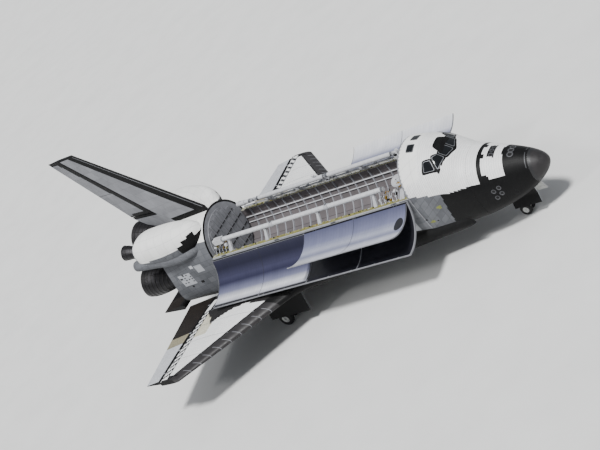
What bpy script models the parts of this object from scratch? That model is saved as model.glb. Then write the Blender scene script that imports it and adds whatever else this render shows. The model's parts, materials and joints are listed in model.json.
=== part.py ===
"""A space shuttle orbiter at its real size, parked on its landing gear with its payload bay open.

Everything is modelled in the airframe's own axes: X forward from mid length, Y to port, Z up from
the payload bay's centreline. The airframe empty then sets the whole vehicle nose-down on its wheels.
Stations are metres aft of the nose tip.
"""

import math

import bmesh
import bpy
from mathutils import Matrix, Vector

# Driving dimensions, in metres
LENGTH = 37.24
HALF_SPAN = 11.895
PARKED_PITCH = math.radians(3.0)
BAY_AXIS_HEIGHT = 5.72
SEAT_GAP = 0.0003
RUNNING_GAP = 0.005
SHARP_EDGE = math.radians(35.0)

# Fuselage
BAY_FRONT = 8.79
BAY_BACK = 27.08
HULL_RADIUS = 2.69
BAY_RADIUS = 2.34
SILL_TOP = 0.28
BASE_LOW_STATION = 32.58
BASE_HIGH_STATION = 31.30
NOSE_CAP_END = 0.99
CABIN_FRONT = 4.67
CABIN_WALL = 0.12
BULKHEAD_THICK = 0.10
HULL_SIDES = 32

# Station, crown height, keel height, half width, height of the widest point, upper and lower fullness
HULL_TABLE = (
    (0.00, -1.575, -1.575, 0.00, -1.575, 2.0, 2.0),
    (0.05, -1.39, -1.77, 0.21, -1.58, 2.0, 2.0),
    (0.18, -1.22, -1.97, 0.41, -1.61, 2.0, 2.0),
    (0.48, -0.95, -2.28, 0.71, -1.70, 2.0, 2.1),
    (0.99, -0.62, -2.61, 1.03, -1.84, 2.0, 2.3),
    (1.63, -0.30, -2.89, 1.32, -1.98, 2.0, 2.6),
    (2.64, 0.06, -3.14, 1.67, -2.05, 2.1, 2.9),
    (3.66, 0.38, -3.29, 1.95, -1.95, 2.2, 3.2),
    (4.67, 0.72, -3.38, 2.18, -1.70, 2.2, 3.5),
    (5.10, 0.93, -3.40, 2.26, -1.55, 2.2, 3.6),
    (5.70, 1.52, -3.42, 2.35, -1.30, 2.2, 3.7),
    (6.30, 2.02, -3.44, 2.43, -1.00, 2.2, 3.8),
    (6.90, 2.33, -3.45, 2.51, -0.70, 2.1, 4.0),
    (7.70, 2.55, -3.47, 2.60, -0.35, 2.0, 4.4),
    (8.20, 2.64, -3.475, 2.65, -0.16, 2.0, 4.7),
    (8.69, 2.69, -3.48, 2.69, 0.00, 2.0, 5.0),
    (27.08, 2.69, -3.48, 2.69, 0.00, 2.0, 5.0),
    (29.50, 2.69, -3.27, 2.80, 0.00, 2.6, 5.0),
    (31.30, 2.66, -3.14, 2.90, 0.00, 3.2, 5.0),
    (32.58, 2.62, -3.07, 2.95, 0.00, 3.2, 5.0),
    (34.00, 2.62, -3.07, 2.95, 0.00, 3.2, 5.0),
)

# Windows and side hatch
# Window outlines: four corners as (station, angle in degrees from the crown)
FORWARD_PANES = (
    ((5.46, 1.6), (5.66, 18.0), (6.06, 17.2), (5.93, 1.6)),
    ((5.76, 22.0), (6.12, 43.5), (6.40, 27.5), (6.12, 20.0)),
    ((6.32, 45.5), (7.00, 49.5), (6.94, 35.5), (6.50, 32.0)),
)
OVERHEAD_PANE = ((7.70, 5.5), (7.70, 18.0), (8.15, 17.5), (8.15, 5.5))
PANE_REACH_OUT = 0.35
PANE_REACH_IN = 0.45
HATCH_STATION = 7.05
HATCH_HEIGHT = -1.35
HATCH_RADIUS = 0.51
HATCH_HINGE_OUT = 0.05
KNUCKLE_PAIR_HALF = 0.08
AFT_WINDOW_Y = 0.42
AIRLOCK_HEIGHT = -0.55
AIRLOCK_DEPTH = 0.12

# Bay frames, and the pads on the sill that a payload's trunnions are latched to
FRAME_COUNT = 11
FRAME_RADIUS = 2.25
FRAME_WIDTH = 0.12
TROUGH_SIDES = 14
SILL_ANGLE = math.asin(SILL_TOP / HULL_RADIUS)
LATCH_PAD_STATION = 24.45
LATCH_PAD_HALF_LENGTH = 0.20
LATCH_PAD_INNER = 2.36
LATCH_PAD_OUTER = 2.52
LATCH_PAD_TOP = SILL_TOP + 0.05

# Wing
GLOVE_SWEEP = math.radians(81.0)
WING_SWEEP = math.radians(45.0)
KINK_HALF_SPAN = 4.52
KINK_STATION = 19.76
TRAILING_EDGE_CENTRE = 32.75
TRAILING_EDGE_SWEEP = math.radians(10.06)
DIHEDRAL = math.radians(3.5)
ROOT_HALF_SPAN = 2.67
WING_ROOT_HEIGHT = -2.97
ROOT_THICKNESS = 1.52
TIP_THICKNESS = 0.36
UPPER_SHARE = 0.62
EDGE_DEPTH = 0.62
ELEVON_HINGE = 29.24
ELEVON_GAP = 0.012
ELEVON_SPLIT = 7.94
ELEVON_INNER = 2.99
ELEVON_OUTER = 11.72
ELEVON_SIDE_GAP = 0.02
LUG_HALF = 0.06
ELEVONS = (
    ("inboard", ELEVON_INNER, ELEVON_SPLIT - ELEVON_SIDE_GAP),
    ("outboard", ELEVON_SPLIT, ELEVON_OUTER),
)
# Where the wing is worked out, in metres from the centreline
WING_STATIONS = (2.30, 3.05, 3.97, 4.25, 4.52, 4.80, 5.07, ELEVON_SPLIT, 9.6, 11.3, 11.75, HALF_SPAN)

# Vertical fin
FIN_ROOT_HEIGHT = 2.62
FIN_TIP_HEIGHT = 10.57
FIN_LEADING_ROOT = 26.53
FIN_ROOT_CHORD = 6.82
FIN_TIP_CHORD = 2.76
FIN_HINGE_SHARE = 0.60
FIN_WEDGE = math.tan(math.radians(4.6))
RUDDER_BOTTOM = 4.10
RUDDER_TOP = 10.30
RUDDER_GAP = 0.012
RUDDER_FOOT_GAP = 0.07
BLADE_SLIM = 0.001
RUDDER_BEVEL = math.radians(52.0)
RUDDER_KNUCKLES = (5.0, 7.2, 9.4)
RUDDER_KNUCKLE = 0.034
FIN_FOOT_BREAK = 31.2
FIN_FOOT_RISE = 0.36

# Body flap
FLAP_HINGE = 32.86
FLAP_HINGE_Z = -2.86
FLAP_RADIUS = 0.19
FLAP_CHORD = 2.06
FLAP_HALF_SPAN = 3.05
FLAP_LUG_RADIUS = 0.13
FLAP_LUGS = (-1.9, 0.0, 1.9)

# Payload bay doors and radiators
DOOR_INNER_RADIUS = 2.58
DOOR_START = math.radians(7.2)
DOOR_END = math.radians(89.95)
DOOR_FACETS = 12
DOOR_HINGE_Y = 2.725
DOOR_HINGE_Z = 0.30
DOOR_OPEN = math.radians(175.5)
RADIATOR_OUTER_RADIUS = 2.5745
RADIATOR_THICK = 0.06
RADIATOR_START = math.radians(9.5)
RADIATOR_END = math.radians(86.0)
RADIATOR_DEPLOYED = math.radians(35.5)
KNUCKLE_RADIUS = 0.045
KNUCKLE_LENGTH = 0.20
DOOR_HINGE_STATIONS = [BAY_FRONT + 1.2 + k * (BAY_BACK - BAY_FRONT - 2.4) / 3 for k in range(4)]
RADIATOR_HINGE_RADIUS = RADIATOR_OUTER_RADIUS - RADIATOR_THICK / 2
RADIATOR_HINGE_ANGLE = math.radians(8.2)
RADIATOR_HINGE_Y = RADIATOR_HINGE_RADIUS * math.cos(RADIATOR_HINGE_ANGLE)
RADIATOR_HINGE_Z = RADIATOR_HINGE_RADIUS * math.sin(RADIATOR_HINGE_ANGLE)
RADIATOR_MIDDLE = (BAY_FRONT + BAY_BACK) / 2
RADIATOR_HINGE_STATIONS = (BAY_FRONT + 1.0, BAY_FRONT + 4.55, BAY_FRONT + 8.1)
RADIATOR_KNUCKLE_RADIUS = 0.022

# Landing gear
NOSE_WELL_FRONT = 1.85
NOSE_WELL_BACK = 3.95
NOSE_WELL_HALF = 0.50
NOSE_WELL_ROOF = -2.15
MAIN_WELL_FRONT = 20.55
MAIN_WELL_BACK = 24.40
MAIN_WELL_INNER = 2.75
MAIN_WELL_OUTER = 4.20
MAIN_WELL_ROOF = -2.62
MAIN_BRACE_STATION = MAIN_WELL_FRONT + 1.3
NOSE_AXLE_STATION = 3.58
NOSE_TYRE_RADIUS = 0.406
NOSE_TYRE_WIDTH = 0.22
NOSE_WHEEL_OFFSET = 0.28
MAIN_AXLE_STATION = 23.77
MAIN_TRACK_HALF = 3.455
MAIN_TYRE_RADIUS = 0.565
MAIN_TYRE_WIDTH = 0.41
MAIN_WHEEL_OFFSET = 0.465
NOSE_AXLE_RADIUS = 0.045
NOSE_SLEEVE_HALF = 0.13
MAIN_AXLE_RADIUS = 0.075
MAIN_SLEEVE_HALF = 0.20
AXLE_CLEARANCE = 0.003
COLLAR_STEP = 0.025
NOSE_STEER_TOP = -3.55
NOSE_BRACE_STATION = NOSE_WELL_FRONT + 0.50
RIM_SHARE = 0.52
TYRE_SIDES = 24

# Engines
MAIN_BELL_LENGTH = 4.27
MAIN_BELL_EXIT = 1.19
MAIN_BELL_START = 1.05
MAIN_BELL_THROAT = 0.42
BELL_WALL = 0.05
# Name, gimbal's station, y and z, pitch and outward turn in degrees, and the dome shield's radius
ENGINES = (
    ("main_engine_upper", 30.71, 0.0, 1.09, 16.0, 0.0, 1.25),
    ("main_engine_port", 31.29, 1.35, -1.458, 10.0, 3.5, 1.35),
    ("main_engine_starboard", 31.29, -1.35, -1.458, 10.0, -3.5, 1.35),
)

# Orbital manoeuvring pods and their engines
# Station, centre y, centre z, half width, half height
POD_TABLE = (
    (27.20, 1.50, 2.20, 0.10, 0.10),
    (27.45, 1.55, 2.20, 0.50, 0.52),
    (27.95, 1.68, 2.20, 0.84, 0.88),
    (28.70, 1.84, 2.20, 1.08, 1.16),
    (29.70, 2.00, 2.22, 1.22, 1.34),
    (30.70, 2.10, 2.24, 1.28, 1.40),
    (31.70, 2.12, 2.25, 1.28, 1.38),
    (32.60, 2.13, 2.25, 1.20, 1.24),
    (33.10, 2.14, 2.25, 1.00, 0.98),
)
POD_FULLNESS = 2.5
STINGER_Y = 2.98
STINGER_Z = 1.72
STINGER_FRONT = 30.9
STINGER_BACK = 33.75
STINGER_RADIUS = 0.42
OMS_BELL_START = 32.92
OMS_BELL_LENGTH = 1.75
OMS_BELL_EXIT = 0.56

# Manipulator arm and sensor boom
ARM_Y = 1.93
ARM_Z = 1.12
ARM_RADIUS = 0.165
ARM_SHOULDER = 11.30
ARM_ELBOW = 17.68
ARM_WRIST = 24.74
WRIST_REACH = 0.32
ARM_TIP = 26.45
ELBOW_DROP = 0.31
ARM_REST_STATIONS = (14.6, 20.6, 23.6)
BOOM_FRONT = 10.60
BOOM_BACK = 25.84
BOOM_BANDS = (15.6, 20.8)
BOOM_CRADLES = (11.6, 16.6, 21.6, 25.2)
ANTENNA_STATION = 9.35
ANTENNA_Y = -1.72

PALETTE = {
    "white_blanket": ((0.80, 0.80, 0.78), 0.75, 0.0),
    "black_tile": ((0.02, 0.02, 0.022), 0.55, 0.0),
    "carbon_edge": ((0.11, 0.11, 0.115), 0.5, 0.0),
    "bay_liner": ((0.33, 0.33, 0.36), 0.6, 0.0),
    "radiator_silver": ((0.62, 0.64, 0.70), 0.18, 1.0),
    "bare_metal": ((0.55, 0.55, 0.56), 0.35, 1.0),
    "engine_metal": ((0.09, 0.085, 0.085), 0.42, 1.0),
    "window_glass": ((0.02, 0.022, 0.025), 0.08, 0.0),
    "strut_white": ((0.72, 0.72, 0.70), 0.4, 0.0),
    "tyre_rubber": ((0.025, 0.025, 0.025), 0.85, 0.0),
    "cabin_grey": ((0.35, 0.36, 0.36), 0.7, 0.0),
}


# Scene helpers
def clear_scene():
    for obj in list(bpy.data.objects):
        bpy.data.objects.remove(obj)


def collection(name):
    made = bpy.data.collections.new(name)
    bpy.context.scene.collection.children.link(made)
    return made


def material(name):
    colour, roughness, metallic = PALETTE[name]
    made = bpy.data.materials.get(name)
    if made is None:
        made = bpy.data.materials.new(name)
        made.use_nodes = True
        shader = made.node_tree.nodes["Principled BSDF"]
        shader.inputs["Base Color"].default_value = (*colour, 1.0)
        shader.inputs["Roughness"].default_value = roughness
        shader.inputs["Metallic"].default_value = metallic
    return made


def object_from(name, bm, finish=None):
    """A new object with the bmesh's shape."""
    mesh = bpy.data.meshes.new(name)
    bm.to_mesh(mesh)
    bm.free()
    obj = bpy.data.objects.new(name, mesh)
    PARTS.objects.link(obj)
    if finish:
        mesh.materials.append(material(finish))
    return obj


def baked(obj):
    """Applies the object's modifiers to its mesh."""
    graph = bpy.context.evaluated_depsgraph_get()
    mesh = bpy.data.meshes.new_from_object(obj.evaluated_get(graph))
    obj.modifiers.clear()
    obj.data = mesh
    return obj


def combine(target, tool, operation):
    """Joins or cuts target by tool, and removes the tool."""
    step = target.modifiers.new(operation.lower(), "BOOLEAN")
    step.operation = operation
    step.object = tool
    step.solver = "EXACT"
    baked(target)
    bpy.data.objects.remove(tool)
    return target


def join(target, *tools):
    for tool in tools:
        combine(target, tool, "UNION")
    return target


def cut(target, *tools):
    for tool in tools:
        combine(target, tool, "DIFFERENCE")
    return target


def keep(target, tool):
    return combine(target, tool, "INTERSECT")


def mirrored(obj, name):
    """A copy of obj on the other side of the centreline."""
    mesh = obj.data.copy()
    mesh.transform(Matrix.Scale(-1, 4, (0, 1, 0)))
    mesh.flip_normals()
    copy = bpy.data.objects.new(name, mesh)
    PARTS.objects.link(copy)
    return copy


# Shape helpers. place(s, y, z) turns a station into the airframe's axes.
def place(station, y, z):
    return Vector((LENGTH / 2 - station, y, z))


def loft(name, rings, finish=None):
    """A solid skinned over rings of points with the same count, its two ends closed."""
    bm = bmesh.new()
    rows = [[bm.verts.new(point) for point in ring] for ring in rings]
    count = len(rows[0])
    for row, after in zip(rows, rows[1:]):
        for k in range(count):
            bm.faces.new((row[k], row[(k + 1) % count], after[(k + 1) % count], after[k]))
    bm.faces.new(rows[0])
    bm.faces.new(rows[-1])
    bmesh.ops.remove_doubles(bm, verts=bm.verts, dist=1e-5)
    bmesh.ops.triangulate(bm, faces=bm.faces, quad_method="FIXED")
    bmesh.ops.recalc_face_normals(bm, faces=bm.faces)
    return object_from(name, bm, finish)


def box(name, low, high, finish=None):
    """A box between two corners given as (station, y, z)."""
    a, b = place(*low), place(*high)
    bm = bmesh.new()
    size = Vector([abs(b[k] - a[k]) for k in range(3)])
    frame = Matrix.Translation((a + b) / 2) @ Matrix.Diagonal((*size, 1))
    bmesh.ops.create_cube(bm, size=1, matrix=frame)
    return object_from(name, bm, finish)


def rod(name, start, end, radius, finish=None, sides=16, end_radius=None):
    """A cylinder or cone between two points of the airframe's axes."""
    axis = end - start
    turn = axis.to_track_quat("Z", "Y").to_matrix().to_4x4()
    bm = bmesh.new()
    bmesh.ops.create_cone(
        bm,
        cap_ends=True,
        segments=sides,
        radius1=radius,
        radius2=radius if end_radius is None else end_radius,
        depth=axis.length,
        matrix=Matrix.Translation((start + end) / 2) @ turn,
    )
    return object_from(name, bm, finish)


def beam(name, start, end, width, height, finish=None):
    """A straight rectangular bar between two points."""
    axis = end - start
    turn = axis.to_track_quat("Z", "Y").to_matrix().to_4x4()
    bm = bmesh.new()
    frame = Matrix.Translation((start + end) / 2) @ turn @ Matrix.Diagonal((width, height, axis.length, 1))
    bmesh.ops.create_cube(bm, size=1, matrix=frame)
    return object_from(name, bm, finish)


def hull_of(name, points, finish=None):
    """The convex solid around a few points."""
    bm = bmesh.new()
    for point in points:
        bm.verts.new(point)
    bmesh.ops.convex_hull(bm, input=bm.verts)
    bmesh.ops.recalc_face_normals(bm, faces=bm.faces)
    return object_from(name, bm, finish)


def turned(name, profile, origin, axis, sides, finish=None):
    """A profile of (distance along the axis, radius) turned round it with a Screw modifier."""
    bm = bmesh.new()
    dots = [bm.verts.new((radius, 0, along)) for along, radius in profile]
    for k in range(len(dots) - 1):
        bm.edges.new((dots[k], dots[k + 1]))
    obj = object_from(name, bm, finish)
    screw = obj.modifiers.new("turn", "SCREW")
    screw.steps = sides
    screw.render_steps = sides
    screw.use_merge_vertices = True
    screw.merge_threshold = 0.00001
    baked(obj)
    tidy = bmesh.new()
    tidy.from_mesh(obj.data)
    bmesh.ops.remove_doubles(tidy, verts=tidy.verts, dist=1e-5)
    bmesh.ops.recalc_face_normals(tidy, faces=tidy.faces)
    tidy.to_mesh(obj.data)
    tidy.free()
    turn = axis.normalized().to_track_quat("Z", "Y").to_matrix().to_4x4()
    obj.data.transform(Matrix.Translation(origin) @ turn)
    return obj


# The hull's outer surface
def hull_values(station):
    """Crown, keel, half width, widest height and both fullnesses at a station."""
    for low, high in zip(HULL_TABLE, HULL_TABLE[1:]):
        if station <= high[0]:
            share = (station - low[0]) / (high[0] - low[0])
            return [a + (b - a) * share for a, b in zip(low[1:], high[1:])]
    return list(HULL_TABLE[-1][1:])


def hull_point(station, angle, inset=0.0, aft_slope=0.0):
    """The hull's surface at an angle from the crown, positive to port, moved in by inset."""
    crown, keel, width, widest, upper, lower = hull_values(station)
    crown, keel, width = crown - inset, keel + inset, width - inset
    side, height = math.sin(angle), math.cos(angle)
    fullness = upper if height >= 0 else lower
    y = width * math.copysign(abs(side) ** (2 / fullness), side)
    rise = (crown - widest) if height >= 0 else (widest - keel)
    z = widest + rise * math.copysign(abs(height) ** (2 / fullness), height)
    return place(station + aft_slope * (HULL_RADIUS - z), y, z)


def hull_ring(station, inset=0.0, count=HULL_SIDES, aft_slope=0.0):
    return [hull_point(station, 2 * math.pi * k / count, inset, aft_slope) for k in range(count)]


def hull_solid(name, stations, inset=0.0, finish=None, count=HULL_SIDES):
    return loft(name, [hull_ring(s, inset, count) for s in stations], finish)


def table_stations(first, last):
    between = [row[0] for row in HULL_TABLE if first + 0.02 < row[0] < last - 0.02]
    return [first, *between, last]


# Forward fuselage, cabin and nose


def pane_cutter(name, corners, side):
    """A block through the wall under one window outline."""
    outline = [hull_point(s, side * math.radians(a)) for s, a in corners]
    normal = (outline[2] - outline[0]).cross(outline[3] - outline[1]).normalized()
    centre = sum(outline, Vector()) / len(outline)
    if normal.dot(centre - place(6.5, 0, -1.0)) < 0:
        normal.negate()
    points = [p + normal * PANE_REACH_OUT for p in outline] + [p - normal * PANE_REACH_IN for p in outline]
    return hull_of(name, points)


def hatch_wall_y():
    """How far out the wall is at the hatch's middle."""
    wall = [hull_point(HATCH_STATION, math.radians(a)) for a in range(60, 130)]
    return min(wall, key=lambda p: abs(p.z - HATCH_HEIGHT)).y


def hatch_hinge():
    """The middle of the hatch's hinge line, just below it."""
    out = hatch_wall_y() + HATCH_HINGE_OUT
    return place(HATCH_STATION, out, HATCH_HEIGHT - HATCH_RADIUS - HATCH_HINGE_OUT)


def make_forward_fuselage():
    nose_cap = hull_solid("nose_cap", table_stations(0.0, NOSE_CAP_END), finish="carbon_edge")
    nose = hull_solid(
        "forward_fuselage", table_stations(NOSE_CAP_END + SEAT_GAP, CABIN_FRONT), finish="white_blanket"
    )
    low, high = (NOSE_WELL_FRONT, -NOSE_WELL_HALF, -4.0), (NOSE_WELL_BACK, NOSE_WELL_HALF, NOSE_WELL_ROOF)
    cut(nose, box("well", low, high))
    return nose_cap, nose


def make_cabin():
    front, back = CABIN_FRONT + SEAT_GAP, BAY_FRONT - BULKHEAD_THICK - SEAT_GAP
    stations = table_stations(front, back)
    cabin = hull_solid("crew_cabin", stations, finish="white_blanket")
    hollow = hull_solid("hollow", [front - 0.5, *stations[:-1], back + 0.5], inset=CABIN_WALL)
    cut(cabin, hollow)
    for side in (1, -1):
        for corners in (*FORWARD_PANES, OVERHEAD_PANE):
            cut(cabin, pane_cutter("pane", corners, side))
    axis = place(HATCH_STATION, 0, HATCH_HEIGHT)
    across = Vector((0, 1, 0))
    shell = cabin.copy()
    shell.data = cabin.data.copy()
    shell.name = "side_hatch"
    PARTS.objects.link(shell)
    radius = HATCH_RADIUS - RUNNING_GAP
    hatch = keep(shell, rod("core", axis + across * 1.5, axis + across * 3.5, radius, sides=32))
    cut(cabin, rod("hole", axis + across * 1.5, axis + across * 3.5, HATCH_RADIUS, sides=32))
    hinge = hatch_hinge()
    half = Vector((KNUCKLE_PAIR_HALF, 0, 0))
    knuckle = rod("knuckle", hinge - half, hinge + half, 0.03, sides=12)
    plate = beam("plate", hinge, hinge + Vector((0, 0, 0.20)), 0.15, 0.03)
    root = beam("root", hinge + Vector((0, 0.01, 0.145)), hinge + Vector((0, -0.12, 0.145)), 0.15, 0.10)
    join(hatch, plate, root, knuckle)
    for way in (1, -1):
        start = hinge + half * way + Vector((way * SEAT_GAP, 0, 0))
        fixed = rod("fixed", start, start + Vector((way * 0.10, 0, 0)), 0.03, sides=12)
        middle = start + Vector((way * 0.05, 0, 0))
        stay = beam("stay", middle, middle + Vector((0, -0.10, -0.02)), 0.04, 0.08)
        join(cabin, stay, fixed)
    return cabin, hatch


def make_cabin_glass():
    """One curved sheet just inside the wall, behind all the forward and overhead windows."""
    stations = table_stations(5.10, 8.20)
    inset, thick = CABIN_WALL + SEAT_GAP, 0.035
    angles = [2 * math.pi * k / HULL_SIDES for k in range(-5, 6)]
    rings = []
    for station in stations:
        outer = [hull_point(station, a, inset) for a in angles]
        inner = [hull_point(station, a, inset + thick) for a in reversed(angles)]
        rings.append(outer + inner)
    return loft("cabin_glass", rings, "window_glass")


def make_cabin_bulkhead():
    """The bay's front wall, with two windows and the round hatch to the airlock."""
    back = BAY_FRONT
    front = BAY_FRONT - BULKHEAD_THICK
    wall = hull_solid("cabin_bulkhead", [front, back - SEAT_GAP * 2], finish="bay_liner")
    for side in (1, -1):
        y = side * AFT_WINDOW_Y
        low, high = (front - 0.2, y - 0.16, 1.50), (back + 0.2, y + 0.16, 1.95)
        cut(wall, box("aft_window", low, high))
    for reach, radius in ((0.06, 0.80), (AIRLOCK_DEPTH, 0.62)):
        start, end = place(back - 0.05, 0, AIRLOCK_HEIGHT), place(back + reach, 0, AIRLOCK_HEIGHT)
        join(wall, rod("airlock", start, end, radius, sides=24))
    return wall


def make_aft_glass():
    front = BAY_FRONT - BULKHEAD_THICK - SEAT_GAP
    return box("aft_glass", (front - 0.03, -0.70, 1.40), (front - SEAT_GAP, 0.70, 2.05), "window_glass")


def make_flight_deck():
    """The deck with its two seats and instrument desk, seen through the windows."""
    deck = hull_solid("flight_deck", table_stations(5.70, 8.20), CABIN_WALL + SEAT_GAP, "cabin_grey")
    keep(deck, box("slab", (5.5, -3.0, 0.0), (8.3, 3.0, 0.06)))
    desk_section = ((5.75, 0.03), (5.75, 0.42), (6.0, 0.78), (6.2, 0.62), (6.2, 0.03))
    desk = hull_of("desk", [place(s, y, z) for y in (-1.05, 1.05) for s, z in desk_section])
    centre = box("console", (6.1, -0.22, 0.03), (7.0, 0.22, 0.42))
    join(deck, desk, centre)
    for side in (1, -1):
        seat = box("seat", (6.55, side * 0.55 - 0.24, 0.03), (7.05, side * 0.55 + 0.24, 0.48))
        back = box("back", (6.98, side * 0.55 - 0.24, 0.3), (7.12, side * 0.55 + 0.24, 1.25))
        join(deck, join(seat, back))
    return deck


# Mid fuselage
def trough_ring(station, bay_radius):
    """The U-shaped section: down the outside, round the keel, and back round the bay."""
    start = math.pi / 2 - SILL_ANGLE
    between = [2 * math.pi * k / HULL_SIDES for k in range(HULL_SIDES)]
    end = 2 * math.pi - start
    angles = [start, *[a for a in between if start + 0.02 < a < end - 0.02], end]
    outer = [hull_point(station, angle) for angle in angles]
    inner_start = math.asin(SILL_TOP / BAY_RADIUS)
    inner = []
    for k in range(TROUGH_SIDES + 1):
        angle = math.pi + (-inner_start) + (math.pi + 2 * inner_start) * k / TROUGH_SIDES
        radius = bay_radius if 0 < k < TROUGH_SIDES else BAY_RADIUS
        inner.append(place(station, radius * math.cos(angle), radius * math.sin(angle)))
    return outer + inner


def make_mid_fuselage():
    """The open trough with its ring frames, and the door hinges' knuckles on the sills."""
    rings = [trough_ring(BAY_FRONT + SEAT_GAP, BAY_RADIUS)]
    for k in range(FRAME_COUNT):
        station = BAY_FRONT + (BAY_BACK - BAY_FRONT) * (k + 0.5) / FRAME_COUNT
        for end, radius in ((-1, BAY_RADIUS), (-1, FRAME_RADIUS), (1, FRAME_RADIUS), (1, BAY_RADIUS)):
            rings.append(trough_ring(station + end * FRAME_WIDTH / 2, radius))
    rings.append(trough_ring(BAY_BACK - SEAT_GAP, BAY_RADIUS))
    trough = loft("mid_fuselage", rings, "white_blanket")
    merge_flat(trough)
    for side in (1, -1):
        for station in DOOR_HINGE_STATIONS:
            join(trough, *fixed_knuckle(station, side))
        join(trough, latch_pad(side))
    return trough


def latch_pad(side):
    """The flat pad on the sill for a payload's latch."""
    front, back = LATCH_PAD_STATION - LATCH_PAD_HALF_LENGTH, LATCH_PAD_STATION + LATCH_PAD_HALF_LENGTH
    low = (front, side * LATCH_PAD_INNER, SILL_TOP - 0.08)
    return box("pad", low, (back, side * LATCH_PAD_OUTER, LATCH_PAD_TOP))


def merge_flat(obj):
    """Joins neighbouring faces that lie in one plane."""
    bm = bmesh.new()
    bm.from_mesh(obj.data)
    bmesh.ops.dissolve_limit(bm, angle_limit=0.0005, verts=bm.verts, edges=bm.edges)
    straight = [v for v in bm.verts if len(v.link_edges) == 2 and abs(v.calc_edge_angle()) < 0.0005]
    bmesh.ops.dissolve_verts(bm, verts=straight)
    bm.to_mesh(obj.data)
    bm.free()


def fixed_knuckle(station, side):
    """The hinge knuckle on the sill, with the web that carries it."""
    axis = place(station, side * DOOR_HINGE_Y, DOOR_HINGE_Z)
    half = Vector((KNUCKLE_LENGTH / 2, 0, 0))
    knuckle = rod("knuckle", axis - half, axis + half, KNUCKLE_RADIUS, sides=8)
    web = box(
        "web",
        (station - KNUCKLE_LENGTH / 2, side * 2.60, 0.16),
        (station + KNUCKLE_LENGTH / 2, side * (DOOR_HINGE_Y + 0.01), 0.29),
    )
    return web, knuckle


# Payload bay doors, modelled shut and turned open about their hinge line
def facet_share(angle):
    """How far the door's flat facets lie inside its true arc at an angle."""
    step = (DOOR_END - DOOR_START) / DOOR_FACETS
    into = (angle - DOOR_START) % step
    return math.cos(step / 2) / math.cos(into - step / 2)


def arc_panel(name, inner, outer, start, end, front, back, finish=None):
    """A curved panel between two radii, on the port side, faceted as the door is."""
    step = (DOOR_END - DOOR_START) / DOOR_FACETS
    grid = [DOOR_START + k * step for k in range(DOOR_FACETS + 1)]
    angles = [start, *[a for a in grid if start + 0.01 < a < end - 0.01], end]
    rings = []
    for angle in angles:
        share = 1.0 if angle in grid else facet_share(angle)
        c, s = math.cos(angle) * share, math.sin(angle) * share
        rings.append(
            [
                place(front, inner * c, inner * s),
                place(back, inner * c, inner * s),
                place(back, outer * c, outer * s),
                place(front, outer * c, outer * s),
            ]
        )
    return loft(name, rings, finish)


def make_door():
    """The port door, shut."""
    door = arc_panel(
        "payload_door_port",
        DOOR_INNER_RADIUS,
        HULL_RADIUS,
        DOOR_START,
        DOOR_END,
        BAY_FRONT + 0.02,
        BAY_BACK - 0.02,
        "white_blanket",
    )
    for station in DOOR_HINGE_STATIONS:
        for way in (1, -1):
            offset = way * (KNUCKLE_LENGTH / 2 + SEAT_GAP)
            start = place(station, DOOR_HINGE_Y, DOOR_HINGE_Z) + Vector((offset, 0, 0))
            knuckle = rod("knuckle", start, start + Vector((way * 0.10, 0, 0)), KNUCKLE_RADIUS, sides=8)
            middle = start + Vector((way * 0.05, 0, 0))
            web = beam("web", middle, middle + Vector((0, -0.09, 0.06)), 0.05, 0.05)
            join(door, web, knuckle)
    half = Vector((KNUCKLE_PAIR_HALF, 0, 0))
    for station in RADIATOR_HINGE_STATIONS:
        axis = place(station, RADIATOR_HINGE_Y, RADIATOR_HINGE_Z)
        knuckle = rod("knuckle", axis - half, axis + half, RADIATOR_KNUCKLE_RADIUS, sides=8)
        web = beam("web", axis, axis + Vector((0, 0.06, 0.012)), 0.14, 0.03)
        join(door, web, knuckle)
    return door


def make_forward_radiator():
    panel = arc_panel(
        "radiator_forward_port",
        RADIATOR_OUTER_RADIUS - RADIATOR_THICK,
        RADIATOR_OUTER_RADIUS,
        RADIATOR_START,
        RADIATOR_END,
        BAY_FRONT + 0.10,
        RADIATOR_MIDDLE - 0.03,
        "radiator_silver",
    )
    for station in RADIATOR_HINGE_STATIONS:
        axis = place(station, RADIATOR_HINGE_Y, RADIATOR_HINGE_Z)
        for way in (1, -1):
            start = axis + Vector((way * (KNUCKLE_PAIR_HALF + SEAT_GAP), 0, 0))
            end = start + Vector((way * 0.08, 0, 0))
            knuckle = rod("knuckle", start, end, RADIATOR_KNUCKLE_RADIUS, sides=8)
            middle = (start + end) / 2
            web = beam("web", middle, middle + Vector((0, -0.008, 0.07)), 0.05, 0.03)
            join(panel, web, knuckle)
    return panel


def make_aft_radiator():
    return arc_panel(
        "radiator_aft_port",
        DOOR_INNER_RADIUS - SEAT_GAP - RADIATOR_THICK,
        DOOR_INNER_RADIUS - SEAT_GAP,
        RADIATOR_START,
        RADIATOR_END,
        RADIATOR_MIDDLE + 0.03,
        BAY_BACK - 0.10,
        "radiator_silver",
    )


# Aft fuselage
def aft_rings(inset):
    """The sections that end the hull: its last upright one, and the leaning base."""
    slope = (BASE_LOW_STATION - BASE_HIGH_STATION) / (2.66 + 3.14)
    return [hull_ring(29.5, inset), hull_ring(BASE_HIGH_STATION, inset, aft_slope=slope)]


def make_aft_fuselage():
    aft = loft("aft_fuselage", [hull_ring(BAY_BACK), *aft_rings(0.0)], "white_blanket")
    return join(aft, *[hinge_lug(FLAP_HINGE, y, FLAP_HINGE_Z, FLAP_LUG_RADIUS, 0.7) for y in FLAP_LUGS])


def hull_trim(first):
    """The hull from a station to its base, a seat's gap larger, which trims what sits on it."""
    stations = [s for s in table_stations(first, 29.5) if s < 29.4]
    rings = [hull_ring(s, -SEAT_GAP) for s in stations] + aft_rings(-SEAT_GAP)
    rings[-1] = [p + Vector((-SEAT_GAP * 2, 0, 0)) for p in rings[-1]]
    return loft("hull_trim", rings)


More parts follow.
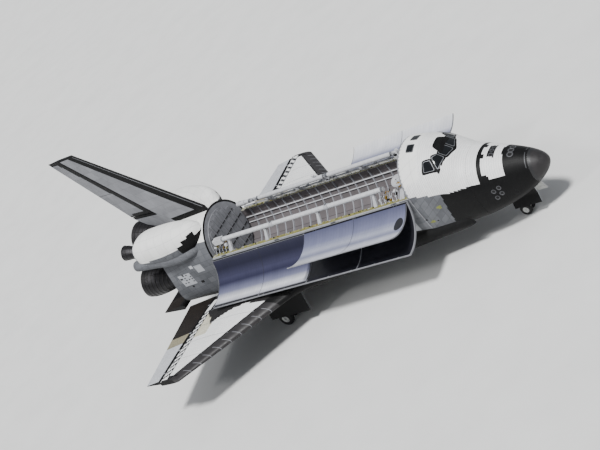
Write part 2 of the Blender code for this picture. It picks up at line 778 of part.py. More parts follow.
def make_aft_bulkhead():
    """The bay's rear wall: a ribbed disc filling the closed bay's section."""
    back = BAY_BACK - SEAT_GAP
    disc = rod("aft_bulkhead", place(back, 0, 0), place(back - 0.08, 0, 0), 2.20, "bay_liner", sides=32)
    for y in (-1.5, -1.0, -0.5, 0.0, 0.5, 1.0, 1.5):
        reach = math.sqrt(2.1**2 - y**2)
        rib = box("rib", (back - 0.16, y - 0.035, -reach), (back - 0.04, y + 0.035, reach))
        join(disc, rib)
    return disc


# Wings
def leading_station(y):
    """The leading edge's station at a distance from the centreline: an 81 degree glove, then 45 degrees."""
    glove = KINK_STATION - (KINK_HALF_SPAN - y) * math.tan(GLOVE_SWEEP)
    outer = KINK_STATION + (y - KINK_HALF_SPAN) * math.tan(WING_SWEEP)
    blend = 0.55
    if y < KINK_HALF_SPAN - blend or y > KINK_HALF_SPAN + blend:
        return outer if y > KINK_HALF_SPAN else glove
    share = (y - (KINK_HALF_SPAN - blend)) / (2 * blend)
    g0 = KINK_STATION - blend * math.tan(GLOVE_SWEEP)
    g1 = KINK_STATION + blend * math.tan(WING_SWEEP)
    middle = KINK_STATION
    return (1 - share) ** 2 * g0 + 2 * share * (1 - share) * middle + share**2 * g1


def trailing_station(y):
    return TRAILING_EDGE_CENTRE - y * math.tan(TRAILING_EDGE_SWEEP)


def thickness_shape(share):
    """A rounded-nose section's half thickness, 1 at its thickest."""
    s = min(max(share, 0.0), 1.0)
    return (0.2969 * math.sqrt(s) - 0.1260 * s - 0.3516 * s**2 + 0.2843 * s**3 - 0.1026 * s**4) / 0.10003


def wing_heights(station, y):
    """Lower and upper surface at a station and a distance from the centreline."""
    lead, trail = leading_station(y), trailing_station(y)
    share = (station - lead) / (trail - lead)
    along = (y - ROOT_HALF_SPAN) / (HALF_SPAN - ROOT_HALF_SPAN)
    thick = ROOT_THICKNESS + (TIP_THICKNESS - ROOT_THICKNESS) * along
    middle = WING_ROOT_HEIGHT + (y - ROOT_HALF_SPAN) * math.tan(DIHEDRAL)
    shape = thickness_shape(share) * thick + 0.012
    return middle - (1 - UPPER_SHARE) * shape, middle + UPPER_SHARE * shape


def wing_section(y, front, back, count):
    """A closed ring of points round the wing between two stations."""
    upper, lower = [], []
    for k in range(count + 1):
        share = (k / count) ** 1.6
        station = front + (back - front) * share
        low, high = wing_heights(station, y)
        upper.append(place(station, y, high))
        lower.append(place(station, y, low))
    return upper + lower[::-1]


def edge_back(y):
    """Where the carbon leading edge ends and the wing proper begins."""
    return leading_station(y) + EDGE_DEPTH * (1.5 if y < KINK_HALF_SPAN + 0.6 else 1.0)


def along_hinge(y, measure):
    """A measure of the wing on the hinge line, straight between the elevons' ends so that they can turn."""
    ends = (ELEVON_INNER, ELEVON_SPLIT, ELEVON_OUTER)
    inner, outer = ends[:2] if y < ELEVON_SPLIT else ends[1:]
    first, last = (measure(*wing_heights(ELEVON_HINGE, end)) for end in (inner, outer))
    return first + (last - first) * (y - inner) / (outer - inner)


def hinge_radius(y):
    return along_hinge(y, lambda low, high: (high - low) / 2)


def hinge_height(y):
    return along_hinge(y, lambda low, high: (high + low) / 2)


def wing_back(y):
    return ELEVON_HINGE - hinge_radius(y) - ELEVON_GAP


def make_wing():
    """The port wing and glove behind the carbon edge, ahead of the elevons, with its wheel well."""
    rings = [wing_section(y, edge_back(y) + SEAT_GAP, wing_back(y), 6) for y in WING_STATIONS]
    wing = loft("wing_port", rings, "white_blanket")
    low, high = (MAIN_WELL_FRONT, MAIN_WELL_INNER, -4.5), (MAIN_WELL_BACK, MAIN_WELL_OUTER, MAIN_WELL_ROOF)
    cut(wing, box("well", low, high))
    for _, inner, outer in ELEVONS:
        for y, z, radius, slope in elevon_lugs(inner, outer):
            join(wing, hinge_lug(ELEVON_HINGE, y, z, radius, hinge_radius(y) + 0.20, slope))
    return wing


def make_leading_edge():
    rings = []
    for y in WING_STATIONS:
        rings.append(wing_section(y, leading_station(y), edge_back(y), 5))
    return loft("leading_edge_port", rings, "carbon_edge")


def elevon_ring(y, nose_steps=6):
    """A round nose about the hinge line, running back to the trailing edge."""
    radius, height = hinge_radius(y), hinge_height(y)
    trail = trailing_station(y)
    points = []
    for k in range(nose_steps + 1):
        angle = math.pi / 2 + math.pi * k / nose_steps
        points.append(place(ELEVON_HINGE - radius * -math.cos(angle), y, height + radius * math.sin(angle)))
    low, high = wing_heights(trail, y)
    middle = (low + high) / 2
    points.append(place(trail, y, middle - 0.02))
    points.append(place(trail, y, middle + 0.02))
    return points


def hinge_slope(y):
    """The hinge line's climb towards the tip, as an angle."""
    return math.atan(hinge_height(y + 0.01) / 0.01 - hinge_height(y) / 0.01)


def squared_to_hinge(obj, centre, slope):
    """Turns a lug or its slot so that its sides are square to a hinge line that climbs."""
    turn = Matrix.Rotation(slope, 4, "X")
    obj.data.transform(Matrix.Translation(centre) @ turn @ Matrix.Translation(-centre))
    return obj


def hinge_lug(station, y, z, radius, reach, slope=0.0):
    """A fixed lug on a hinge line: a disc on the axis and a plate forward from it."""
    centre, across = place(station, y, z), Vector((0, LUG_HALF, 0))
    disc = rod("disc", centre - across, centre + across, radius, sides=12)
    low, high = (station - reach, y - LUG_HALF, z - radius * 0.8), (station, y + LUG_HALF, z + radius * 0.8)
    return squared_to_hinge(join(disc, box("plate", low, high)), centre, slope)


def lug_slot(station, y, z, radius, slope=0.0):
    """The slot in a control surface's nose for its fixed lug."""
    half = LUG_HALF + SEAT_GAP
    back = station + radius + 2 * RUNNING_GAP
    slot = box("slot", (station - 1.0, y - half, z - 1.0), (back, y + half, z + 1.0))
    return squared_to_hinge(slot, place(station, y, z), slope)


def elevon_lugs(inner, outer):
    """Where an elevon's lugs are, how large, and how they are turned."""
    lugs = []
    for share in (0.2, 0.8):
        y = inner + (outer - inner) * share
        lugs.append((y, hinge_height(y), hinge_radius(y) * 0.6, hinge_slope(y)))
    return lugs


def make_elevon(name, inner, outer):
    count = 3
    rings = [elevon_ring(inner + (outer - inner) * k / count) for k in range(count + 1)]
    elevon = loft(name, rings, "white_blanket")
    return cut(elevon, *[lug_slot(ELEVON_HINGE, *lug) for lug in elevon_lugs(inner, outer)])


def make_body_flap():
    rings = []
    for y in (-FLAP_HALF_SPAN, FLAP_HALF_SPAN):
        ring = []
        for k in range(9):
            angle = math.pi / 2 + math.pi * k / 8
            aft, rise = FLAP_RADIUS * math.cos(angle), FLAP_RADIUS * math.sin(angle)
            ring.append(place(FLAP_HINGE + aft, y, FLAP_HINGE_Z + rise))
        ring.append(place(FLAP_HINGE + FLAP_CHORD, y, FLAP_HINGE_Z - 0.03))
        ring.append(place(FLAP_HINGE + FLAP_CHORD, y, FLAP_HINGE_Z + 0.03))
        rings.append(ring)
    flap = loft("body_flap", rings, "black_tile")
    return cut(flap, *[lug_slot(FLAP_HINGE, y, FLAP_HINGE_Z, FLAP_LUG_RADIUS) for y in FLAP_LUGS])


# Vertical fin and its split rudder
def fin_chord(z):
    share = (z - FIN_ROOT_HEIGHT) / (FIN_TIP_HEIGHT - FIN_ROOT_HEIGHT)
    lead = FIN_LEADING_ROOT + (z - FIN_ROOT_HEIGHT) * math.tan(WING_SWEEP)
    chord = FIN_ROOT_CHORD + (FIN_TIP_CHORD - FIN_ROOT_CHORD) * share
    hinge = lead + FIN_HINGE_SHARE * chord
    return lead, hinge, lead + chord


def fin_ring(z, back=None, foot=0.0, slim=0.0):
    """A wedge from a small round nose to the hinge line.

    Its aft part rises by foot for each metre. It is slim where it runs on inside the foot and cap.
    """
    lead, hinge, trail = fin_chord(z)
    end = hinge if back is None else back
    half = (hinge - lead) * FIN_WEDGE
    nose = 0.07
    points = []
    shape = [(lead, 0.0), (lead + 0.03, nose * 0.75), (lead + 0.12, nose + 0.02), (hinge - RUDDER_GAP, half)]
    if back is not None:
        taper = half * (trail - end) / (trail - hinge)
        shape[3] = (hinge, half)
        shape.append((end, max(taper, 0.02)))
    for station, y in shape:
        points.append((station + slim, max(y - slim, 0.0)))
    outline = points + [(s, -y) for s, y in reversed(points) if y > 0]
    return [place(s, y, z + foot * max(0.0, s - FIN_FOOT_BREAK)) for s, y in outline]


def make_fin():
    """The fixed fin: a full-chord foot below the rudder, the blade ahead of it, and the cap above it."""
    foot_rings = []
    top = RUDDER_BOTTOM - RUDDER_FOOT_GAP
    sections = ((2.30, 0.35, FIN_FOOT_RISE), (3.1, 0.35, 0.0), (top, 0.0, 0.0))
    for z, short, rise in sections:
        foot_rings.append(fin_ring(z, back=fin_chord(z)[2] - short, foot=rise))
    foot = loft("vertical_fin", foot_rings, "white_blanket")
    blade_rings = [fin_ring(z, slim=BLADE_SLIM) for z in (3.4, 7.0, RUDDER_TOP + 0.05)]
    cap_rings = [fin_ring(z, back=fin_chord(z)[2]) for z in (RUDDER_TOP + RUDDER_GAP, FIN_TIP_HEIGHT)]
    join(foot, loft("blade", blade_rings), loft("cap", cap_rings))
    for side in (1, -1):
        join(foot, *[rudder_knuckle(z, side, RUDDER_KNUCKLE, 0.0) for z in RUDDER_KNUCKLES])
    doors = box("doors", (BAY_FRONT, -1.0, 2.0), (BAY_BACK, 1.0, FIN_ROOT_HEIGHT + 1.0))
    return cut(foot, hull_trim(25.5), doors)


def rudder_knuckle(z, side, radius, spare):
    """A short cylinder on a rudder half's hinge line."""
    low, high = rudder_hinge(z - 0.12), rudder_hinge(z + 0.12)
    along = (high - low).normalized() * spare
    ends = [Vector((p.x, side * p.y, p.z)) for p in (low - along, high + along)]
    return rod("knuckle", ends[0], ends[1], radius, sides=10)


def rudder_hinge(z):
    lead, hinge, _ = fin_chord(z)
    return place(hinge, (hinge - lead) * FIN_WEDGE, z)


def make_rudder():
    """The port half: a wedge whose outer face carries on from the fin's."""
    rings = []
    for z in (RUDDER_BOTTOM, RUDDER_TOP):
        lead, hinge, trail = fin_chord(z)
        half = (hinge - lead) * FIN_WEDGE
        bevel = half * math.tan(RUDDER_BEVEL)
        section = ((hinge, half), (hinge + bevel, 0.004), (trail, 0.004), (trail, 0.030))
        rings.append([place(station, y, z) for station, y in section])
    rudder = loft("rudder_port", rings, "white_blanket")
    radius = RUDDER_KNUCKLE + RUNNING_GAP
    return cut(rudder, *[rudder_knuckle(z, 1, radius, SEAT_GAP) for z in RUDDER_KNUCKLES])


def make_oms_pod():
    rings = []
    for station, cy, cz, width, height in POD_TABLE:
        ring = []
        for k in range(20):
            angle = 2 * math.pi * k / 20
            c, s = math.cos(angle), math.sin(angle)
            y = cy + width * math.copysign(abs(c) ** (2 / POD_FULLNESS), c)
            z = cz + height * math.copysign(abs(s) ** (2 / POD_FULLNESS), s)
            ring.append(place(station, y, z))
        rings.append(ring)
    pod = loft("oms_pod_port", rings, "white_blanket")
    front, back = place(STINGER_FRONT, STINGER_Y - 0.20, STINGER_Z), place(STINGER_BACK, STINGER_Y, STINGER_Z)
    return join(pod, rod("stinger", front, back, STINGER_RADIUS, sides=16))


def bell_profile(length, start, throat, exit_radius, wall, steps):
    """Outer wall out to the lip, then the inner wall back to a closed throat."""
    outer, inner = [], []
    for k in range(steps + 1):
        share = k / steps
        along = start + (length - start) * share
        radius = throat + (exit_radius - throat) * (1 - (1 - share) ** 1.75)
        outer.append((along, radius))
        inner.append((along, radius - wall))
    closing = (start + wall * 2, 0.0)
    return [(start, 0.0)] + outer + inner[:0:-1] + [closing]


def engine_axis(pitch, yaw):
    """The direction of an exhaust, aft and turned up and out by two angles in degrees."""
    up, out = math.radians(pitch), math.radians(yaw)
    return Vector((-math.cos(up) * math.cos(out), math.sin(out), math.sin(up))).normalized()


def make_main_engine(name, station, y, z, pitch, yaw, dome_radius):
    """The bell with its hat bands and the domed shield at its root."""
    axis = engine_axis(pitch, yaw)
    origin = place(station, y, z)
    profile = bell_profile(MAIN_BELL_LENGTH, MAIN_BELL_START, MAIN_BELL_THROAT, MAIN_BELL_EXIT, BELL_WALL, 6)
    engine = turned(name, profile, origin, axis, 20, "engine_metal")
    bm = bmesh.new()
    turn = axis.to_track_quat("Z", "Y").to_matrix().to_4x4()
    frame = Matrix.Translation(origin) @ turn
    bmesh.ops.create_uvsphere(bm, u_segments=16, v_segments=9, radius=dome_radius, matrix=frame)
    dome = object_from("dome", bm)
    join(dome, engine)
    dome.name = name
    dome.data.materials.clear()
    dome.data.materials.append(material("engine_metal"))
    return cut(dome, hull_trim(25.5))


def make_oms_engine():
    axis = engine_axis(15.0, 5.0)
    _, y, z, _, _ = POD_TABLE[-1]
    origin = place(OMS_BELL_START, y, z)
    profile = bell_profile(OMS_BELL_LENGTH, 0.30, 0.26, OMS_BELL_EXIT, 0.03, 4)
    bell = turned("oms_engine_port", profile, origin, axis, 20, "engine_metal")
    front, back = place(POD_TABLE[-1][0] + SEAT_GAP, y, z + 0.06), place(OMS_BELL_START + 0.42, y, z + 0.06)
    return join(bell, rod("neck", front, back, 0.22, sides=16))


# Landing gear
def ground_height(station, tyre_radius):
    """The airframe height of an axle whose tyre stands on one of its flats once the vehicle is pitched."""
    x = LENGTH / 2 - station
    flat = tyre_radius * math.cos(math.pi / TYRE_SIDES)
    return (flat - BAY_AXIS_HEIGHT + x * math.sin(PARKED_PITCH)) / math.cos(PARKED_PITCH)


def make_wheels(name, station, y, z, offset, tyre_radius, tyre_width, axle_radius, sleeve_half):
    """Two rims on one axle, and their two tyres, turned so that the tyres stand on a flat."""
    rim = tyre_radius * RIM_SHARE
    centre = place(station, y, z)
    across = Vector((0, 1, 0))
    reach = across * (offset + tyre_width * 0.42)
    axle = rod(name + "_axle", centre - reach, centre + reach, axle_radius, "bare_metal", sides=16)
    tyres = []
    for way, label in ((1, "left"), (-1, "right")):
        middle = centre + across * way * offset
        half = tyre_width * 0.40
        collar = centre + across * way * (sleeve_half + SEAT_GAP)
        join(axle, rod("collar", collar, middle, axle_radius + COLLAR_STEP, sides=16))
        join(axle, rod("rim", middle - across * half, middle + across * half, rim - SEAT_GAP * 2, sides=24))
        w, r = tyre_width / 2, tyre_radius
        profile = [
            (-w * 0.80, rim),
            (-w, rim + (r - rim) * 0.40),
            (-w * 0.86, rim + (r - rim) * 0.86),
            (-w * 0.42, r),
            (w * 0.42, r),
            (w * 0.86, rim + (r - rim) * 0.86),
            (w, rim + (r - rim) * 0.40),
            (w * 0.80, rim),
            (-w * 0.80, rim),
        ]
        tyres.append(turned(name + "_tyre_" + label, profile, middle, across, TYRE_SIDES, "tyre_rubber"))
    level = Matrix.Rotation(math.pi / TYRE_SIDES - PARKED_PITCH, 4, across)
    for obj in (axle, *tyres):
        obj.data.transform(Matrix.Translation(centre) @ level @ Matrix.Translation(-centre))
    return axle, tyres


def bearing(name, centre, half_length, axle_radius, wall, finish):
    """A sleeve round the axle, open along it."""
    across = Vector((0, 1, 0))
    inner, outer = centre - across * half_length, centre + across * half_length
    sleeve = rod(name, inner, outer, axle_radius + wall, finish, sides=16)
    bore = rod("bore", centre - across * 2, centre + across * 2, axle_radius + AXLE_CLEARANCE, sides=16)
    return sleeve, bore


def make_nose_gear():
    """The fixed leg with its brace, and the steered fork below it."""
    z = ground_height(NOSE_AXLE_STATION, NOSE_TYRE_RADIUS)
    centre = place(NOSE_AXLE_STATION, 0, z)
    top = place(NOSE_AXLE_STATION, 0, NOSE_WELL_ROOF - SEAT_GAP * 2)
    collar = place(NOSE_AXLE_STATION, 0, NOSE_STEER_TOP + SEAT_GAP)
    leg = rod("nose_leg", top, collar, 0.105, "strut_white", sides=20)
    pivot_half = Vector((0, NOSE_WELL_HALF - SEAT_GAP * 2, 0))
    pivot = place(NOSE_AXLE_STATION, 0, -2.45)
    trunnion = rod("trunnion", pivot - pivot_half, pivot + pivot_half, 0.06, sides=12)
    join(leg, trunnion)
    for side in (1, -1):
        foot = place(NOSE_AXLE_STATION - 0.02, side * 0.06, -3.30)
        head = place(NOSE_BRACE_STATION, side * 0.34, -2.35)
        join(leg, rod("brace", foot, head, 0.04, sides=10))
    middle, half = place(NOSE_BRACE_STATION, 0, -2.35), Vector((0, NOSE_WELL_HALF - SEAT_GAP, 0))
    join(leg, rod("cross", middle - half, middle + half, 0.045, sides=12))
    name = "nose_steering_fork"
    sleeve, bore = bearing(name, centre, NOSE_SLEEVE_HALF, NOSE_AXLE_RADIUS, 0.035, "bare_metal")
    steer_top = place(NOSE_AXLE_STATION, 0, NOSE_STEER_TOP)
    piston = rod("piston", place(NOSE_AXLE_STATION, 0, z + 0.02), steer_top, 0.07, sides=20)
    ring = rod("ring", steer_top - Vector((0, 0, 0.10)), steer_top, 0.115, sides=20)
    elbow = place(NOSE_AXLE_STATION + 0.30, 0, (z + NOSE_STEER_TOP) / 2)
    upper_link = beam("link", place(NOSE_AXLE_STATION + 0.02, 0, NOSE_STEER_TOP - 0.05), elbow, 0.10, 0.035)
    lower_link = beam("link", place(NOSE_AXLE_STATION + 0.02, 0, z + 0.01), elbow, 0.10, 0.035)
    join(sleeve, piston, ring, upper_link, lower_link)
    cut(sleeve, bore)
    sizes = (NOSE_WHEEL_OFFSET, NOSE_TYRE_RADIUS, NOSE_TYRE_WIDTH, NOSE_AXLE_RADIUS, NOSE_SLEEVE_HALF)
    axle, tyres = make_wheels("nose_wheels", NOSE_AXLE_STATION, 0, z, *sizes)
    return leg, sleeve, axle, tyres


def make_main_gear():
    """The port leg, fixed down, with its wheels."""
    z = ground_height(MAIN_AXLE_STATION, MAIN_TYRE_RADIUS)
    y = MAIN_TRACK_HALF
    centre = place(MAIN_AXLE_STATION, y, z)
    sleeve, bore = bearing("main_leg_port", centre, MAIN_SLEEVE_HALF, MAIN_AXLE_RADIUS, 0.06, "strut_white")
    top = place(MAIN_AXLE_STATION, y, MAIN_WELL_ROOF - SEAT_GAP * 2)
    outer = rod("cylinder", place(MAIN_AXLE_STATION, y, -4.45), top, 0.17, sides=16)
    piston = rod("piston", centre + Vector((0, 0, 0.03)), place(MAIN_AXLE_STATION, y, -4.3), 0.12, sides=14)
    pivot = place(MAIN_AXLE_STATION, y, -2.95)
    reach_in = Vector((0, y - MAIN_WELL_INNER - 0.001, 0))
    reach_out = Vector((0, MAIN_WELL_OUTER - y - 0.001, 0))
    trunnion = rod("trunnion", pivot - reach_in, pivot + reach_out, 0.09, sides=12)
    head = place(MAIN_BRACE_STATION, y, -2.95)
    brace = rod("brace", place(MAIN_AXLE_STATION, y, -4.15), head, 0.07, sides=12)
    brace_bar = rod("bar", head - reach_in, head + reach_out, 0.07, sides=12)
    elbow = place(MAIN_AXLE_STATION + 0.45, y, (z - 4.45) / 2)
    upper_link = beam("link", place(MAIN_AXLE_STATION + 0.05, y, -4.35), elbow, 0.14, 0.05)
    lower_link = beam("link", place(MAIN_AXLE_STATION + 0.05, y, z + 0.05), elbow, 0.14, 0.05)
    join(sleeve, piston, outer, trunnion, brace_bar, brace, upper_link, lower_link)
    cut(sleeve, bore)
    sizes = (MAIN_WHEEL_OFFSET, MAIN_TYRE_RADIUS, MAIN_TYRE_WIDTH, MAIN_AXLE_RADIUS, MAIN_SLEEVE_HALF)
    axle, tyres = make_wheels("main_wheels_port", MAIN_AXLE_STATION, y, z, *sizes)
    return sleeve, axle, tyres


def hanging_door(name, front, back, edge, thick, top, bend, foot, lean):
    """A door that hangs from the outer edge of a well, upright at first and then leaning outboard."""
    upright = box(name, (front, edge - thick, bend), (back, edge - SEAT_GAP, top), "black_tile")
    slack = thick * 0.1
    corners = []
    for s in (front + 0.01, back - 0.01):
        for y, z in ((edge - thick + slack, bend + thick), (edge - slack, bend + thick)):
            corners.append(place(s, y, z))
        for y in (edge + lean - thick, edge + lean):
            corners.append(place(s, y, foot))
    return join(upright, hull_of("leaf", corners))


def make_gear_doors():
    """The port nose gear door and the port main gear door."""
    front, back = NOSE_WELL_FRONT + 0.01, NOSE_WELL_BACK - 0.01
    nose = hanging_door("nose_gear_door_port", front, back, NOSE_WELL_HALF, 0.05, -2.90, -3.42, -4.02, 0.20)
    front, back = MAIN_WELL_FRONT + 0.02, MAIN_WELL_BACK - 0.02
    main = hanging_door("main_gear_door_port", front, back, MAIN_WELL_OUTER, 0.10, -3.05, -3.52, -4.85, 0.35)
    return nose, main


# Manipulator arm on the port sill, sensor boom on the starboard sill
def pedestal(name, station, side, foot, head, finish=None):
    """A leaning post on the sill. Foot and head are (half length, inner y, outer y, height)."""
    points = []
    for half, inner, outer, z in (foot, head):
        for s in (station - half, station + half):
            points += [place(s, side * inner, z), place(s, side * outer, z)]
    return hull_of(name, points, finish)


def cradle(station, side, top_y, top_z):
    """The post and pad under a tube."""
    foot = (0.16, 2.38, 2.52, SILL_TOP + SEAT_GAP)
    post = pedestal("post", station, side, foot, (0.08, top_y - 0.10, top_y + 0.12, top_z - 0.06))
    inner, outer = side * (top_y - 0.14), side * (top_y + 0.14)
    pad = box("pad", (station - 0.10, inner, top_z - 0.12), (station + 0.10, outer, top_z))
    return join(post, pad)


def make_sensor_boom():
    """The long boom with its grapple fitting, sensor head and the cradles that carry it."""
    bottom = ARM_Z - ARM_RADIUS
    front, back = place(BOOM_FRONT, -ARM_Y, ARM_Z), place(BOOM_BACK, -ARM_Y, ARM_Z)
    boom = rod("sensor_boom", front, back, ARM_RADIUS, "strut_white", sides=16)
    half = Vector((0.18, 0, 0))
    for station in BOOM_BANDS:
        middle = place(station, -ARM_Y, ARM_Z)
        join(boom, rod("band", middle - half, middle + half, ARM_RADIUS + 0.035, sides=16))
    low = (BOOM_BACK - 0.1, -ARM_Y - 0.20, ARM_Z - 0.24)
    join(boom, box("head", low, (BOOM_BACK + 0.75, -ARM_Y + 0.22, ARM_Z + 0.16)))
    for station in BOOM_CRADLES:
        post = cradle(station, -1, ARM_Y, bottom + 0.02)
        join(boom, post)
    return boom


def make_arm():
    """Shoulder and cradles fixed to the sill, then upper arm, lower arm and end effector."""
    y = ARM_Y
    across = Vector((0, 1, 0))
    shoulder = place(ARM_SHOULDER, y, ARM_Z)
    foot = (0.30, 2.34, 2.56, SILL_TOP + SEAT_GAP)
    post = pedestal("arm_shoulder", ARM_SHOULDER, 1, foot, (0.16, y - 0.18, y + 0.20, 0.80), "strut_white")
    yoke = box("yoke", (ARM_SHOULDER - 0.17, y - 0.21, 0.72), (ARM_SHOULDER + 0.17, y + 0.21, 0.88))
    join(post, yoke)
    for way in (1, -1):
        inner = shoulder + across * way * (0.10 + SEAT_GAP)
        disc = rod("cheek", inner, inner + across * way * 0.10, 0.17, sides=20)
        low = (ARM_SHOULDER - 0.17, y + way * (0.10 + SEAT_GAP), 0.80)
        plate = box("plate", low, (ARM_SHOULDER + 0.17, y + way * 0.20, ARM_Z))
        join(post, plate, disc)
    bottom = ARM_Z - ARM_RADIUS
    front, back = ARM_SHOULDER - 0.3, ARM_REST_STATIONS[-1] + 0.2
    rail = box("rail", (front, 2.39, SILL_TOP + SEAT_GAP), (back, 2.50, SILL_TOP + 0.06))
    join(post, rail, *[cradle(station, 1, y, bottom - SEAT_GAP) for station in ARM_REST_STATIONS])
    front, back = place(ARM_SHOULDER + 0.26, y, ARM_Z), place(ARM_ELBOW - 0.05, y, ARM_Z)
    upper = rod("arm_upper", front, back, ARM_RADIUS, "strut_white", sides=16)
    neck = box("neck", (ARM_SHOULDER, y - 0.09, ARM_Z - 0.12), (ARM_SHOULDER + 0.32, y + 0.09, ARM_Z + 0.12))
    join(upper, neck, rod("knob", shoulder - across * 0.10, shoulder + across * 0.10, 0.17, sides=20))
    elbow = place(ARM_ELBOW, y, ARM_Z - ELBOW_DROP)
    for way in (1, -1):
        near, far = 0.07 + SEAT_GAP, 0.14 + SEAT_GAP
        cheek = rod("cheek", elbow + across * way * near, elbow + across * way * far, 0.13, sides=16)
        section = ((-0.13, elbow.z), (0.13, elbow.z), (-0.42, ARM_Z), (-0.12, ARM_Z))
        corners = [place(ARM_ELBOW + s, y + way * w, z) for w in (near, far) for s, z in section]
        join(upper, hull_of("plate", corners), cheek)
    tip, wrist = place(ARM_TIP, y, ARM_Z), place(ARM_WRIST - WRIST_REACH, y, ARM_Z)
    lower = rod("arm_lower", place(ARM_ELBOW + 0.05, y, ARM_Z), wrist, ARM_RADIUS, "strut_white", sides=16)
    knob = rod("knob", elbow - across * 0.07, elbow + across * 0.07, 0.13, sides=16)
    section = ((-0.10, elbow.z), (0.12, elbow.z), (0.40, ARM_Z), (0.12, ARM_Z))
    lug = hull_of("lug", [place(ARM_ELBOW + s, y + w, z) for w in (-0.07, 0.07) for s, z in section])
    join(lower, lug, knob)
    join(lower, *wrist_plate(-1, -0.05, 0.05))
    start = place(ARM_WRIST + WRIST_REACH, y, ARM_Z)
    effector = rod("arm_end_effector", start, tip, ARM_RADIUS * 0.95, "strut_white", sides=16)
    join(effector, rod("can", place(ARM_TIP - 0.75, y, ARM_Z), tip, ARM_RADIUS * 1.15, sides=16))
    for way in (1, -1):
        join(effector, *wrist_plate(1, way * (0.05 + SEAT_GAP), way * 0.11))
    return post, upper, lower, effector


def wrist_plate(way, near, far):
    """A plate from a wrist pin's disc to the tube ahead of it (way -1) or behind it (way 1)."""
    pin = place(ARM_WRIST, ARM_Y, ARM_Z)
    disc = rod("disc", pin + Vector((0, near, 0)), pin + Vector((0, far, 0)), 0.12, sides=16)
    end = ARM_WRIST + way * (WRIST_REACH + 0.03)
    return box("plate", (ARM_WRIST, ARM_Y + near, ARM_Z - 0.10), (end, ARM_Y + far, ARM_Z + 0.10)), disc


def make_antenna():
    """The dish antenna at the bay's front starboard corner, on its box and post."""
    station, y = ANTENNA_STATION, ANTENNA_Y
    back = [(0.02, 0.0), (0.04, 0.16), (0.10, 0.32), (0.19, 0.45)]
    front = [(0.22, 0.45), (0.13, 0.31), (0.07, 0.15), (0.055, 0.0)]
    axis = Vector((0.10, -0.45, 0.90)).normalized()
    dish = turned("dish", back + front, place(station + 0.1, y + 0.12, 1.08), axis, 16)
    low, high = (station - 0.28, y - 0.05, 0.78), (station + 0.30, y + 0.42, 1.12)
    body = box("dish_antenna", low, high, "bare_metal")
    foot = (0.22, 2.37, 2.54, SILL_TOP + SEAT_GAP)
    post = pedestal("post", station, -1, foot, (0.12, -y - 0.30, -y + 0.02, 0.84))
    return join(body, dish, post)


# Assembly
def hinge_empty(name, location, axis=None, turn=0.0):
    """An empty on a joint's axis. What it carries is turned with it."""
    empty = bpy.data.objects.new(name, None)
    PARTS.objects.link(empty)
    empty.parent = AIRFRAME
    empty.location = location
    if axis is not None:
        empty.rotation_mode = "QUATERNION"
        empty.rotation_quaternion = Matrix.Rotation(turn, 4, axis).to_quaternion()
    return empty


def carry(parent, *objects):
    """Hangs objects, modelled in the airframe's axes, on an empty at its place before it turned."""
    for obj in objects:
        obj.parent = parent
        if parent is not AIRFRAME:
            obj.matrix_parent_inverse = Matrix.Translation(-Vector(parent.location))


def both_sides(obj):
    """The starboard copy of a port piece."""
    return mirrored(obj, obj.name.replace("port", "starboard"))


def build_airframe():
    fixed = [*make_forward_fuselage(), make_cabin_bulkhead(), make_aft_glass(), make_cabin_glass()]
    cabin, hatch = make_cabin()
    fixed += [cabin, make_flight_deck(), make_mid_fuselage()]
    fixed += [make_aft_fuselage(), make_aft_bulkhead(), make_fin()]
    for made, first in ((make_wing(), 4.0), (make_leading_edge(), 4.0), (make_oms_pod(), 25.5)):
        pair = [made, both_sides(made)]
        fixed += [cut(part, hull_trim(first)) for part in pair]
    engine = make_oms_engine()
    fixed += [engine, both_sides(engine)]
    for engine in ENGINES:
        fixed.append(make_main_engine(*engine))
    fixed += [make_sensor_boom(), make_antenna()]
    carry(AIRFRAME, *fixed)
    carry(hinge_empty("hatch_axis", hatch_hinge()), hatch)


def build_doors():
    along = Vector((1, 0, 0))
    door, radiator, aft = make_door(), make_forward_radiator(), make_aft_radiator()
    for side, label in ((1, "port"), (-1, "starboard")):
        parts = [door, radiator, aft] if side > 0 else [both_sides(p) for p in (door, radiator, aft)]
        door_line = (0, side * DOOR_HINGE_Y, DOOR_HINGE_Z)
        radiator_line = (0, side * RADIATOR_HINGE_Y, RADIATOR_HINGE_Z)
        axis = hinge_empty(f"door_axis_{label}", door_line, along, -side * DOOR_OPEN)
        radiator_axis = hinge_empty(f"radiator_axis_{label}", radiator_line, along, side * RADIATOR_DEPLOYED)
        carry(radiator_axis, parts[1])
        radiator_axis.parent = axis
        radiator_axis.matrix_parent_inverse = Matrix.Translation(-Vector(axis.location))
        carry(axis, parts[0], parts[2])


def build_controls():
    for label, inner, outer in ELEVONS:
        elevon = make_elevon(f"elevon_{label}_port", inner, outer)
        axis = place(ELEVON_HINGE, inner, hinge_height(inner))
        carry(hinge_empty(f"{label}_axis_port", axis), elevon)
        carry(hinge_empty(f"{label}_axis_starboard", (axis.x, -axis.y, axis.z)), both_sides(elevon))
    carry(hinge_empty("flap_axis", place(FLAP_HINGE, 0, FLAP_HINGE_Z)), make_body_flap())
    rudder = make_rudder()
    for side, part in ((1, rudder), (-1, both_sides(rudder))):
        foot = rudder_hinge(RUDDER_BOTTOM)
        carry(hinge_empty(f"rudder_axis_{side}", (foot.x, side * foot.y, foot.z)), part)


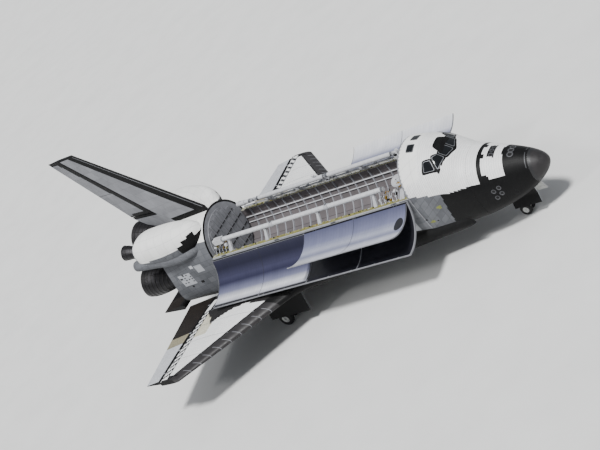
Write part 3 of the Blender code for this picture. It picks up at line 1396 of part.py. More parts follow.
def build_gear():
    leg, fork, axle, tyres = make_nose_gear()
    carry(AIRFRAME, leg)
    steer = hinge_empty("steering_axis", place(NOSE_AXLE_STATION, 0, NOSE_STEER_TOP))
    carry(steer, fork)
    z = ground_height(NOSE_AXLE_STATION, NOSE_TYRE_RADIUS)
    carry(hinge_empty("nose_axle_axis", place(NOSE_AXLE_STATION, 0, z)), axle, *tyres)
    leg, axle, tyres = make_main_gear()
    z = ground_height(MAIN_AXLE_STATION, MAIN_TYRE_RADIUS)
    for side, label in ((1, "port"), (-1, "starboard")):
        parts = [leg, axle, *tyres] if side > 0 else [both_sides(p) for p in (leg, axle, *tyres)]
        carry(AIRFRAME, parts[0])
        axle_line = place(MAIN_AXLE_STATION, side * MAIN_TRACK_HALF, z)
        carry(hinge_empty(f"main_axle_axis_{label}", axle_line), *parts[1:])
    for made in make_gear_doors():
        carry(AIRFRAME, made, both_sides(made))


def build_arm():
    post, upper, lower, effector = make_arm()
    carry(AIRFRAME, post)
    carry(hinge_empty("shoulder_axis", place(ARM_SHOULDER, ARM_Y, ARM_Z)), upper)
    carry(hinge_empty("elbow_axis", place(ARM_ELBOW, ARM_Y, ARM_Z - ELBOW_DROP)), lower)
    carry(hinge_empty("wrist_axis", place(ARM_WRIST, ARM_Y, ARM_Z)), effector)


def shade_round_forms():
    """Shades smooth all but the edges that turn sharply."""
    for obj in PARTS.objects:
        if obj.type == "MESH":
            obj.data.shade_smooth()
            obj.data.set_sharp_from_angle(angle=SHARP_EDGE)


def stand_on_ground():
    """Moves the airframe so that the origin is under the middle of the whole, on the ground."""
    bpy.context.view_layer.update()
    corners = []
    for obj in PARTS.objects:
        if obj.type == "MESH":
            corners += [obj.matrix_world @ vertex.co for vertex in obj.data.vertices]
    low = [min(c[k] for c in corners) for k in range(3)]
    high = [max(c[k] for c in corners) for k in range(3)]
    AIRFRAME.location.x -= (low[0] + high[0]) / 2
    AIRFRAME.location.z -= low[2]


clear_scene()
PARTS = collection("space_shuttle_orbiter")
AIRFRAME = bpy.data.objects.new("airframe", None)
PARTS.objects.link(AIRFRAME)
AIRFRAME.rotation_euler = (0, PARKED_PITCH, 0)
AIRFRAME.location = (0, 0, BAY_AXIS_HEIGHT)
build_airframe()
build_doors()
build_controls()
build_gear()
build_arm()
shade_round_forms()
stand_on_ground()
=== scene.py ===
"""The looks of a space shuttle orbiter, parked on its gear with its payload bay open.

Every shape is worked out in the airframe's own axes, as (station, y, z): metres aft of the nose
tip, metres to port, and metres above the payload bay's axis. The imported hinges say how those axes
lie in the frame. Surfaces are grids of points, computed as whole arrays.
"""

import json
import logging
import math
from dataclasses import dataclass, field
from enum import IntEnum

import bmesh
import bpy
import numpy as np
import numpy.typing as npt
from mathutils import Matrix, Vector

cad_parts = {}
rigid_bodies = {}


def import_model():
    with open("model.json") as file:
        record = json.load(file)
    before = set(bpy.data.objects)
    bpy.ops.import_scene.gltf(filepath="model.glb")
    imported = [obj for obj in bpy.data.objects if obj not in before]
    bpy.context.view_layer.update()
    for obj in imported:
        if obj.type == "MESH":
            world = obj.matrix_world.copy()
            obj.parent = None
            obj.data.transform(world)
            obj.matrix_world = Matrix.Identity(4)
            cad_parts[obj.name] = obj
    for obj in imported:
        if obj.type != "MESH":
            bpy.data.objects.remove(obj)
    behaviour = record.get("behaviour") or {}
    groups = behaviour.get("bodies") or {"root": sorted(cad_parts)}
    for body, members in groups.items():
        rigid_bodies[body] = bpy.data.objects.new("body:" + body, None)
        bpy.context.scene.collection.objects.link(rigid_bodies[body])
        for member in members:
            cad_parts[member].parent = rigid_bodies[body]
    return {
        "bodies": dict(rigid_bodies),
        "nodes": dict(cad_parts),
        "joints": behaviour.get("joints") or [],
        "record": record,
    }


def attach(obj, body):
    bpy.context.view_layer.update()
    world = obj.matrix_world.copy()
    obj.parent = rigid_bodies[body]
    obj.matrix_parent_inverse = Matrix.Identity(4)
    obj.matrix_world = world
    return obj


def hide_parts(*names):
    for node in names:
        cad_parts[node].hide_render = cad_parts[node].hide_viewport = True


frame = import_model()

Array = npt.NDArray[np.float64]
Points = Array | list[tuple[float, float, float]]
log = logging.getLogger("orbiter")

PORT, STARBOARD = 1, -1
SIDES = ((PORT, "port", "left"), (STARBOARD, "starboard", "right"))
MERGE = 0.00002
TILE = 0.1524


def smooth_curve(x: Array, knots: Array, values: Array) -> Array:
    """Follows a monotone cubic through a few points.

    Each slope is the weighted harmonic mean of its two neighbouring chords, or zero at a turn, and
    between two points the curve is the cubic with those end slopes.

    Args:
        x: Where the curve is read, in any shape.
        knots: Rising places of the points.
        values: Heights of the points, in one or more columns.

    Returns:
        The curve at x, with one more axis if values has columns.
    """
    step = np.diff(knots)
    width = step.reshape(-1, *[1] * (values.ndim - 1))
    chord = np.diff(values, axis=0) / width
    before, after = width[:-1], width[1:]
    weight_a, weight_b = 2 * after + before, after + 2 * before
    same = chord[:-1] * chord[1:] > 0
    safe_a, safe_b = np.where(same, chord[:-1], 1.0), np.where(same, chord[1:], 1.0)
    inner = np.where(same, (weight_a + weight_b) / (weight_a / safe_a + weight_b / safe_b), 0.0)
    slope = np.concatenate([chord[:1], inner, chord[-1:]])
    place = np.clip(np.searchsorted(knots, x, side="right") - 1, 0, len(knots) - 2)
    share = (np.clip(x, knots[0], knots[-1]) - knots[place]) / step[place]
    if values.ndim > 1:
        share = share[..., None]
    span, low, high = width[place].reshape(share.shape), values[place], values[place + 1]
    square, cube = share**2, share**3
    return (
        low * (2 * cube - 3 * square + 1)
        + high * (3 * square - 2 * cube)
        + span * (slope[place] * (cube - 2 * square + share) + slope[place + 1] * (cube - square))
    )


def turn_about(points: Array, pivot: Points, axis: Points, angle: float) -> Array:
    """Turns points about an axis through a pivot, by the right hand, in (station, y, z).

    Station runs aft, so these axes are left-handed and the angle's sign is changed.

    Returns:
        The turned points: the part along the axis stays, and the rest turns in its plane.
    """
    pivot, axis = np.asarray(pivot, float), np.asarray(axis, float)
    axis = axis / np.linalg.norm(axis)
    arm = np.asarray(points, float) - pivot
    along = (arm @ axis)[..., None] * axis
    across = np.cross(axis, arm)
    return pivot + along + (arm - along) * math.cos(angle) - across * math.sin(angle)


def side_of(points: Array, side: int) -> Array:
    """Carries port points to a side, by the sign of y."""
    return points * np.array([1.0, side, 1.0])


def lengths(grid: Array, axis: int) -> Array:
    """Distance run along one axis of a grid, from its start."""
    step = np.linalg.norm(np.diff(grid, axis=axis), axis=-1)
    first = np.zeros_like(step[:1] if axis == 0 else step[:, :1])
    return np.cumsum(np.concatenate([first, step], axis=axis), axis=axis)


def unit(vector: Array) -> Array:
    """Vectors of length one."""
    return vector / np.maximum(np.linalg.norm(vector, axis=-1, keepdims=True), 1e-12)


@dataclass(frozen=True)
class Airframe:
    """Where the airframe's axes lie in the frame.

    Attributes:
        origin: The nose tip's station plane on the bay's axis, in the frame.
        turn: Rows are the frame's directions of station, y and z.
    """

    origin: Array
    turn: Array

    @classmethod
    def from_joints(cls, joints: list[dict]) -> "Airframe":
        """Reads the axes off the two payload door hinges.

        Both hinges run along the bay at the same height, so their middle and their direction give
        the bay's axis, and the cross product of that with the line between them gives up.
        """
        hinge = {j["name"]: j for j in joints if j["name"].startswith("payload_door")}
        port, starboard = hinge["payload_door_port"], hinge["payload_door_starboard"]
        forward = unit(np.array(port["axis"], float))
        left = unit(np.array(port["pos_m"], float) - np.array(starboard["pos_m"], float))
        up = unit(np.cross(forward, left))
        middle = (np.array(port["pos_m"]) + np.array(starboard["pos_m"])) / 2
        station = (Bay.front + Bay.back) / 2
        return cls(middle + forward * station - up * Door.hinge_z, np.stack([-forward, left, up]))

    def world(self, points: Points) -> Array:
        """Takes (station, y, z) to the frame."""
        return self.origin + np.asarray(points, float) @ self.turn

    def joint(self, name: str) -> Array:
        """A packed joint's place, as (station, y, z)."""
        place = next(j["pos_m"] for j in frame["joints"] if j["name"] == name)
        return (np.array(place, float) - self.origin) @ self.turn.T


def add_node(tree: bpy.types.NodeTree, kind: str, inputs: dict, **settings: object) -> bpy.types.Node:
    """Adds a node.

    Args:
        tree: The material's nodes.
        kind: Blender's name of the node, without its ShaderNode start.
        inputs: A socket to link or a value to set, by the input's name or number.
        settings: The node's own properties.

    Returns:
        The new node.
    """
    node = tree.nodes.new("ShaderNode" + kind)
    for key, value in settings.items():
        setattr(node, key, value)
    for key, value in inputs.items():
        if isinstance(value, bpy.types.NodeSocket):
            tree.links.new(value, node.inputs[key])
        else:
            node.inputs[key].default_value = value
    return node


def linear(colour: str) -> tuple[float, float, float, float]:
    """Turns an sRGB hex colour to linear: a straight foot, then a power of 2.4."""
    parts = [int(colour[k : k + 2], 16) / 255 for k in (1, 3, 5)]
    red, green, blue = (c / 12.92 if c <= 0.04045 else ((c + 0.055) / 1.055) ** 2.4 for c in parts)
    return (red, green, blue, 1.0)


def ramp_colours(node: bpy.types.Node, stops: list[tuple[float, str]]) -> bpy.types.NodeSocket:
    """Fills a colour ramp with (place, hex) stops and returns its colour socket."""
    elements = node.color_ramp.elements
    while len(elements) < len(stops):
        elements.new(1.0)
    for element, (place, colour) in zip(elements, stops):
        element.position = place
        element.color = linear(colour)
    return node.outputs["Color"]


@dataclass
class Skin:
    """A piece in the making: grid patches joined in one mesh, with UVs in metres.

    Attributes:
        name: The piece's name.
        finishes: The materials that cells choose from.
        smooth: Edges that turn less than this many degrees are shaded smooth.
    """

    name: str
    finishes: list[bpy.types.Material]
    smooth: float = 32.0
    verts: list[Array] = field(default_factory=list)
    faces: list[Array] = field(default_factory=list)
    uvs: list[Array] = field(default_factory=list)
    slots: list[Array] = field(default_factory=list)
    count: int = 0

    def patch(self, grid: Array, finish: int | Array = 0, uv: Array | None = None) -> "Skin":
        """Adds a grid of points as a sheet of quads.

        Args:
            grid: Points in airframe axes, of shape (rows, columns, 3).
            finish: One finish for the sheet, or one for each cell.
            uv: A UV for each point. By default, the distance run along each direction.

        Returns:
            The skin itself, so that calls chain.
        """
        rows, columns = grid.shape[:2]
        if uv is None:
            along = np.broadcast_to(lengths(grid, 0).max(axis=1, keepdims=True), (rows, columns))
            uv = np.stack([along, lengths(grid, 1)], axis=-1)
        index = np.arange(rows * columns).reshape(rows, columns)
        corners = (index[:-1, :-1], index[1:, :-1], index[1:, 1:], index[:-1, 1:])
        quads = np.stack([c.ravel() for c in corners], axis=-1)
        self.verts.append(grid.reshape(-1, 3))
        self.faces.append(quads + self.count)
        self.uvs.append(uv.reshape(-1, 2)[quads])
        self.slots.append(np.broadcast_to(finish, (rows - 1, columns - 1)).ravel())
        self.count += rows * columns
        return self

    def fill(self, loop: Array, finish: int = 0, centre: Points | None = None) -> "Skin":
        """Closes a loop with a fan to its middle, or to a given centre."""
        middle = loop[:-1].mean(axis=0) if centre is None else np.asarray(centre, float)
        fan = np.stack([loop, np.broadcast_to(middle, loop.shape)])
        flat = loop - loop[0]
        spread = np.argsort(np.ptp(flat, axis=0))[-2:]
        return self.patch(fan, finish, fan[..., np.sort(spread)])

    def shell(self, grid: Array, finish: int | Array = 0, uv: Array | None = None, cap: int = 0) -> "Skin":
        """Adds a sheet whose rows are closed loops, and fills its first and last loop."""
        return self.patch(grid, finish, uv).fill(grid[0], cap).fill(grid[-1], cap)

    def slab(self, outer: Array, inner: Array, finish: int | Array = 0, back: int = 0, edge: int = 0) -> "Skin":
        """Adds two sheets and the four edges between them."""
        self.patch(outer, finish).patch(inner, back)
        for pick in (np.s_[0], np.s_[-1], np.s_[:, 0], np.s_[:, -1]):
            self.patch(np.stack([outer[pick], inner[pick]]), edge)
        return self

    def block(self, low: Points, high: Points, finish: int = 0) -> "Skin":
        """Adds a box between two corners: three pairs of faces, each pair a sheet and its other side."""
        a, b = np.asarray(low, float), np.asarray(high, float)
        for axis in range(3):
            u, v = (axis + 1) % 3, (axis + 2) % 3
            for level in (a[axis], b[axis]):
                grid = np.zeros((2, 2, 3))
                grid[..., axis] = level
                grid[..., u] = np.array([[a[u], a[u]], [b[u], b[u]]])
                grid[..., v] = np.array([[a[v], b[v]], [a[v], b[v]]])
                self.patch(grid, finish)
        return self

    def tube(self, path: Points, radius: float | Array, finish: int = 0, sides: int = 12) -> "Skin":
        """Adds a round tube along a path, with closed ends.

        Each ring stands square to the path, and its first point keeps to the side that is farthest
        from the path's overall direction, so that the tube doesn't twist.
        """
        line = np.asarray(path, float)
        heading = unit(np.gradient(line, axis=0))
        overall = unit(line[-1] - line[0] + 1e-9)
        guide = np.eye(3)[np.argmin(np.abs(overall))]
        across = unit(np.cross(heading, guide))
        other = np.cross(heading, across)
        angle = np.linspace(0, 2 * math.pi, sides + 1)
        size = np.broadcast_to(radius, len(line))[:, None, None]
        ring = across[:, None] * np.cos(angle)[:, None] + other[:, None] * np.sin(angle)[:, None]
        return self.shell(line[:, None] + ring * size, finish, cap=finish)

    def turned(
        self, origin: Points, axis: Points, profile: list[tuple[float, float]], finish: int | Array = 0, sides: int = 48
    ) -> "Skin":
        """Adds a profile of (distance along the axis, radius) turned round it. Both ends are on the axis."""
        heading = unit(np.asarray(axis, float))
        guide = np.eye(3)[np.argmin(np.abs(heading))]
        across = unit(np.cross(heading, guide))
        other = np.cross(heading, across)
        outline = np.array(profile, float)
        angle = np.linspace(0, 2 * math.pi, sides + 1)
        spoke = across * np.cos(angle)[:, None] + other * np.sin(angle)[:, None]
        grid = (
            np.asarray(origin, float) + heading * outline[:, 0, None, None] + spoke[None] * outline[:, 1, None, None]
        )
        reach = np.maximum(outline[:, 1].max(), 0.01)
        run = np.concatenate([[0.0], np.cumsum(np.linalg.norm(np.diff(outline, axis=0), axis=1))])
        uv = np.stack(np.broadcast_arrays(run[:, None], angle[None] * reach), axis=-1)
        cells = finish if np.isscalar(finish) else np.asarray(finish)[:, None]
        return self.patch(grid, cells, uv)

    def cup(self, centre: Points, axis: Points, radius: float, rim: int, inside: int) -> "Skin":
        """Adds a thruster's mouth: a low collar round a dark, shallow dish."""
        outline = [(-0.03, 0), (-0.03, 1.2), (0.02, 1.2), (0.02, 1.0), (0.004, 0.8), (0.004, 0)]
        profile = [(along, size * radius) for along, size in outline]
        return self.turned(centre, axis, profile, [rim, rim, rim, inside, inside], 24)

    def mesh(self) -> bpy.types.Mesh:
        """Makes the Blender mesh: patches merged where they meet, faces turned outwards."""
        made = bpy.data.meshes.new(self.name)
        faces = np.concatenate(self.faces).astype(np.int32)
        made.vertices.add(self.count)
        made.vertices.foreach_set("co", AIRFRAME.world(np.concatenate(self.verts)).astype(np.float32).ravel())
        made.loops.add(faces.size)
        made.loops.foreach_set("vertex_index", faces.ravel())
        made.polygons.add(len(faces))
        made.polygons.foreach_set("loop_start", np.arange(0, faces.size, 4, dtype=np.int32))
        made.polygons.foreach_set("material_index", np.concatenate(self.slots).astype(np.int32))
        layer = made.uv_layers.new(name="UVMap")
        layer.data.foreach_set("uv", np.concatenate(self.uvs).astype(np.float32).ravel())
        made.update(calc_edges=True)
        work = bmesh.new()
        work.from_mesh(made)
        bmesh.ops.remove_doubles(work, verts=work.verts, dist=MERGE)
        bmesh.ops.dissolve_degenerate(work, edges=work.edges, dist=MERGE / 2)
        bmesh.ops.recalc_face_normals(work, faces=work.faces)
        work.to_mesh(made)
        work.free()
        for finish in self.finishes:
            made.materials.append(finish)
        return made

    def build(
        self, body: str, *replaces: str, slot: str, cutters: tuple[bpy.types.Object, ...] = ()
    ) -> bpy.types.Object:
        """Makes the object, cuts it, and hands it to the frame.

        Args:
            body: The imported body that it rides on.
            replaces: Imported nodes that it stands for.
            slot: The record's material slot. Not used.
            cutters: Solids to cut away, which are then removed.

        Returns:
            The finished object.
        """
        obj = bpy.data.objects.new(self.name, self.mesh())
        bpy.context.scene.collection.objects.link(obj)
        if cutters:
            cut_away(obj, cutters)
        obj.data.shade_smooth()
        obj.data.set_sharp_from_angle(angle=math.radians(self.smooth))
        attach(obj, body)
        if replaces:
            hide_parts(*replaces)
        log.info("%s: %d faces on %s", obj.name, len(obj.data.polygons), body)
        return obj


def cut_away(obj: bpy.types.Object, cutters: tuple[bpy.types.Object, ...]) -> None:
    """Cuts each cutter out of the object, applies the cuts and removes the cutters."""
    for cutter in cutters:
        step = obj.modifiers.new(cutter.name, "BOOLEAN")
        step.operation, step.object, step.solver = "DIFFERENCE", cutter, "EXACT"
    graph = bpy.context.evaluated_depsgraph_get()
    cut = bpy.data.meshes.new_from_object(obj.evaluated_get(graph))
    obj.modifiers.clear()
    obj.data = cut
    for cutter in cutters:
        bpy.data.objects.remove(cutter)


def cutter(shape: Skin) -> bpy.types.Object:
    """Makes a solid to cut with. It takes the finish that the cut's walls get."""
    obj = bpy.data.objects.new(shape.name, shape.mesh())
    bpy.context.scene.collection.objects.link(obj)
    return obj


def new_material(name: str, **settings: object) -> tuple[bpy.types.Material, bpy.types.NodeTree, bpy.types.Node]:
    """Makes a material with one principled shader, whose constant sockets are set by name.

    Returns:
        The material, its nodes and its shader.
    """
    made = bpy.data.materials.new(name)
    made.use_nodes = True
    tree = made.node_tree
    shader = next(n for n in tree.nodes if n.type == "BSDF_PRINCIPLED")
    for key, value in settings.items():
        shader.inputs[key.replace("_", " ")].default_value = value
    return made, tree, shader


def uv_scaled(tree: bpy.types.NodeTree, scale: tuple[float, float, float] = (1, 1, 1)) -> bpy.types.NodeSocket:
    """The piece's UV, in metres along the surface, times a scale."""
    coordinates = add_node(tree, "TexCoord", {})
    return add_node(tree, "Mapping", {"Vector": coordinates.outputs["UV"], "Scale": scale}).outputs[0]


def mottle(tree: bpy.types.NodeTree, size: float, low: float, high: float, stretch: float = 1.0) -> bpy.types.NodeSocket:
    """Cloudy variation: noise on Object coordinates with blots of a size in metres, mapped to low..high."""
    coordinates = add_node(tree, "TexCoord", {})
    scale = (1 / size, 1 / size, stretch / size)
    place = add_node(tree, "Mapping", {"Vector": coordinates.outputs["Object"], "Scale": scale})
    noise = add_node(tree, "TexNoise", {"Vector": place.outputs[0], "Scale": 1.0, "Detail": 5.0, "Roughness": 0.6})
    spread = {"Value": noise.outputs[0], "From Min": 0.3, "From Max": 0.7, "To Min": low, "To Max": high}
    return add_node(tree, "MapRange", spread).outputs[0]


def shaded(tree: bpy.types.NodeTree, colour: bpy.types.NodeSocket | tuple, value: bpy.types.NodeSocket) -> bpy.types.NodeSocket:
    """A colour times a grey value."""
    grey = add_node(tree, "CombineColor", {0: value, 1: value, 2: value})
    inputs = {0: 1.0, 6: colour, 7: grey.outputs[0]}
    return add_node(tree, "Mix", inputs, data_type="RGBA", blend_type="MULTIPLY").outputs[2]


def bump(tree: bpy.types.NodeTree, shader: bpy.types.Node, height: bpy.types.NodeSocket, depth: float) -> None:
    """Raises the surface by a height of 0 to 1 times a depth in metres."""
    node = add_node(tree, "Bump", {"Strength": 1.0, "Distance": depth, "Height": height})
    tree.links.new(node.outputs[0], shader.inputs["Normal"])


@dataclass(frozen=True)
class Tiled:
    """Glass-coated silica tiles or quilted felt blankets, laid in rows with an open joint.

    The real joint is about 1 mm wide. It is drawn coarser so that it shows from this far.

    Attributes:
        name: The finish's name.
        colour: The usual colour.
        other: The other end of the piece to piece variation.
        joint: The colour of the joint.
        size: Length and width of one tile, in metres.
        gap: Width of the drawn joint.
        roughness: Surface roughness.
        stain: How much the large clouds of soot and rain darken it.
        relief: Depth of the joint.
        stretch: How far clouds are drawn out: below 1 they run down the surface.
        shine: The shader's specular level, which is 0.5 for common materials.
    """

    name: str
    colour: str
    other: str
    joint: str
    size: tuple[float, float] = (TILE, TILE)
    gap: float = 0.010
    roughness: float = 0.6
    stain: float = 0.16
    relief: float = 0.004
    stretch: float = 1.0
    shine: float = 0.5

    def build(self) -> bpy.types.Material:
        """Mixes tile colours by Brick texture, then stains them with two sizes of noise."""
        made, tree, shader = new_material(self.name, Roughness=self.roughness)
        shader.inputs["Specular IOR Level"].default_value = self.shine
        inputs = {
            "Vector": uv_scaled(tree),
            "Color1": linear(self.colour),
            "Color2": linear(self.other),
            "Mortar": linear(self.joint),
            "Scale": 1.0,
            "Mortar Size": self.gap,
            "Mortar Smooth": 0.3,
            "Brick Width": self.size[0],
            "Row Height": self.size[1],
        }
        brick = add_node(tree, "TexBrick", inputs, offset=0.0, squash=1.0)
        broad = shaded(tree, brick.outputs["Color"], mottle(tree, 1.6, 1.0 - self.stain, 1.0, self.stretch))
        fine = shaded(tree, broad, mottle(tree, 0.35, 1.0 - self.stain / 2, 1.0, self.stretch))
        tree.links.new(fine, shader.inputs["Base Color"])
        height = add_node(tree, "Math", {0: 1.0, 1: brick.outputs["Fac"]}, operation="SUBTRACT")
        bump(tree, shader, height.outputs[0], self.relief)
        return made


@dataclass(frozen=True)
class Coated:
    """A painted, moulded or sprayed surface with cloudy wear.

    Attributes:
        name: The finish's name.
        colour: Its colour.
        roughness: Surface roughness.
        metallic: 1 for a bare metal.
        wear: How much the clouds darken it.
        cloud: Size of the clouds, in metres.
        grain: Depth of a fine bump, in metres.
        coat: Weight of a clear coat.
        shine: The shader's specular level, which is 0.5 for common materials.
    """

    name: str
    colour: str
    roughness: float = 0.5
    metallic: float = 0.0
    wear: float = 0.2
    cloud: float = 0.3
    grain: float = 0.001
    coat: float = 0.0
    shine: float = 0.5

    def build(self) -> bpy.types.Material:
        """Shades the colour by broad noise, roughens it by finer noise, and bumps it by the finest."""
        made, tree, shader = new_material(self.name, Metallic=self.metallic, Coat_Weight=self.coat)
        shader.inputs["Specular IOR Level"].default_value = self.shine
        colour = shaded(tree, linear(self.colour), mottle(tree, self.cloud, 1.0 - self.wear, 1.0))
        tree.links.new(colour, shader.inputs["Base Color"])
        rough = mottle(tree, self.cloud / 2, self.roughness * 0.8, min(self.roughness * 1.2, 1.0))
        tree.links.new(rough, shader.inputs["Roughness"])
        bump(tree, shader, mottle(tree, self.cloud / 8, 0.0, 1.0), self.grain)
        return made


@dataclass(frozen=True)
class Silvered:
    """Silver-backed film on the radiators, with the sky's blue painted on as a reflection, in narrow bonded strips.

    Attributes:
        name: The finish's name.
        stops: Colours of the painted reflection, from one long edge to the other, by UV.
        reach: The sheet's width, in metres.
        strip: Width of a film strip along the bay. The real strips are about 100 mm.
    """

    name: str
    stops: tuple[tuple[float, str], ...]
    reach: float
    strip: float = 0.26

    def build(self) -> bpy.types.Material:
        """Paints the reflection's colours by the distance across the panel, with a joint and a tone for each strip."""
        made, tree, shader = new_material(self.name, Metallic=0.3, Roughness=0.3, Coat_Weight=0.2)
        across = add_node(tree, "SeparateXYZ", {0: uv_scaled(tree, (1, 1 / self.reach, 1))})
        ramp = add_node(tree, "ValToRGB", {0: across.outputs[1]})
        colour = ramp_colours(ramp, list(self.stops))
        inputs = {
            "Vector": uv_scaled(tree),
            "Color1": (1.0, 1.0, 1.0, 1.0),
            "Color2": (0.93, 0.94, 0.96, 1.0),
            "Mortar": (0.72, 0.73, 0.78, 1.0),
            "Scale": 1.0,
            "Mortar Size": 0.008,
            "Brick Width": self.strip,
            "Row Height": 1.25,
        }
        brick = add_node(tree, "TexBrick", inputs, offset=0.0)
        mixed = {0: 1.0, 6: colour, 7: brick.outputs["Color"]}
        banded = add_node(tree, "Mix", mixed, data_type="RGBA", blend_type="MULTIPLY").outputs[2]
        tree.links.new(shaded(tree, banded, mottle(tree, 0.9, 0.86, 1.0)), shader.inputs["Base Color"])
        bump(tree, shader, mottle(tree, 0.5, 0.0, 1.0), 0.006)
        return made


@dataclass(frozen=True)
class Ringed:
    """Metal with fine lines round or along it: the cooling tubes of a nozzle, brushed discs.

    Attributes:
        name: The finish's name.
        inner: Dark colour of the lines.
        outer: Light colour of the lines.
        pitch: Distance between lines by UV, in metres.
        along: Whether the lines run along the turned profile.
        roughness: Surface roughness.
    """

    name: str
    inner: str
    outer: str
    pitch: float
    along: bool = True
    roughness: float = 0.4

    def build(self) -> bpy.types.Material:
        """Runs a sine band across the UV and mixes two colours by it, with heat stains."""
        made, tree, shader = new_material(self.name, Metallic=0.85, Roughness=self.roughness)
        inputs = {"Vector": uv_scaled(tree), "Scale": 0.314 / self.pitch, "Distortion": 0.0}
        wave = add_node(tree, "TexWave", inputs, bands_direction="Y" if self.along else "X")
        mixed = {0: wave.outputs["Fac"], 6: linear(self.inner), 7: linear(self.outer)}
        colour = add_node(tree, "Mix", mixed, data_type="RGBA").outputs[2]
        tree.links.new(shaded(tree, colour, mottle(tree, 0.7, 0.65, 1.0)), shader.inputs["Base Color"])
        bump(tree, shader, wave.outputs["Fac"], 0.004)
        return made


@dataclass(frozen=True)
class Foil:
    """Crinkled metal-coated film over insulation: many small flat facets, each catching the light.

    Attributes:
        name: The finish's name.
        colour: Its colour.
        facet: Size of a facet, in metres.
    """

    name: str
    colour: str
    facet: float = 0.12

    def build(self) -> bpy.types.Material:
        """Bumps a bright metal by Voronoi cells on Object coordinates."""
        made, tree, shader = new_material(self.name, Metallic=0.8, Roughness=0.32)
        coordinates = add_node(tree, "TexCoord", {})
        cells = add_node(tree, "TexVoronoi", {"Vector": coordinates.outputs["Object"], "Scale": 1 / self.facet})
        tone = add_node(tree, "MapRange", {"Value": cells.outputs["Distance"], "To Min": 1.0, "To Max": 0.6})
        tree.links.new(shaded(tree, linear(self.colour), tone.outputs[0]), shader.inputs["Base Color"])
        bump(tree, shader, cells.outputs["Distance"], 0.02)
        return made


# Painted reflections on the silver-backed film: violet near the hinge, bright where it faces up
FRONT_FILM_REFLECTION = ((0.0, "#565872"), (0.28, "#7b7e9a"), (0.46, "#b2b5c6"), (0.58, "#8b8ea8"), (0.72, "#e2e3ea"), (1.0, "#fbfbfb"))
REAR_FILM_REFLECTION = ((0.0, "#2a2a40"), (0.2, "#1f1f34"), (0.42, "#3b3b55"), (0.52, "#2a2a45"), (0.72, "#7a7c96"), (0.88, "#f0f0f4"), (1.0, "#cfd0da"))


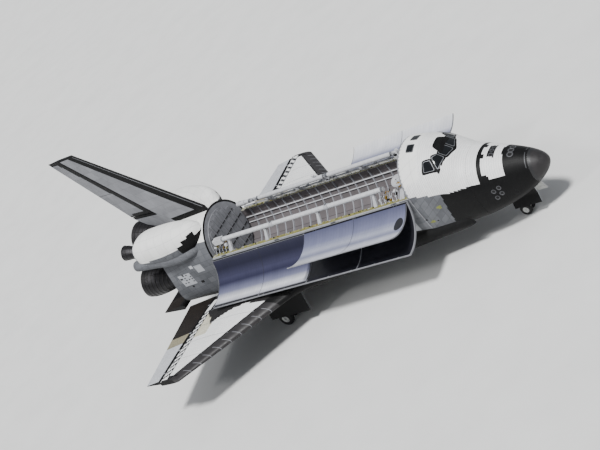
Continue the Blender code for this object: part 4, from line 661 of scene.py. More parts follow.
class Finishes:
    """Every finish of the orbiter, made once and handed out by name."""

    kinds = (
        # Silica tile, white borosilicate glaze: satin, each tile a little different
        Tiled("white_tile", "#f6f6f4", "#ececeb", "#c4c5c7", roughness=0.5, stain=0.08),
        # Silica tile, black glaze: near black with grey-brown scorching
        Tiled("black_tile", "#0a0a0b", "#111112", "#040404", roughness=0.5, stain=0.3, shine=0.18),
        # Quilted silica felt: matt, in panels about 0.75 m square
        Tiled("felt_blanket", "#f4f4f1", "#ebebe8", "#d4d5d6", (0.76, 0.76), 0.012, 0.8, 0.10, 0.006),
        # The same felt on the body sides, greyed by flight
        Tiled("side_blanket", "#b6b8bd", "#a9abb0", "#8b8d92", (0.76, 0.60), 0.014, 0.85, 0.22, 0.008),
        # Felt scorched by the engines and thrusters on the low aft body, mid grey; the same grey is painted shade on
        # the cabin's lower sides and the pods' undersides
        Tiled("soot_blanket", "#6f7176", "#5f6166", "#45464a", (0.61, 0.46), 0.010, 0.8, 0.34, 0.004),
        # Felt on the fin: painted grey for the shade the fin stands in, and blotched by rain and soot
        Tiled("fin_blanket", "#8d8e92", "#7f8084", "#6e6f73", (0.91, 0.91), 0.008, 0.85, 0.26, 0.004, 0.5),
        # Scorched tile on the inboard elevon and the base
        Tiled("brown_tile", "#1d1815", "#28211c", "#0c0a09", roughness=0.6, stain=0.3, shine=0.25),
        Tiled("tan_tile", "#a39c83", "#938c73", "#6d6754", roughness=0.6, stain=0.25),
        Tiled("cream_tile", "#dcd8c4", "#cfcab4", "#a8a48f", roughness=0.6, stain=0.2),
        Tiled("pale_tile", "#cfd1d5", "#c1c3c8", "#9a9ca2", roughness=0.6, stain=0.15),
        # Dark tile painted on the inner wing and the glove as the open door's shadow
        Tiled("smoke_tile", "#262425", "#302e2f", "#141313", roughness=0.6, stain=0.3, shine=0.25),
        # Reinforced carbon: dark, satin, slightly glassy from its sealant
        Coated("carbon_shell", "#2b292a", 0.5, 0.0, 0.35, 0.5, 0.002, shine=0.35),
        Coated("carbon_seal", "#1a1a1c", 0.5, 0.0, 0.2, 0.3),
        # Payload bay liner: coated glass cloth, brownish grey in this light
        Tiled("bay_cloth", "#6b6567", "#5d5859", "#423e40", (0.83, 0.8), 0.02, 0.8, 0.25, 0.012),
        Coated("liner_cloth", "#85868b", 0.8, 0.0, 0.3, 0.4, 0.01),
        Coated("bay_frame", "#97989e", 0.5, 0.0, 0.25, 0.4),
        Coated("frame_paint", "#acadb1", 0.5, 0.0, 0.2, 0.4),
        Silvered("radiator_front", FRONT_FILM_REFLECTION, 3.36),
        Silvered("radiator_rear", REAR_FILM_REFLECTION, 3.36),
        # Graphite laminate on the doors' insides: painted near black for the deep shade on the open doors' inner faces,
        # with a soft shine
        Coated("door_lining", "#121219", 0.4, 0.0, 0.3, 0.5, 0.001, 0.2),
        Coated("seam_black", "#191a20", 0.5),
        # White thermal paint on the arm and boom, under wrapped cloth
        Coated("cloth_wrap", "#c4c5c8", 0.7, 0.0, 0.2, 0.18, 0.006),
        Coated("gear_paint", "#d6d7d4", 0.4, 0.0, 0.3, 0.2, 0.001, 0.2),
        Coated("machined_metal", "#a5a7ab", 0.35, 1.0, 0.3, 0.15),
        Coated("dark_metal", "#3f3e3d", 0.45, 0.9, 0.4, 0.2),
        # Sprayed heat-resistant insulation round the engines
        Coated("heat_shield", "#383634", 0.9, 0.0, 0.45, 0.6, 0.01),
        Tiled("engine_blanket", "#8d8983", "#77736d", "#55524d", (0.30, 0.30), 0.014, 0.9, 0.35, 0.02),
        Ringed("nozzle_outside", "#1f1e20", "#454446", 0.06, True, 0.4),
        Ringed("nozzle_inside", "#191819", "#3d3a38", 0.05, True, 0.5),
        Coated("tyre_rubber", "#1d1d1e", 0.85, 0.0, 0.3, 0.2, 0.002),
        # Window pane: dark from outside, with a hard gloss
        Coated("window_pane", "#0c0f12", 0.08, 0.0, 0.2, 0.6, 0.0, 0.25, 0.3),
        Coated("window_frame", "#85878b", 0.45, 0.5, 0.2, 0.2),
        Coated("cabin_grey", "#6e7173", 0.6, 0.0, 0.25, 0.3),
        Coated("deep_shade", "#0a0a0b", 0.9),
        Coated("ring_grey", "#4a4b4e", 0.5, 0.2, 0.3, 0.1),
        # Yellow-green primer and sealant on the sill, and where panels were taken off
        Coated("yellow_trim", "#9a965c", 0.6, 0.0, 0.35, 0.12, 0.006),
        Coated("olive_patch", "#7f8440", 0.7, 0.0, 0.4, 0.15),
        Foil("gold_foil", "#d3a94e"),
        Foil("silver_foil", "#c4c6ca"),
        Coated("floor", "#dededc", 0.8, 0.0, 0.04, 6.0),
    )

    def __init__(self) -> None:
        """Makes each material."""
        self.made = {kind.name: kind.build() for kind in self.kinds}

    def __call__(self, *names: str) -> list[bpy.types.Material]:
        """The materials of these names, in order."""
        return [self.made[name] for name in names]


@dataclass
class Hull:
    """The fuselage's outer surface.

    Attributes:
        sections: For each station: crown, keel, half width, widest height, upper and lower fullness.
        base_station: Where the leaning base starts, at the crown.
        base_slope: How far the base leans aft for each metre down.
        crown: The height that the lean is measured from.
    """

    sections: tuple[tuple[float, ...], ...] = (
        (0.0, -1.575, -1.575, 0.0, -1.575, 2.0, 2.0),
        (0.05, -1.39, -1.77, 0.21, -1.58, 2.0, 2.0),
        (0.18, -1.22, -1.97, 0.41, -1.61, 2.0, 2.0),
        (0.48, -0.95, -2.28, 0.71, -1.70, 2.0, 2.1),
        (0.99, -0.62, -2.61, 1.03, -1.84, 2.0, 2.3),
        (1.63, -0.30, -2.89, 1.32, -1.98, 2.0, 2.6),
        (2.64, 0.06, -3.14, 1.67, -2.05, 2.1, 2.9),
        (3.66, 0.38, -3.29, 1.95, -1.95, 2.2, 3.2),
        (4.67, 0.72, -3.38, 2.18, -1.70, 2.2, 3.5),
        (5.10, 0.93, -3.40, 2.26, -1.55, 2.2, 3.6),
        (5.70, 1.52, -3.42, 2.35, -1.30, 2.2, 3.7),
        (6.30, 2.02, -3.44, 2.43, -1.00, 2.2, 3.8),
        (6.90, 2.33, -3.45, 2.51, -0.70, 2.1, 4.0),
        (7.70, 2.55, -3.47, 2.60, -0.35, 2.0, 4.4),
        (8.20, 2.64, -3.475, 2.65, -0.16, 2.0, 4.7),
        (8.69, 2.69, -3.48, 2.69, 0.0, 2.0, 5.0),
        (27.08, 2.69, -3.48, 2.69, 0.0, 2.0, 5.0),
        (29.50, 2.69, -3.27, 2.80, 0.0, 2.6, 5.0),
        (31.30, 2.66, -3.14, 2.90, 0.0, 3.2, 5.0),
        (32.58, 2.62, -3.07, 2.95, 0.0, 3.2, 5.0),
        (34.00, 2.62, -3.07, 2.95, 0.0, 3.2, 5.0),
    )
    base_station: float = 31.30
    base_slope: float = 1.28 / 5.80
    crown: float = 2.69

    def point(self, station: Array | float, angle: Array | float, out: float = 0.0) -> Array:
        """Points of the surface at angles from the crown, positive to port.

        Each half of a section is a superellipse: y is the half width times |sin| to the power of
        2 over the fullness, and z rises or falls from the widest height by |cos| to that power. The
        section's values follow a smooth curve over the square root of the station.

        Args:
            station: Metres aft of the nose tip.
            angle: Radians from the crown.
            out: Distance to stand off, away from the section's widest middle.

        Returns:
            Points as (station, y, z).
        """
        station, angle = np.broadcast_arrays(np.asarray(station, float), np.asarray(angle, float))
        table = np.array(self.sections)
        values = smooth_curve(np.sqrt(station), np.sqrt(table[:, 0]), table[:, 1:])
        crown, keel, width, widest, upper, lower = np.moveaxis(values, -1, 0)
        sine, cosine = np.sin(angle), np.cos(angle)
        top = cosine >= 0
        power = 2 / np.where(top, upper, lower)
        rise = np.where(top, crown - widest, keel - widest)
        y = width * np.abs(sine) ** power * np.sign(sine)
        z = widest + rise * np.abs(cosine) ** power
        away = unit(np.stack([np.zeros_like(y), y / np.maximum(width, 0.01), (z - widest) / (np.abs(rise) + 0.01)], axis=-1))
        return np.stack([station, y, z], axis=-1) + away * out

    def band(self, stations: Array, first: float, last: float, count: int, out: float = 0.0) -> Array:
        """Rows of points between two angles, spaced evenly by length along each section.

        Returns:
            A grid of shape (stations, count + 1, 3).
        """
        fine = np.linspace(first, last, 720)
        run = lengths(self.point(stations[:, None], fine[None]), 1)
        target = np.linspace(0, 1, count + 1)
        angles = np.stack([np.interp(target * r[-1], r, fine) for r in run])
        return self.point(stations[:, None], angles, out)

    def side(self, station: Array, height: Array, out: float = 0.0) -> Array:
        """Points of the port side at given heights: the section's y is solved from its z."""
        station, height = np.broadcast_arrays(np.asarray(station, float), np.asarray(height, float))
        table = np.array(self.sections)
        values = smooth_curve(np.sqrt(station), np.sqrt(table[:, 0]), table[:, 1:])
        crown, keel, width, widest, upper, lower = np.moveaxis(values, -1, 0)
        top = height >= widest
        full, rise = np.where(top, upper, lower), np.where(top, crown - widest, widest - keel)
        share = np.clip(np.abs(height - widest) / rise, 0, 1)
        y = width * (1 - share**full) ** (1 / full)
        return np.stack([station, y + out, height], axis=-1)


def centres(grid: Array) -> tuple[Array, Array, Array]:
    """Station, distance from the middle, and height of each cell's centre."""
    middle = (grid[:-1, :-1] + grid[1:, :-1] + grid[1:, 1:] + grid[:-1, 1:]) / 4
    return middle[..., 0], middle[..., 1], middle[..., 2]


def rows_between(first: float, last: float, step: float = 0.12) -> Array:
    """Evenly spaced stations, about a step apart."""
    return np.linspace(first, last, max(2, round((last - first) / step) + 1))


class Coat(IntEnum):
    """The hull's finishes, in the order that its pieces list them."""

    WHITE = 0
    BLACK = 1
    SIDE = 2
    FELT = 3
    SOOT_AND_SHADE = 4


HULL_COATS = ("white_tile", "black_tile", "side_blanket", "felt_blanket", "soot_blanket")
# Lower edge of the white tiles and, on the forward fuselage, of the painted shadow below them: stations and heights,
# with a step round the nose patch
WHITE_AND_SHADOW_EDGE = ((2.35, 2.47, 2.5, 3.05, 3.06, 3.45, 3.46, 3.8, 3.81, 4.03, 4.04, 6.60, 8.66, 8.8),
              (-0.30, -0.92, -0.92, -0.82, -0.82, -0.72, -0.46, -0.40, 0.6, 0.6, -0.68, -0.27, 0.36, 0.38))


def hull_coat(grid: Array) -> Array:
    """The finish of each cell of the hull.

    Black covers the nose back to station 2.5, everything under the stepped edge line, one panel over
    the crown round the upper thrusters, a hoop behind it, and the underside; on the forward fuselage
    part of the black under the line is painted shadow. A grey plate of painted shade lies under the
    cabin's white. Greyed felt covers the body sides, and sooted felt the rear ones.
    """
    station, across, height = centres(grid)
    y = np.abs(across)
    # On the forward fuselage the line sits high, and the black under it there is painted shadow
    line = np.interp(station, *WHITE_AND_SHADOW_EDGE)
    coat = np.where(height > line, Coat.WHITE, Coat.BLACK)
    coat = np.where(station < 2.55 - 0.16 * np.clip(y / 0.8, 0, 1), Coat.BLACK, coat)
    coat = np.where((station > 3.83) & (station < 4.04) & (height > -0.46), Coat.BLACK, coat)
    coat = np.where((station > 3.62) & (station < 3.9) & (y > 0.38) & (y < 0.62), Coat.BLACK, coat)
    coat = np.where((station > 2.92) & (station < 3.42) & (y < 0.55), Coat.BLACK, coat)
    # A grey plate of painted shade, on the white under the cabin
    plate = (station > 6.62 + 0.16 * np.clip(-0.3 - height, 0, 3)) & (height > -2.5) & (height <= line)
    coat = np.where(plate, Coat.SOOT_AND_SHADE, coat)
    coat = np.where((station > 7.4) & (height >= 1.1), Coat.FELT, coat)
    coat = np.where((station > 9.6) & (height > -2.62), Coat.SIDE, coat)
    coat = np.where((station > 27.05) & (height <= 1.6), Coat.SOOT_AND_SHADE, coat)
    coat = np.where((station > 27.05) & (height > 1.6), Coat.FELT, coat)
    return np.where((station > 8.7) & (height <= -2.55), Coat.BLACK, coat)


@dataclass
class Nose:
    """The carbon cap, and the forward fuselage with its thrusters and the nose gear's well."""

    hull: Hull
    finishes: Finishes
    cap_end: float = 0.99
    end: float = 4.67
    well: tuple[float, float, float, float] = (1.85, 3.95, 0.50, -2.15)
    wall: float = 0.05

    def build_cap(self) -> None:
        """The cap's rows close in on the tip as the square of the row's number."""
        stations = self.cap_end * np.linspace(0, 1, 22) ** 2
        grid = self.hull.band(stations, 0, 2 * math.pi, 72)
        skin = Skin("nose_cap_shell", self.finishes("carbon_shell", "carbon_seal"))
        skin.shell(grid, np.where(centres(grid)[0] > 0.80, 1, 0))
        skin.build("airframe", "nose_cap", slot="carbon_edge")

    def build_body(self) -> None:
        """A closed body from the cap to the cabin, with the wheel well cut into its underside."""
        rows = rows_between(self.cap_end + 0.0003, self.end - 0.0003, 0.09)
        grid = self.hull.band(rows, 0, 2 * math.pi, 112)
        skin = Skin("forward_fuselage_skin", self.finishes(*HULL_COATS, "cabin_grey"))
        skin.shell(grid, hull_coat(grid))
        front, back, half, roof = self.well
        hole = Skin("well", self.finishes("frame_paint")).block((front, -half, -4.2), (back, half, roof))
        skin.build("airframe", "forward_fuselage", slot="white_blanket", cutters=(cutter(hole),))

    def build_thrusters(self) -> None:
        """Scarfed thruster mouths: dark cups in a collar, let into the skin, and a thin joint line."""
        skin = Skin("forward_thrusters", self.finishes("ring_grey", "deep_shade"))
        places = [(1.97, y, 0.15) for y in (-0.33, 0.0, 0.33)] + [(3.17, y, 0.12) for y in (-0.34, 0.0, 0.34)]
        for station, y, radius in places:
            crown = self.hull.point(station, np.array([-0.5, 0.5]))[:, 1]
            self.mouth(skin, station, float(np.interp(y, crown, [-0.5, 0.5])), radius)
        for side, _, _ in SIDES:
            for station, degrees in ((3.1, 76), (3.1, 86), (3.5, 80), (3.5, 90), (2.3, 96)):
                self.mouth(skin, station, side * math.radians(degrees), 0.11)
            line = self.hull.band(np.array([1.10, 1.14]), side * 0.10, side * 1.0, 24, 0.004)
            skin.patch(line, 0)
        skin.build("airframe", slot="bare_metal")

    def mouth(self, skin: Skin, station: float, angle: float, radius: float) -> None:
        """A collar and its dark middle: rings on the hull about a point, raised and sunk."""
        turn = np.linspace(0, 2 * math.pi, 21)
        size = np.array([1.35, 1.35, 1.0, 0.85, 0.0]) * radius
        lift = np.array([-0.01, 0.02, 0.022, 0.004, 0.004])
        girth = float(np.linalg.norm(self.hull.point(station, angle + 0.01) - self.hull.point(station, angle))) / 0.01
        s = station + size[:, None] * np.cos(turn)
        a = angle + size[:, None] * np.sin(turn) / girth
        grid = self.hull.point(s, a) + self.outward(station, angle) * lift[:, None, None]
        skin.patch(grid, np.array([[0], [0], [0], [1]]))

    def outward(self, station: float, angle: float) -> Array:
        """The surface's normal, from the cross product of its two directions."""
        step = 0.002
        along = self.hull.point(station + step, angle) - self.hull.point(station - step, angle)
        round_ = self.hull.point(station, angle + step) - self.hull.point(station, angle - step)
        return unit(np.cross(along, round_)) * (-1 if np.cross(along, round_)[2] < 0 else 1)

    def build(self) -> None:
        """Builds the nose."""
        self.build_cap()
        self.build_body()
        self.build_thrusters()


@dataclass
class Cabin:
    """The crew cabin's shell, its windows and the side hatch."""

    hull: Hull
    finishes: Finishes
    front: float = 4.67
    back: float = 8.69
    wall: float = 0.12
    hatch: tuple[float, float, float] = (7.05, -1.35, 0.51)
    knuckle_half: float = 0.08
    forward_panes: tuple = (
        ((5.46, 1.6), (5.66, 18.0), (6.06, 17.2), (5.93, 1.6)),
        ((5.76, 22.0), (6.12, 43.5), (6.40, 27.5), (6.12, 20.0)),
        ((6.32, 45.5), (7.00, 49.5), (6.94, 35.5), (6.50, 32.0)),
    )
    overhead_pane: tuple = ((7.70, 5.5), (7.70, 18.0), (8.15, 17.5), (8.15, 5.5))
    brow: tuple = ((5.95, -14.0), (5.95, 14.0), (6.38, 9.0), (6.38, -9.0))

    def build_shell(self) -> None:
        """Outer skin and inner wall, with the hatchway cut through the port side."""
        rows = rows_between(self.front, self.back, 0.09)
        outer = self.hull.band(rows, 0, 2 * math.pi, 150)
        inner = self.hull.band(rows_between(self.front, self.back, 0.25), 0, 2 * math.pi, 75, -self.wall)
        skin = Skin("crew_cabin_skin", self.finishes(*HULL_COATS, "cabin_grey", "machined_metal"))
        skin.patch(outer, hull_coat(outer)).patch(inner, 5)
        for row in (0, -1):
            skin.patch(np.stack([outer[row, ::2], inner[row]]), 5)
        station, height, radius = self.hatch
        hole = Skin("hatchway", self.finishes("machined_metal"))
        hole.turned((station, 1.6, height), (0, 1, 0), [(0, 0), (0, radius), (2.0, radius), (2.0, 0)], sides=40)
        skin.build("airframe", "crew_cabin", slot="white_blanket", cutters=(cutter(hole),))

    def pane_grid(self, corners: tuple, grow: float, reach: Array, lift: Array, side: int) -> Array:
        """Rings of a rounded four-sided outline on the hull.

        The outline is a superellipse of power 7 in the unit square, carried to the hull by the four
        corners' own mean, and each ring is that outline times a reach, grown by a length.

        Args:
            corners: (station, degrees from the crown) round the pane.
            grow: How far ring reach 1 goes out past the corners, in metres.
            reach: For each ring, 0 for the middle, 1 for the outline, more for further out.
            lift: For each ring, how far it stands off the hull.
            side: Port or starboard.

        Returns:
            A grid of rings.
        """
        turn = np.linspace(0, 2 * math.pi, 49)
        u = np.sign(np.cos(turn)) * np.abs(np.cos(turn)) ** (2 / 7)
        v = np.sign(np.sin(turn)) * np.abs(np.sin(turn)) ** (2 / 7)
        points = np.array([self.hull.point(s, math.radians(a)) for s, a in corners])
        width = np.linalg.norm(points[1] - points[0] + points[2] - points[3]) / 4
        depth = np.linalg.norm(points[3] - points[0] + points[2] - points[1]) / 4
        u = u[None] * (reach[:, None] * (1 + grow / depth))
        v = v[None] * (reach[:, None] * (1 + grow / width))
        weights = [(1 - u) * (1 - v), (1 - u) * (1 + v), (1 + u) * (1 + v), (1 + u) * (1 - v)]
        station = sum(w / 4 * s for w, (s, _) in zip(weights, corners))
        angle = sum(w / 4 * math.radians(a) for w, (_, a) in zip(weights, corners))
        return side_of(self.hull.point(station, angle, lift[:, None, None]), side)

    def build_windows(self) -> None:
        """Dark glass in a thin grey frame, and one black tiled surround that joins all the forward panes."""
        surround = Skin("window_surrounds", self.finishes("black_tile", "window_frame"), 40.0)
        glass = Skin("window_panes", self.finishes("window_pane"))
        reach, lift = np.array([1.03, 1.0, 0.99, 0.0]), np.array([-0.012, 0.008, 0.009, 0.009])
        for side, _, _ in SIDES:
            for corners in (*self.forward_panes, self.overhead_pane):
                grow = 0.05 if corners is self.overhead_pane else 0.14
                surround.patch(self.pane_grid(corners, grow, reach[:3], lift[:3], side))
                rim = self.pane_grid(corners, grow, reach[2:3], lift[2:3], side)
                frame = self.pane_grid(corners, 0.0, np.array([1.07, 1.07, 1.0, 1.0]), np.array([0.010, 0.02, 0.02, 0.003]), side)
                surround.patch(np.concatenate([rim, frame[:1]])).patch(frame, 1)
                glass.patch(self.pane_grid(corners, 0.0, np.linspace(0, 1.0, 9), np.full(9, 0.005), side))
        surround.patch(self.pane_grid(self.brow, 0.1, np.linspace(0, 1, 12)[::-1], np.full(12, 0.03), PORT))
        surround.build("airframe", slot="black_tile")
        glass.build("airframe", "cabin_glass", slot="window_glass")

    def build_hatch(self) -> None:
        """A round door that follows the side, with a rim, a small window and a handle."""
        station, height, radius = self.hatch
        turn = np.linspace(0, 2 * math.pi, 49)
        skin = Skin("side_hatch_skin", self.finishes("white_tile", "machined_metal", "window_pane", "black_tile"))

        def disc(sizes: list[float], lifts: list[float]) -> Array:
            """Rings on the side about the hatch's middle."""
            size = np.array(sizes)[:, None]
            y = np.array(lifts)[:, None]
            flat = self.hull.side(station + size * np.cos(turn), height + size * np.sin(turn))
            return flat + np.stack([0 * y, y, 0 * y], axis=-1)

        outer = radius - 0.006
        skin.patch(disc([0.0, outer - 0.03, outer - 0.03, outer - 0.01, outer], [0.004, 0.004, 0.012, 0.012, 0.004]), np.array([[0], [0], [3], [3]]))
        skin.patch(disc([outer, outer], [0.004, -0.10]), 1)
        skin.patch(disc([outer, 0.0], [-0.10, -0.10]), 1)
        skin.patch(disc([0.16, 0.16, 0.13, 0.13], [0.0, 0.03, 0.03, 0.012]), 1)
        skin.patch(disc([0.13, 0.0], [0.014, 0.014]), 2)
        skin.tube(disc([0.34], [0.03])[0, 4:12], 0.012, 1, 8)
        hinge, half = AIRFRAME.joint("side_hatch"), self.knuckle_half
        skin.tube([hinge - [half, 0, 0], hinge + [half, 0, 0]], 0.03, 1, 16)
        skin.block(hinge + [-0.075, -0.015, 0.0], hinge + [0.075, 0.015, 0.20], 1)
        skin.block(hinge + [-0.075, -0.115, 0.10], hinge + [0.075, 0.01, 0.19], 1)
        skin.build("hatch", "side_hatch", slot="white_blanket")
        stays = Skin("side_hatch_knuckles", self.finishes("machined_metal"))
        for way in (-1, 1):
            near = hinge + [way * (half + 0.0003), 0, 0]
            stays.tube([near, near + [way * 0.10, 0, 0]], 0.03, 0, 16)
            middle = near + [way * 0.05, 0, 0]
            stays.block(middle - [0.02, 0.13, 0.04], middle + [0.02, 0.0, 0.02])
        stays.build("airframe", slot="bare_metal")

    def build_marks(self) -> None:
        """Worn patches and small dark access panels on the side plates, which are painted grey as shade."""
        skin = Skin("side_plate_marks", self.finishes("olive_patch", "deep_shade", "soot_blanket"))
        for side, _, _ in SIDES:
            for station, height, long, high, finish in (
                (7.23, -1.03, 0.36, 0.26, 0),
                (8.30, -1.90, 0.36, 0.20, 0),
                (8.62, -1.62, 0.18, 0.12, 1),
                (7.95, -1.95, 0.14, 0.10, 1),
            ):
                if side == PORT and station < 8:
                    continue
                turn = np.linspace(0, 2 * math.pi, 25)
                size = np.array([1.0, 0.0])[:, None] * (1 + 0.18 * np.sin(3 * turn + station) + 0.12 * np.cos(5 * turn))
                s, z = station + long / 2 * size * np.cos(turn), height + high / 2 * size * np.sin(turn)
                skin.patch(side_of(self.hull.side(s, z, 0.006), side), finish)
        skin.build("airframe", slot="white_blanket")

    def build(self) -> None:
        """Builds the cabin."""
        self.build_marks()
        self.build_shell()
        self.build_windows()
        self.build_hatch()


@dataclass
class Bay:
    """The payload bay: the body's lower shell, the trough with its frames, and the fittings along it."""

    hull: Hull
    finishes: Finishes
    front: float = 8.79
    back: float = 27.08
    sill: float = 0.28
    trough: float = 2.34
    frame: float = 2.25
    frames: int = 11

    def trough_row(self, radius: Array, stations: Array, count: int = 56) -> Array:
        """Half rings under the sill: y and z are the radius times cosine and minus sine of a swept angle."""
        end = np.arcsin(self.sill / np.maximum(radius, self.sill))
        share = np.linspace(0, 1, count + 1)
        angle = -end[:, None] + share * (math.pi + 2 * end[:, None])
        y, z = radius[:, None] * np.cos(angle), -radius[:, None] * np.sin(angle)
        return np.stack([np.broadcast_to(stations[:, None], y.shape), y, z], axis=-1)

    def build_shell(self) -> None:
        """Outer skin under the sills, the lining, the flat sills and the end faces."""
        rows = rows_between(self.front, self.back, 0.15)
        start = math.acos(self.sill / 2.69)
        outer = self.hull.band(rows, start, 2 * math.pi - start, 96)
        lining = self.trough_row(np.full(len(rows), self.trough), rows, 96)
        skin = Skin("mid_fuselage_skin", self.finishes(*HULL_COATS, "bay_cloth", "frame_paint"))
        skin.patch(outer, hull_coat(outer)).patch(lining, 5)
        for edge in (0, -1):
            skin.patch(np.stack([outer[:, edge], lining[:, edge]], axis=1), 6)
            skin.patch(np.stack([outer[edge], lining[edge]]), 6)
        skin.build("airframe", "mid_fuselage", slot="bay_liner")

    def build_frames(self) -> None:
        """Bright frames with a wide foot, a narrow one between each pair, and stringers between those."""
        skin = Skin("bay_frames", self.finishes("bay_frame", "bay_cloth", "machined_metal"), 25.0)
        main = np.linspace(self.front + 0.9, self.back - 0.9, self.frames)
        for station in main:
            profile = ((-0.05, 2.337), (-0.04, 2.325), (-0.035, 2.25), (0.035, 2.25), (0.04, 2.325), (0.05, 2.337))
            skin.patch(self.trough_row(np.array([r for _, r in profile]), np.array([station + d for d, _ in profile])))
        for station in (main[:-1] + main[1:]) / 2:
            profile = ((-0.05, 2.337), (-0.03, 2.30), (0.03, 2.30), (0.05, 2.337))
            skin.patch(self.trough_row(np.array([r for _, r in profile]), np.array([station + d for d, _ in profile])))
        for degrees in (3, 60, 120, 177):
            angle = math.radians(degrees)
            y, z = 2.31 * math.cos(angle), -2.31 * math.sin(angle)
            skin.tube([(self.front + 0.05, y, z), (self.back - 0.05, y, z)], 0.018, 1, 6)
        for station in main[1:-1]:
            skin.block((station - 0.16, -0.14, -2.31), (station + 0.16, 0.14, -2.16), 2)
        skin.build("airframe", slot="bay_liner")

    def build_sills(self) -> None:
        """Longeron caps, the latch pads, the door knuckles, wire trays and lamps."""
        skin = Skin("bay_sill_fittings", self.finishes("frame_paint", "machined_metal", "yellow_trim", "window_pane", "cloth_wrap"))
        for side, _, _ in SIDES:
            low, high = sorted((side * 2.36, side * 2.40))
            skin.block((self.front + 0.02, low, self.sill + 0.0005), (self.back - 0.02, high, self.sill + 0.035), 2)
            low, high = sorted((side * 2.55, side * 2.60))
            skin.block((self.front + 0.02, low, self.sill + 0.0005), (self.back - 0.02, high, self.sill + 0.025), 2)
            low, high = sorted((side * 2.36, side * 2.52))
            skin.block((24.25, low, self.sill), (24.65, high, self.sill + 0.05), 1)
            for k, station in enumerate(rows_between(self.front + 0.5, self.back - 0.5, 0.82)):
                low, high = sorted((side * 2.41, side * 2.53))
                if not 24.0 < station < 24.9:
                    skin.block((station - 0.05, low, self.sill + 0.0005), (station + 0.05, high, self.sill + 0.03), 1)
            for station in Door.hinge_stations:
                skin.tube([(station - 0.10, side * Door.hinge_y, Door.hinge_z), (station + 0.10, side * Door.hinge_y, Door.hinge_z)], 0.034, 1, 12)
                low, high = sorted((side * 2.62, side * 2.72))
                skin.block((station - 0.09, low, 0.10), (station + 0.09, high, 0.285), 1)
            for height, depth in ((-0.35, 0.05), (-0.75, 0.04)):
                y = math.sqrt(2.29**2 - height**2)
                skin.tube([(self.front + 0.1, side * y, height), (self.back - 0.1, side * y, height)], depth, 4, 8)
            for station in (10.8, 17.9, 24.9):
                low, high = sorted((side * 1.80, side * 1.95))
                skin.block((station - 0.12, low, -1.30), (station + 0.12, high, -1.16), 3)
        skin.block((self.front + 0.3, -2.535, self.sill + 0.031), (self.back - 0.3, -2.515, self.sill + 0.05), 2)
        skin.build("airframe", slot="bare_metal")

    def build(self) -> None:
        """Builds the bay."""
        self.build_shell()
        self.build_frames()
        self.build_sills()


@dataclass
class Bulkheads:
    """The bay's end walls: the cabin's with windows and the airlock's hatch, and the rear one."""

    finishes: Finishes
    front: float = 8.79
    back: float = 27.08

    def build(self) -> None:
        """Ribs, rails, padded blankets, window frames and the hatch's wheel."""
        wall = Skin("cabin_wall_fittings", self.finishes("cloth_wrap", "machined_metal", "window_pane", "frame_paint"))
        for side in (1, -1):
            y = side * 0.42
            wall.block((self.front + 0.001, y - 0.15, 1.51), (self.front + 0.006, y + 0.15, 1.94), 2)
            for way in (-1, 1):
                low, high = sorted((y + way * 0.15, y + way * 0.22))
                wall.block((self.front, low, 1.44), (self.front + 0.03, high, 2.01), 3)
                edge = 1.725 + way * 0.25
                wall.block((self.front, y - 0.15, edge - 0.035), (self.front + 0.03, y + 0.15, edge + 0.035), 3)
            rail = [(self.front + 0.10, side * 0.95, z) for z in (-1.3, -1.28, 0.3, 0.32)]
            rail[0], rail[-1] = (self.front + 0.001, side * 0.95, -1.3), (self.front + 0.001, side * 0.95, 0.32)
            wall.tube(rail, 0.018, 1, 8)
            wall.block((self.front + 0.001, side * 1.15 - 0.04, -1.9), (self.front + 0.05, side * 1.15 + 0.04, 1.6), 3)
            wall.block((self.front + 0.001, side * 1.75 - 0.03, -1.2), (self.front + 0.04, side * 1.75 + 0.03, 1.2), 3)
        wall.block((self.front + 0.001, -1.9, 0.50), (self.front + 0.045, 1.9, 0.57), 3)
        wall.turned((self.front + 0.12, 0, -0.55), (1, 0, 0), [(0, 0), (0, 0.6), (0.03, 0.6), (0.05, 0.45), (0.05, 0.2), (0.09, 0.18), (0.09, 0)], 1)
        wall.build("airframe", slot="bare_metal")
        rear = Skin("rear_wall_fittings", self.finishes("liner_cloth", "machined_metal", "dark_metal"))
        edge = self.back - 0.0803
        for y in (-1.75, -1.25, -0.75, -0.25, 0.25, 0.75, 1.25, 1.75):
            reach = math.sqrt(2.0**2 - y**2) - 0.05
            rear.block((edge - 0.035, y - 0.20, -reach), (edge - 0.0, y + 0.20, reach), 0)
        for z in (-1.3, -0.5, 0.3, 1.1):
            reach = math.sqrt(2.05**2 - z**2)
            rear.block((edge - 0.06, -reach, z - 0.03), (edge - 0.0, reach, z + 0.03), 2)
        rear.build("airframe", slot="bay_liner")


